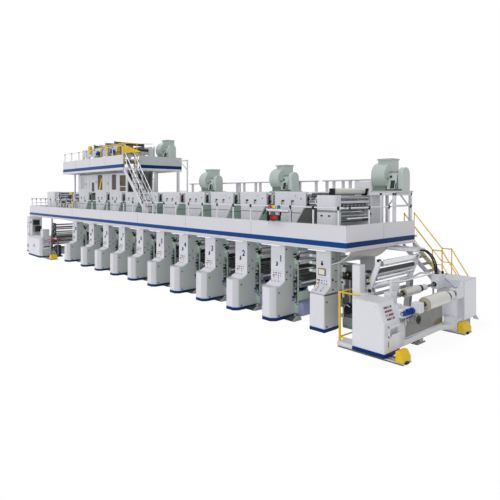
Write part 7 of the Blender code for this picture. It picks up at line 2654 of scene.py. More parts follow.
    def _ducts(self) -> None:
        """Place the vertical ducts, braces and the outer frame below the tower's right part."""
        form = Form()
        for x, y, radius, finish in self.ducts:
            form.add(finish, rod(Axis.Z, x, y, radius, HOOD_TOP, self.low + 0.005, 24),
                *[rod(Axis.Z, x, y, radius + 0.012, 4.1 + 0.3 * k, 4.115 + 0.3 * k, 24) for k in range(4)])
        form.add(HOOD_WHITE, block((-13.40, 3.55, 5.66), (-12.58, 3.61, 5.72), 0.004),
            block((-12.66, 3.55, DECK_TOP + 0.001), (-12.60, 3.61, 5.70), 0.004),
            block((-13.40, 3.555, 4.06), (-12.64, 3.60, 4.10), 0.003),
            square_bar([(-13.30, 3.58, 5.68), (-12.66, 3.58, 5.20)], 0.04))
        form.add(PALE_GREEN, block((-20.9, 1.3, HOOD_TOP), (-20.5, 3.2, self.low + 0.005), 0.005),
            block((-20.4, 1.4, HOOD_TOP), (-20.3, 3.3, self.low + 0.005), 0.005))
        form.add(DARK_STEEL, block((-15.2, 1.4, HOOD_TOP), (-15.1, 3.3, self.low + 0.005), 0.005))
        form.add(SCREEN, *[block((-15.09, 1.5 + 0.6 * k, 4.1), (-15.085, 2.0 + 0.6 * k, 5.0))
            for k in range(3)])
        form.add(DARK_STEEL, *[rod(Axis.Y, x, 4.35, 0.07, 1.3, 3.3, 18) for x in (-19.7, -18.2, -17.3,
            -15.6)])
        form.piece("tower_ducts", "fascia_enamel")


# Infeed end


@dataclass
class Infeed:
    """The left end: infeed roller station, unwinder stand, unwinding roll and electric cabinet."""

    left: float = -25.66
    cabinet_right: float = -24.26
    right: float = -21.40
    top: float = 4.06
    console_left: float = -24.20
    console_right: float = -22.00
    console_front: float = -0.78
    console_rear: float = -0.14
    console_top: float = 1.31
    reel_z: float = 1.05
    reel_x: float = -23.10
    reel_y: float = 1.23
    electric_left: float = -26.10
    electric_right: float = -25.62
    electric_front: float = -0.32
    electric_rear: float = 0.50
    station_caps: tuple[Flat, ...] = ((-24.0, 3.80), (-23.3, 3.80), (-22.6, 3.80), (-23.9, 3.05),
        (-22.9, 3.05), (-21.9, 3.05))
    station_rollers: tuple[Flat, ...] = ((-25.2, 3.85), (-24.6, 3.55), (-24.0, 3.85), (-23.4, 3.45),
        (-22.8, 3.85), (-22.1, 3.65))
    front_bars: tuple[RoundPiece, ...] = ((-23.55, 3.86, 1.5, TANK_BLUE), (-23.55, 3.74, 1.3, STEEL),
        (-23.3, 3.60, 1.2, TANK_BLUE), (-23.6, 3.46, 1.1, STEEL), (-22.6, 3.36, 0.7, BRIGHT_STEEL))
    front_boxes: tuple[Place, ...] = ((-23.5, 3.15, 0.10), (-23.1, 2.92, 0.12), (-22.55, 3.12, 0.08),
        (-22.2, 2.86, 0.10), (-23.62, 2.80, 0.09))
    reel_rollers: tuple[Button, ...] = ((-22.15, 1.98, BRIGHT_STEEL), (-21.95, 1.84, RUBBER),
        (-22.2, 1.70, BRIGHT_STEEL), (-21.9, 1.56, STEEL), (-22.15, 1.42, BRIGHT_STEEL),
        (-21.75, 1.24, RUBBER))

    def build(self) -> None:
        """Place the infeed's pieces."""
        self._station()
        self._unwinder()
        self._electric()

    def _station(self) -> None:
        """Place the roller station on the deck."""
        floor = DECK_TOP + SEAT
        form = Form().add(HOOD_WHITE, block((self.left, 0.88, floor), (self.cabinet_right, 1.30, self.top),
            0.005), block((self.left, 2.80, floor), (self.right, 3.20, self.top - 0.02), 0.005))
        holes = [(x - 0.10, 3.42, x + 0.10, 3.62) for x in (-23.6, -22.9, -22.2)]
        form.add(HOOD_WHITE, pierced((self.cabinet_right - 0.02, floor, self.right, self.top - 0.03), holes,
            Axis.Y, 1.08, 1.16))
        for low, high in ((2.60, 3.20), (3.24, 3.98)):
            form.add(PANEL_WHITE, block((self.left + 0.03, 0.872, low), (-24.98, 0.884, high), 0.002),
                block((-24.94, 0.872, low), (self.cabinet_right - 0.03, 0.884, high), 0.002))
        for x in (-25.02, -24.90):
            form.add(BLACK_PLASTIC, block((x - 0.012, 0.858, 2.95), (x + 0.012, 0.874, 3.07), 0.003))
        for x, z in self.station_caps:
            form.add(CASTING, rod(Axis.Y, x, z, 0.07, 1.05, 1.085, 18))
            form.add(BLACK_PLASTIC, rod(Axis.Y, x, z, 0.03, 1.03, 1.055, 12))
        for index, (x, z) in enumerate(self.station_rollers):
            form.add((BRIGHT_STEEL, TANK_BLUE, STEEL)[index % 3], rod(Axis.Y, x, z, 0.07, 1.32, 2.76, 20,
                0.005))
            form.add(DARK_STEEL, rod(Axis.Y, x, z, 0.03, 1.10, 2.81, 12))
        form.add(SAFETY_YELLOW, block((-22.0, 0.98, 3.86), (-21.6, 1.09, 4.02), 0.006),
            block((-23.0, 1.03, 2.60), (-22.4, 1.09, 2.72), 0.005), block((self.right - 0.02, 1.2, 3.4),
            (self.right - 0.001, 2.7, 3.5), 0.003))
        form.add(RECESS_SHADE_DARK, block((-23.95, 1.060, 3.30), (-21.75, 1.078, 3.96), 0.004))
        form.add(CASTING, block((-24.0, 1.02, 3.97), (-21.5, 1.08, 4.04), 0.006),
            *[block((x, 1.03, 2.56), (x + 0.10, 1.075, 3.96), 0.006) for x in (-23.72, -22.86, -21.72)])
        for x, z, length, finish in self.front_bars:
            form.add(finish, rod(Axis.X, 1.035, z, 0.035, x, x + length, 14))
        for x, z, size in self.front_boxes:
            form.add(BLACK_PLASTIC, block((x - size, 1.03, z - size), (x + size, 1.082, z + size), 0.01))
            form.add(STEEL, rod(Axis.Y, x, z, size * 0.5, 1.0, 1.035, 16))
        form.add(SAFETY_YELLOW, block((-23.02, 1.01, 2.70), (-22.96, 1.06, 3.24), 0.005),
            block((-22.96, 1.01, 2.86), (-22.44, 1.05, 2.93), 0.005),
            block((-21.70, 1.0, 2.62), (-21.55, 1.06, 3.62), 0.006),
            block((-22.6, 1.01, 2.64), (-22.50, 1.05, 2.90), 0.005))
        form.piece("infeed_station", "roller_steel", ["infeed_roller_station"])

    def _unwinder(self) -> None:
        """Place the unwinder's console, its rear frame, the monitors and the roll."""
        form = Form()
        self._console(form)
        self._console_controls(form)
        self._reel_side(form)
        self._monitors(form)
        self._reel_frame(form)
        form.piece("unwinder_console", "stand_enamel", ["unwinder_stand"])
        stop = Form().add(SAFETY_YELLOW,
            prism([(-20.95, 0.0), (-20.65, 0.0), (-20.70, 0.22), (-20.95, 0.28)], Axis.Y, -0.60, -0.22,
            0.01))
        stop.add(CASTING, block((-22.0, -0.64, 0.0), (-20.62, -0.18, 0.035), 0.004))
        stop.piece("unwinder_stop", "safety_yellow")
        roll = wound_roll(-1.3647, 1.3647, -0.9147, 0.9147, 0.34)
        roll.piece("unwinding_roll", "wound_film", ["unwind_roll"], "unwind_roll_body",
            (self.reel_x, self.reel_y, self.reel_z))

    def _console(self, form: Form) -> None:
        """Add the console's body, its kick plate and its doors.

        Args:
            form: where they go.
        """
        left, right, top = self.console_left, self.console_right, self.console_top
        near, far = self.console_front, self.console_rear
        plan = [(left, near), (right - 0.12, near), (right, near + 0.12), (right, far), (left, far)]
        form.add(STAND_GREY, prism(plan, Axis.Z, 0.10, 1.15, 0.005),
            prism([(near + 0.03, 1.14), (far, 1.14), (far, top), (near + 0.20, top), (near + 0.03, 1.18)],
            Axis.X, left + 0.02, right - 0.02, 0.005))
        kick = [(left - 0.004, near - 0.004), (right - 0.12, near - 0.004), (right + 0.004, near + 0.12),
            (right + 0.004, far), (left - 0.004, far)]
        form.add(KICK_BLUE, prism(kick, Axis.Z, 0.0, 0.10, 0.003), block((left - 0.004, 2.60, 0.0),
            (right + 0.004, 3.404, 0.10), 0.003))
        for x0, x1 in ((left + 0.03, -23.12), (-23.08, right - 0.15)):
            form.add(PANEL_WHITE, block((x0, near - 0.004, 0.13), (x1, near + 0.004, 1.12), 0.002))
        form.add(SIDE_SHADE_GREY, block((right - 0.001, near + 0.15, 0.13), (right + 0.004, far - 0.02, 1.10),
            0.002))
        for x in (-23.2, -23.0):
            form.add(BLACK_PLASTIC, block((x - 0.012, near - 0.02, 0.60), (x + 0.012, near - 0.002, 0.74),
                0.003))

    def _console_controls(self, form: Form) -> None:
        """Add the buttons, the shelf and the label on the console's right side.

        Args:
            form: where they go.
        """
        right = self.console_right
        caps = (BUTTON_RED, BUTTON_BLUE, BUTTON_GREY, BUTTON_YELLOW, BUTTON_BLUE)
        form.add(PANEL_WHITE, block((right - 0.001, -0.62, 0.84), (right + 0.006, -0.18, 1.14), 0.002))
        for row in range(4):
            for column in range(5):
                y, z = -0.58 + 0.085 * column, 0.89 + 0.07 * row
                form.add(caps[(2 * row + column) % 5],
                    turned(Axis.X, y, z, [(right, 0.03), (right + 0.02, 0.03), (right + 0.024, 0.022)], 12))
        form.add(HOOD_WHITE, prism([(right, 0.50), (right + 0.12, 0.54), (right + 0.13, 0.64),
            (right + 0.10, 0.58), (right, 0.58)], Axis.Y, -0.60, -0.20, 0.004),
            block((right, -0.60, 0.70), (right + 0.08, -0.20, 0.74), 0.006))
        form.add(RECESS_SHADE_DARK, block((right + 0.004, -0.56, 0.58), (right + 0.009, -0.24, 0.70)))
        form.add(CASTING, block((right + 0.004, -0.58, 0.26), (right + 0.02, -0.55, 0.42), 0.004))
        form.add(BUTTON_YELLOW, block((right + 0.005, -0.58, 0.20), (right + 0.010, -0.53, 0.235)))

    def _reel_side(self, form: Form) -> None:
        """Add the rollers, the post and the drive parts between the console and the first unit.

        Args:
            form: where they go.
        """
        for x, z, finish in self.reel_rollers:
            form.add(finish, rod(Axis.Y, x, z, 0.05, 0.10, 2.52, 18, 0.006))
            form.add(DARK_STEEL, rod(Axis.Y, x, z, 0.022, 0.02, 2.60, 10))
            form.add(CASTING, block((x - 0.06, 0.03, z - 0.06), (x + 0.06, 0.09, z + 0.06), 0.01))
        form.add(HOOD_WHITE, block((-22.42, 0.0, 0.0), (-22.32, 0.10, FRAME_TOP), 0.006),
            block((-22.40, 0.04, 1.10), (-21.66, 0.09, 1.18), 0.004))
        form.add(RECESS_SHADE_DARK, block((-22.35, 0.05, 1.18), (-21.70, 0.07, 2.10), 0.004),
            block((-22.30, 0.10, 0.0), (-21.72, 0.50, 0.06), 0.006),
            block((-22.1, 0.12, 0.06), (-21.8, 0.42, 0.72), 0.02))
        form.add(DARK_STEEL, rod(Axis.Y, -21.95, 0.55, 0.16, 0.06, 0.12, 22),
            rod(Axis.Y, -22.15, 0.86, 0.10, 0.05, 0.12, 20), rod(Axis.Z, -21.78, 0.2, 0.04, 0.06, 1.10, 12),
            rod(Axis.X, 0.2, 0.90, 0.03, -22.3, -21.7, 12))
        form.add(STEEL,
            tube(smooth_line([(-22.2, 0.08, 0.30), (-22.0, 0.02, 0.42), (-21.85, 0.06, 0.30),
            (-21.75, 0.1, 0.12)], 5), 0.02, 8))

    def _monitors(self, form: Form) -> None:
        """Add the tall cabinet with its monitors and the box on the console.

        Args:
            form: where they go.
        """
        left, top = self.console_left, self.console_top
        form.add(STAND_GREY, block((left + 0.01, -0.72, top - 0.01), (-23.72, -0.24, 2.30), 0.006),
            block((left, -0.74, 2.28), (-23.70, -0.22, 2.36), 0.005), block((-22.50, -0.60, top - 0.01),
            (-22.06, -0.22, 1.72), 0.008))
        form.add(PANEL_WHITE, block((-22.48, -0.606, top + 0.02), (-22.08, -0.598, 1.70), 0.002))
        form.add(BLACK_PLASTIC, block((-23.72, -0.68, 1.94), (-23.58, -0.30, 2.24), 0.01),
            block((-23.70, -0.66, 1.52), (-23.30, -0.28, 1.86), 0.01),
            block((-22.30, -0.612, 1.62), (-22.24, -0.60, 1.68), 0.003))
        form.add(SCREEN, block((-24.08, -0.726, 2.02), (-23.84, -0.718, 2.16)),
            block((-23.66, -0.665, 1.56), (-23.34, -0.659, 1.82)))
        form.add(RECESS_SHADE_DARK, *[block((-23.582, -0.65 + 0.12 * k, 1.97), (-23.575, -0.56 + 0.12 * k, 2.21))
            for k in range(3)],
            *[block((-23.302, -0.63 + 0.12 * k, 1.55), (-23.295, -0.54 + 0.12 * k, 1.83))
            for k in range(3)])

    def _reel_frame(self, form: Form) -> None:
        """Add the rear frame, the floor beams and the roll's bearings.

        Args:
            form: where they go.
        """
        left, right, far = self.console_left, self.console_right, self.console_rear
        form.add(STAND_GREY, block((left, 2.60, 0.10), (right, 3.40, FRAME_TOP), 0.006),
            *[block((x, far - 0.02, 0.12), (x + 0.25, 2.62, 0.34), 0.006) for x in (left + 0.1,
            right - 0.35)])
        form.add(PANEL_WHITE,
            *[block((left + 0.04 + 0.73 * k, 3.395, 0.14), (left + 0.70 + 0.73 * k, 3.404, 2.30), 0.002)
            for k in range(3)])
        for y, inner in ((far - 0.05, far), (2.60, 2.65)):
            form.add(CASTING, rod(Axis.Y, self.reel_x, self.reel_z, 0.13, y, inner, 22))
        form.add(DARK_STEEL, *[rod(Axis.Y, x, z, 0.05, far - 0.01, 2.61, 16) for x, z in ((-22.2, 0.55),
            (-22.15, 0.95), (-23.9, 0.6))])
        form.add(BUTTON_RED, block((-21.98, -0.16, 1.02), (-21.90, 0.40, 1.10), 0.01))

    def _electric(self) -> None:
        """Place the electric cabinet at the far left end."""
        left, right = self.electric_left, self.electric_right
        near, far = self.electric_front, self.electric_rear
        form = Form().add(STAND_GREY, block((left, near, 0.08), (right, far, FRAME_TOP), 0.006))
        form.add(KICK_BLUE, block((left - 0.003, near - 0.003, 0.0), (right + 0.003, far + 0.003, 0.08),
            0.003))
        form.add(PANEL_WHITE, block((left + 0.02, near - 0.008, 0.10), (right - 0.02, near + 0.002, 2.34),
            0.003), block((right - 0.002, near + 0.03, 0.12), (right + 0.005, far - 0.03, 2.34), 0.002))
        form.add(BUTTON_GREY, block((left + 0.08, near - 0.014, 1.62), (left + 0.24, near - 0.006, 1.80),
            0.003))
        form.add(BLACK_PLASTIC, block((right - 0.09, near - 0.026, 1.12),
            (right - 0.065, near - 0.006, 1.28), 0.004), rod(Axis.Y, left + 0.30, 1.95, 0.04, near - 0.03,
            near - 0.006, 16))
        form.add(RECESS_SHADE_DARK,
            *[block((left + 0.08, near - 0.011, 0.30 + 0.04 * k),
            (right - 0.08, near - 0.006, 0.318 + 0.04 * k)) for k in range(6)])
        form.piece("power_cabinet", "stand_enamel", ["electric_cabinet"])


def wound_roll(start: float, end: float, face_start: float, face_end: float, radius: float,
        clamp: float = 0.0) -> Form:
    """Return a roll of film on its core, spindle and chucks, centred on its axis along Y.

    Args:
        start: the spindle's first end.
        end: its other end.
        face_start: the film's first side.
        face_end: its other side.
        radius: the film's radius.
        clamp: the length of the black expanding clamp beyond the film's other side.

    Returns:
        The form.
    """
    form = Form()
    if clamp:
        wide = min(0.135, radius - 0.012)
        rings = [(face_end + clamp * k / 3 + 0.004, face_end + clamp * (k + 1) / 3 - 0.012)
            for k in range(3)]
        form.add(BLACK_PLASTIC, *[rod(Axis.Y, 0, 0, wide - 0.004 * k, low, high, 24, 0.01)
            for k, (low, high) in enumerate(rings)])
        form.add(HOOD_WHITE, rod(Axis.Y, 0, 0, wide - 0.02, face_end + clamp - 0.01,
            min(face_end + clamp + 0.25, end - 0.03), 24, 0.01))
    form.add(FILM, turned(Axis.Y, 0, 0, [(face_start + 0.001, 0.09), (face_start, radius - 0.006),
        (face_start + 0.006, radius), (face_end - 0.006, radius), (face_end, radius - 0.006),
        (face_end - 0.001, 0.09)], 56))
    for side, face in ((-1, face_start), (1, face_end)):
        ring = sorted((face - side * 0.002, face + side * 0.0025))
        form.add(FILM_END, turned(Axis.Y, 0, 0, [(ring[0], radius - 0.010), (ring[1], radius - 0.010)], 56))
        ring = sorted((face, face + side * 0.016))
        form.add(CARD, turned(Axis.Y, 0, 0, [(ring[0], 0.088), (ring[1], 0.088)], 32))
        ring = sorted((face + side * 0.010, face + side * 0.078))
        form.add(BLACK_PLASTIC, turned(Axis.Y, 0, 0, [(ring[0], 0.062), (ring[1], 0.058)], 28))
        for step in range(4):
            turn = math.pi / 2 * step + 0.4
            u, v = 0.06 * math.cos(turn), 0.06 * math.sin(turn)
            form.add(STEEL, rod(Axis.Y, u, v, 0.012, ring[0] + 0.004, ring[1] - 0.004, 8))
    form.add(DARK_STEEL, turned(Axis.Y, 0, 0, [(start, 0.036), (start + 0.004, 0.039), (end - 0.004, 0.039),
        (end, 0.036)], 20))
    return form


# Rewinder


@dataclass
class Rewinder:
    """The rewinder at the right end: cabinets on tracks, rolls, gearbox, web guide and guards."""

    left: float = 0.62
    right: float = 1.53
    front: float = -0.60
    rear: float = 0.10
    knee: float = 0.84
    top_x: float = 1.35
    top: float = 1.35
    tracks: tuple[tuple[str, float, float], ...] = (("front_track", -0.58, -0.16),
        ("rear_track", 2.80, 3.30))
    cabinet_screws: tuple[Flat, ...] = ((0.68, 1.26), (1.30, 1.26), (0.68, 0.24), (1.46, 0.24))
    guide_rollers: tuple[RoundPiece, ...] = ((0.78, 2.12, 0.085, BRIGHT_STEEL), (0.66, 1.90, 0.06, RUBBER),
        (0.50, 1.46, 0.085, BRIGHT_STEEL), (0.61, 1.70, 0.07, BRIGHT_STEEL), (0.36, 0.30, 0.06, DARK_STEEL),
        (0.56, 1.80, 0.04, PANEL_WHITE), (0.40, 1.20, 0.05, STEEL), (0.38, 0.95, 0.04, DARK_STEEL))

    def build(self) -> None:
        """Place the rewinder's pieces."""
        self._tracks()
        self._cabinet()
        self._rear_frame()
        self._web_guide()
        self._guard_panel()
        roll = wound_roll(-0.9547, 0.9547, -0.7547, 0.36, 0.18, 0.20)
        roll.piece("rewinding_roll", "wound_film", ["rewind_roll"], "rewind_roll_body",
            (1.70, 1.8147, 1.12))
        roll = wound_roll(-1.1197, 1.1197, -0.6147, 0.145, 0.118, 0.17)
        roll.piece("inner_wound_roll", "wound_film", ["inner_roll"], "inner_roll_body",
            (1.16, 1.5747, 1.33))

    def _tracks(self) -> None:
        """Place both floor tracks with their yellow end bumpers."""
        for name, near, far in self.tracks:
            form = Form().add(STAND_GREY, block((0.14, near, 0.0), (1.99, far, 0.014), 0.003),
                *[block((0.14, y, 0.02), (1.99, y + 0.05, 0.05), 0.004) for y in (near + 0.03, far - 0.08)],
                block((0.14, near + 0.16, 0.02), (1.99, far - 0.16, 0.04), 0.003))
            form.add(RECESS_SHADE_DARK, block((0.142, near + 0.004, 0.012), (1.986, far - 0.004, 0.018)))
            form.add(SAFETY_YELLOW, prism([(1.79, 0.045), (1.98, 0.045), (1.98, 0.16), (1.90, 0.30),
                (1.79, 0.30)], Axis.Y, near + 0.02, far - 0.02, 0.008))
            form.add(BLACK_PLASTIC, rod(Axis.Y, 1.992, 0.036, 0.035, near + 0.14, near + 0.24, 16))
            bolt_heads(form, Axis.Z, [(x, y, 0.022) for x in (0.25, 0.7, 1.2, 1.7) for y in (near + 0.015,
                far - 0.015)], 0.008, 0.006)
            form.piece(f"{name}_rail", "track_paint", [name])

    def _cabinet(self) -> None:
        """Place the front cabinet, its column, panel, shelf, gearbox and roll bearings."""
        left, right, near, far = self.left, self.right, self.front, self.rear
        form = Form()
        side = [(left, 0.15), (right, 0.15), (right, self.knee), (self.top_x, self.top), (left, self.top)]
        form.add(FASCIA_WHITE, prism(side, Axis.Y, near, far, 0.006),
            block((0.20, 0.0, 0.10), (left + 0.02, 0.36, 1.36), 0.006),
            block((0.20, 0.0, 1.35), (0.445, 0.24, 2.08), 0.006), block((left + 0.05, far - 0.02, 0.12),
            (right - 0.05, far + 0.22, 1.20), 0.006))
        form.add(KICK_BLUE, block((left - 0.004, near - 0.004, TRACK_TOP),
            (right + 0.004, far + 0.004, 0.15), 0.003),
            block((0.196, -0.004, 0.0), (left + 0.02, 0.364, 0.10), 0.003))
        form.add(PANEL_WHITE,
            prism([(left + 0.02, 0.18), (right - 0.02, 0.18), (right - 0.02, self.knee - 0.01),
            (self.top_x - 0.02, self.top - 0.03), (left + 0.02, self.top - 0.03)], Axis.Y, near - 0.007,
            near + 0.002, 0.002), block((0.22, -0.007, 0.13), (left, 0.003, 1.34), 0.002),
            block((0.215, -0.007, 1.36), (0.43, 0.003, 2.06), 0.002),
            block((right - 0.002, near + 0.03, 0.18), (right + 0.006, far - 0.03, 0.58), 0.002))
        form.add(BLACK_PLASTIC, block((0.53, -0.02, 0.55), (0.555, -0.005, 0.67), 0.004))
        for x, z in self.cabinet_screws:
            form.add(STEEL, rod(Axis.Y, x, z, 0.012, near - 0.012, near, 10))
        self._panel(form)
        self._shelf(form)
        bolt_heads(form, Axis.Z, [(x, y, self.top) for x in (0.68, 1.28) for y in (near + 0.06,
            far - 0.06)], 0.012, 0.006)
        self._gearbox(form)
        form.add(HOOD_WHITE, block((0.15, -0.57, TRACK_TOP), (0.62, -0.17, 0.15), 0.006))
        form.add(SAFETY_YELLOW, block((0.14, -0.575, TRACK_TOP), (0.17, -0.165, 0.152), 0.004))
        self._column_fittings(form)
        form.piece("rewinder_cabinet", "stand_enamel", ["rewinder_front_cabinet"])

    def _gearbox(self, form: Form) -> None:
        """Add the gearbox with its motor and handwheel, and the rolls' bearings.

        Args:
            form: where they go.
        """
        right, far = self.right, self.rear
        form.add(HOOD_WHITE, block((1.60, 0.52, 0.98), (1.83, 0.76, 1.23), 0.010),
            block((right - 0.12, far, 0.9), (1.62, 0.54, 1.12), 0.008),
            block((1.06, 0.15, 1.05), (1.26, 0.45, 1.46), 0.008),
            block((1.07, 0.40, 1.24), (1.13, 0.80, 1.75), 0.005))
        form.add(BLACK_PLASTIC, rod(Axis.Y, 1.70, 1.12, 0.085, 0.76, 0.866, 22),
            rod(Axis.Y, 1.16, 1.33, 0.075, 0.445, 0.456, 22), rod(Axis.Y, 1.70, 1.12, 0.10, 0.79, 0.81, 22))
        bolt_heads(form, Axis.Y, [(1.715 + 0.09 * side, 0.52, 1.105 + 0.10 * up) for side in (-1, 1)
            for up in (-1, 1)], 0.010, -0.008)
        form.add(MOTOR_BLUE, rod(Axis.Y, 1.63, 1.02, 0.062, 0.10, 0.46, 22, 0.012),
            rod(Axis.Y, 1.64, 1.03, 0.085, 0.42, 0.53, 22, 0.012), rod(Axis.Y, 1.63, 1.02, 0.05, 0.03, 0.12,
            18), block((1.58, 0.22, 1.07), (1.68, 0.36, 1.11), 0.006),
            *[rod(Axis.Y, 1.63, 1.02, 0.067, 0.17 + 0.035 * k, 0.18 + 0.035 * k, 22) for k in range(7)])
        form.add(BUTTON_GREY, rod(Axis.Y, 1.63, 1.02, 0.035, 0.02, 0.035, 14))
        form.add(BLACK_PLASTIC, turned(Axis.X, 0.50, 0.84, [(1.80, 0.02), (1.805, 0.098), (1.82, 0.105),
            (1.835, 0.098), (1.84, 0.02)], 28), rod(Axis.X, 0.50, 0.84, 0.028, 1.78, 1.86, 14))
        form.add(STEEL, rod(Axis.X, 0.50, 0.84, 0.016, 1.56, 1.80, 12), rod(Axis.Y, 1.66, 0.86, 0.022, 0.22,
            0.56, 12), hoop(Axis.Y, (1.62, 0.30, 0.86), 0.04, 0.012, 16),
            rod(Axis.Z, 1.60, 0.26, 0.02, 0.70, 0.92, 10))
        form.add(CASTING, block((1.52, 0.40, 0.78), (1.72, 0.56, 0.90), 0.008),
            block((1.52, 0.14, 0.78), (1.60, 0.44, 0.83), 0.006), rod(Axis.X, 0.34, 0.80, 0.035, 1.52, 1.64,
            16))

    def _column_fittings(self, form: Form) -> None:
        """Add the black cap on the cabinet, and the valves and the pipe beside the column.

        Args:
            form: where they go.
        """
        form.add(BLACK_PLASTIC, rod(Axis.Z, 0.58, 0.24, 0.04, self.top, 1.44, 16),
            block((0.46, 0.245, 1.55), (0.53, 0.34, 1.60), 0.008),
            block((0.46, 0.25, 1.70), (0.50, 0.34, 1.76), 0.006),
            block((0.46, 0.25, 1.86), (0.56, 0.36, 1.93), 0.006))
        form.add(STEEL,
            tube(smooth_line([(0.46, 0.28, 1.42), (0.44, 0.27, 1.52), (0.50, 0.28, 1.62),
            (0.46, 0.28, 1.74)], 5), 0.012, 8))

    def _panel(self, form: Form) -> None:
        """Add the sloping button panel on the cabinet's right side.

        Args:
            form: where it goes.
        """
        foot, head = Vector((self.right, 0.0, self.knee)), Vector((self.top_x, 0.0, self.top))
        along = (head - foot).normalized()
        out = Vector((along.z, 0.0, -along.x))

        def on_slope(share: float, proud: float) -> Flat:
            """Return the (X, Z) point at a share of the slope's height."""
            point = foot.lerp(head, share) + out * proud
            return (point.x, point.z)

        sheet = [on_slope(0.06, -0.002), on_slope(0.06, 0.008), on_slope(0.94, 0.008),
            on_slope(0.94, -0.002)]
        form.add(PANEL_WHITE, prism(sheet, Axis.Y, self.front + 0.03, self.rear - 0.03, 0.002))
        caps = (BUTTON_RED, BUTTON_BLUE, BUTTON_GREY, BUTTON_YELLOW, BUTTON_BLUE, BUTTON_RED)
        for row in range(4):
            for column in range(5):
                share = 0.20 + 0.17 * row
                y = self.front + 0.19 + 0.07 * column
                x, z = on_slope(share, 0.008)
                tip_x, tip_z = on_slope(share, 0.024)
                form.add(BLACK_PLASTIC,
                    tube([(x - out.x * 0.004, y, z - out.z * 0.004),
                    (x + out.x * 0.006, y, z + out.z * 0.006)], 0.028, 12))
                form.add(caps[(row * 2 + column) % 6], tube([(x, y, z), (tip_x, y, tip_z)], 0.024, 12))

    def _shelf(self, form: Form) -> None:
        """Add the handle shelf below the panel.

        Args:
            form: where it goes.
        """
        near, far, right = -0.44, -0.04, self.right
        form.add(RECESS_SHADE_GREY, block((right + 0.004, near + 0.02, 0.58), (right + 0.009, far - 0.02, 0.78),
            0.002))
        form.add(CASTING, block((right + 0.005, near + 0.02, 0.60), (right + 0.011, near + 0.07, 0.76),
            0.002))
        form.add(HOOD_WHITE, prism([(right, 0.76), (right + 0.06, 0.74), (right + 0.065, 0.755),
            (right, 0.81)], Axis.Y, near, far, 0.003),
            prism([(right, 0.50), (right + 0.10, 0.53), (right + 0.12, 0.62), (right + 0.105, 0.62),
            (right + 0.09, 0.56), (right, 0.56)], Axis.Y, near, far + 0.02, 0.003),
            block((right, near, 0.52), (right + 0.05, near + 0.02, 0.80), 0.003),
            block((right, far - 0.02, 0.52), (right + 0.07, far, 0.80), 0.003))
        form.add(CASTING, block((right + 0.004, near - 0.01, 0.29), (right + 0.022, near + 0.02, 0.44),
            0.005))
        form.add(BUTTON_YELLOW, block((right + 0.005, near - 0.01, 0.235),
            (right + 0.010, near + 0.03, 0.265)))

    def _rear_frame(self) -> None:
        """Place the rear cabinet, the base beam, its feet, the terminal box and the bearings."""
        form = Form()
        left, right, near, far = 1.00, 1.81, 3.21, 4.06
        form.add(STAND_GREY, block((left, near, 0.31), (right, far, 1.45), 0.006))
        form.add(PANEL_WHITE, block((left, near - 0.012, 0.31), (1.60, near - 0.002, 1.16), 0.003),
            block((1.70, near - 0.014, 1.27), (1.76, near, 1.42), 0.006))
        form.add(STEEL, rod(Axis.Y, 1.74, 1.20, 0.035, 2.72, 2.80, 16))
        form.add(BUTTON_BLUE,
            tube(smooth_line([(1.28, 3.10, 1.46), (1.45, 3.05, 1.36), (1.66, 2.90, 1.28),
            (1.78, 2.85, 1.33)], 6), 0.008, 8))
        form.add(PANEL_WHITE, block((right - 0.002, near + 0.02, 0.33), (right + 0.006, far - 0.02, 1.43),
            0.002), block((left + 0.03, near - 0.005, 0.36), (1.40, near + 0.003, 1.15), 0.002),
            block((left + 0.03, far - 0.003, 0.35), (right - 0.06, far + 0.006, 1.18), 0.002))
        beam = [(1.38, 0.32 + SEAT), (1.51, 0.32 + SEAT), (1.51, 2.29), (1.76, 2.86), (1.76, 3.27),
            (1.45, 3.27), (1.38, 2.29)]
        form.add(HOOD_WHITE, prism(beam, Axis.Z, 0.14, 0.29, 0.006), block((1.36, 2.84, TRACK_TOP),
            (1.765, 3.28, 0.40), 0.006), block((1.55, 2.78, 0.98), (1.80, 3.23, 1.26), 0.01),
            block((1.06, 2.70, 1.20), (1.26, 3.23, 1.44), 0.008),
            block((1.01, 2.80, 1.22), (1.25, 3.23, 1.60), 0.008))
        form.add(RECESS_SHADE_DARK, block((1.30, 1.06, 0.0), (1.50, 1.50, 0.02), 0.003))
        form.add(STAND_GREY, *[block((x, 1.06, 0.02), (x + 0.03, 1.50, 0.034), 0.003) for x in (1.31, 1.385,
            1.46)])
        form.add(CASTING, block((1.40, 1.20, 0.02), (1.50, 1.36, 0.15), 0.006),
            block((1.30, 3.5, 0.0), (1.70, 3.9, 0.32), 0.008))
        form.add(BLACK_PLASTIC, rod(Axis.Y, 1.70, 1.12, 0.07, 2.774, 2.785, 22),
            rod(Axis.Y, 1.16, 1.33, 0.07, 2.694, 2.705, 22), block((1.20, 3.06, 1.60), (1.26, 3.12, 1.68),
            0.01), *[rod(Axis.Z, 1.12, y, 0.036, 1.595, 1.625, 16) for y in (2.92, 3.03)])
        form.piece("rewinder_drive_frame", "stand_enamel", ["rewinder_rear_frame"])

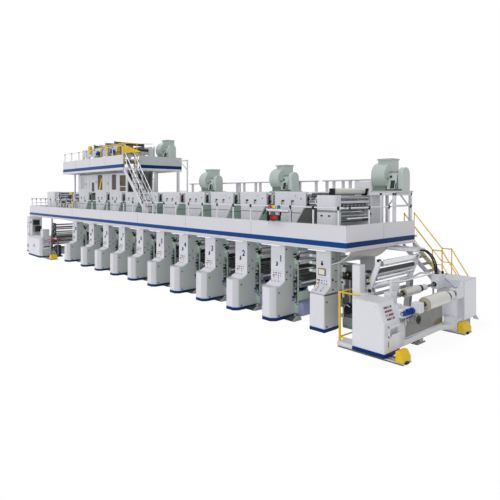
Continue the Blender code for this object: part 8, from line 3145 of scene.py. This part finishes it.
    def _web_guide(self) -> None:
        """Place the web guide plates, its rollers and the long rail."""
        outline = [(0.22, 0.0), (0.50, 0.0), (0.62, 1.40), (0.86, 2.02), (0.86, 2.22), (0.70, 2.22),
            (0.42, 1.60)]
        near, far = 0.36 + SEAT, 2.45
        arm = [(0.24, 0.0), (0.48, 0.0), (0.54, 1.40), (0.80, 2.06), (0.83, 2.20), (0.72, 2.21),
            (0.43, 1.52)]
        form = Form()
        form.add(CASTING, prism(outline[:3] + [(0.56, 1.46)], Axis.Y, far + 0.01, far + 0.05, 0.004))
        for y in (near, far):
            form.add(PANEL_WHITE, prism(arm, Axis.Y, y, y + 0.06, 0.005))
            bolt_heads(form, Axis.Y, [(0.36, y, 0.12), (0.42, y, 0.8), (0.50, y, 1.35)], 0.014, -0.008)
        for x, z, radius, finish in self.guide_rollers:
            form.add(finish, rod(Axis.Y, x, z, radius, near + 0.12, far - 0.06, 26, 0.006))
            form.add(DARK_STEEL, rod(Axis.Y, x, z, radius * 0.4, near + 0.03, far + 0.03, 14))
            form.add(CASTING, rod(Axis.Y, x, z, radius * 0.8, near + 0.05, near + 0.085, 18))
        form.add(SAFETY_YELLOW, rod(Axis.Y, 0.51, 1.68, 0.026, near - 0.008, near + 0.002, 14))
        form.add(BLACK_PLASTIC, block((0.72, near - 0.01, 2.17), (0.80, near + 0.10, 2.235), 0.008),
            block((0.66, near + 0.06, 1.84), (0.72, near + 0.14, 1.92), 0.01))
        form.add(HOOD_WHITE, square_bar([(0.56, near + 0.09, 1.46), (0.88, near + 0.09, 1.66),
            (1.10, near + 0.09, 1.68)], 0.05),
            square_bar([(0.56, far - 0.03, 1.46), (0.88, far - 0.03, 1.66), (1.20, far - 0.03, 1.68)],
            0.05))
        form.add(BRIGHT_STEEL, tube([(1.10, near + 0.07, 1.68), (1.18, 0.99, 1.66), (1.20, 2.56, 1.68)],
            0.022, 12))
        form.piece("web_guide", "roller_steel", ["web_guide_frame"])

    def _guard_panel(self) -> None:
        """Place the clear guard panel between the cabinet and the rear frame."""
        form = Form().add(CLEAR_GUARD, block((1.525, 0.36, 0.36), (1.533, 2.40, 0.93), 0.001))
        form.add(STEEL, *[block((1.515, 0.33, z), (1.540, 2.42, z + 0.025), 0.003) for z in (0.93, 0.335)],
            *[block((1.515, y, 0.335), (1.540, y + 0.025, 0.955), 0.003) for y in (0.33, 2.395)])
        form.add(HOOD_WHITE, block((1.44, 0.315, 0.28), (1.53, 0.36, 0.98), 0.004),
            *[block((1.46, y, 0.28), (1.52, y + 0.06, 0.60), 0.004) for y in (1.70, 2.35)])
        form.piece("clear_guard", "stand_enamel")


def main() -> None:
    """Build the whole scene."""
    logging.basicConfig(level=logging.INFO, format="%(name)s: %(message)s")
    Studio().build()
    RewinderHoses().build()
    for part in (PrintUnit(), DryerHood(), Platform(), Outfeed(), Blower(), RearFrame(), Tower(), Infeed(),
            Rewinder(), AccessStair(), SideGuard()):
        part.build()
    bpy.context.view_layer.update()


if __name__ == "__main__":
    main()
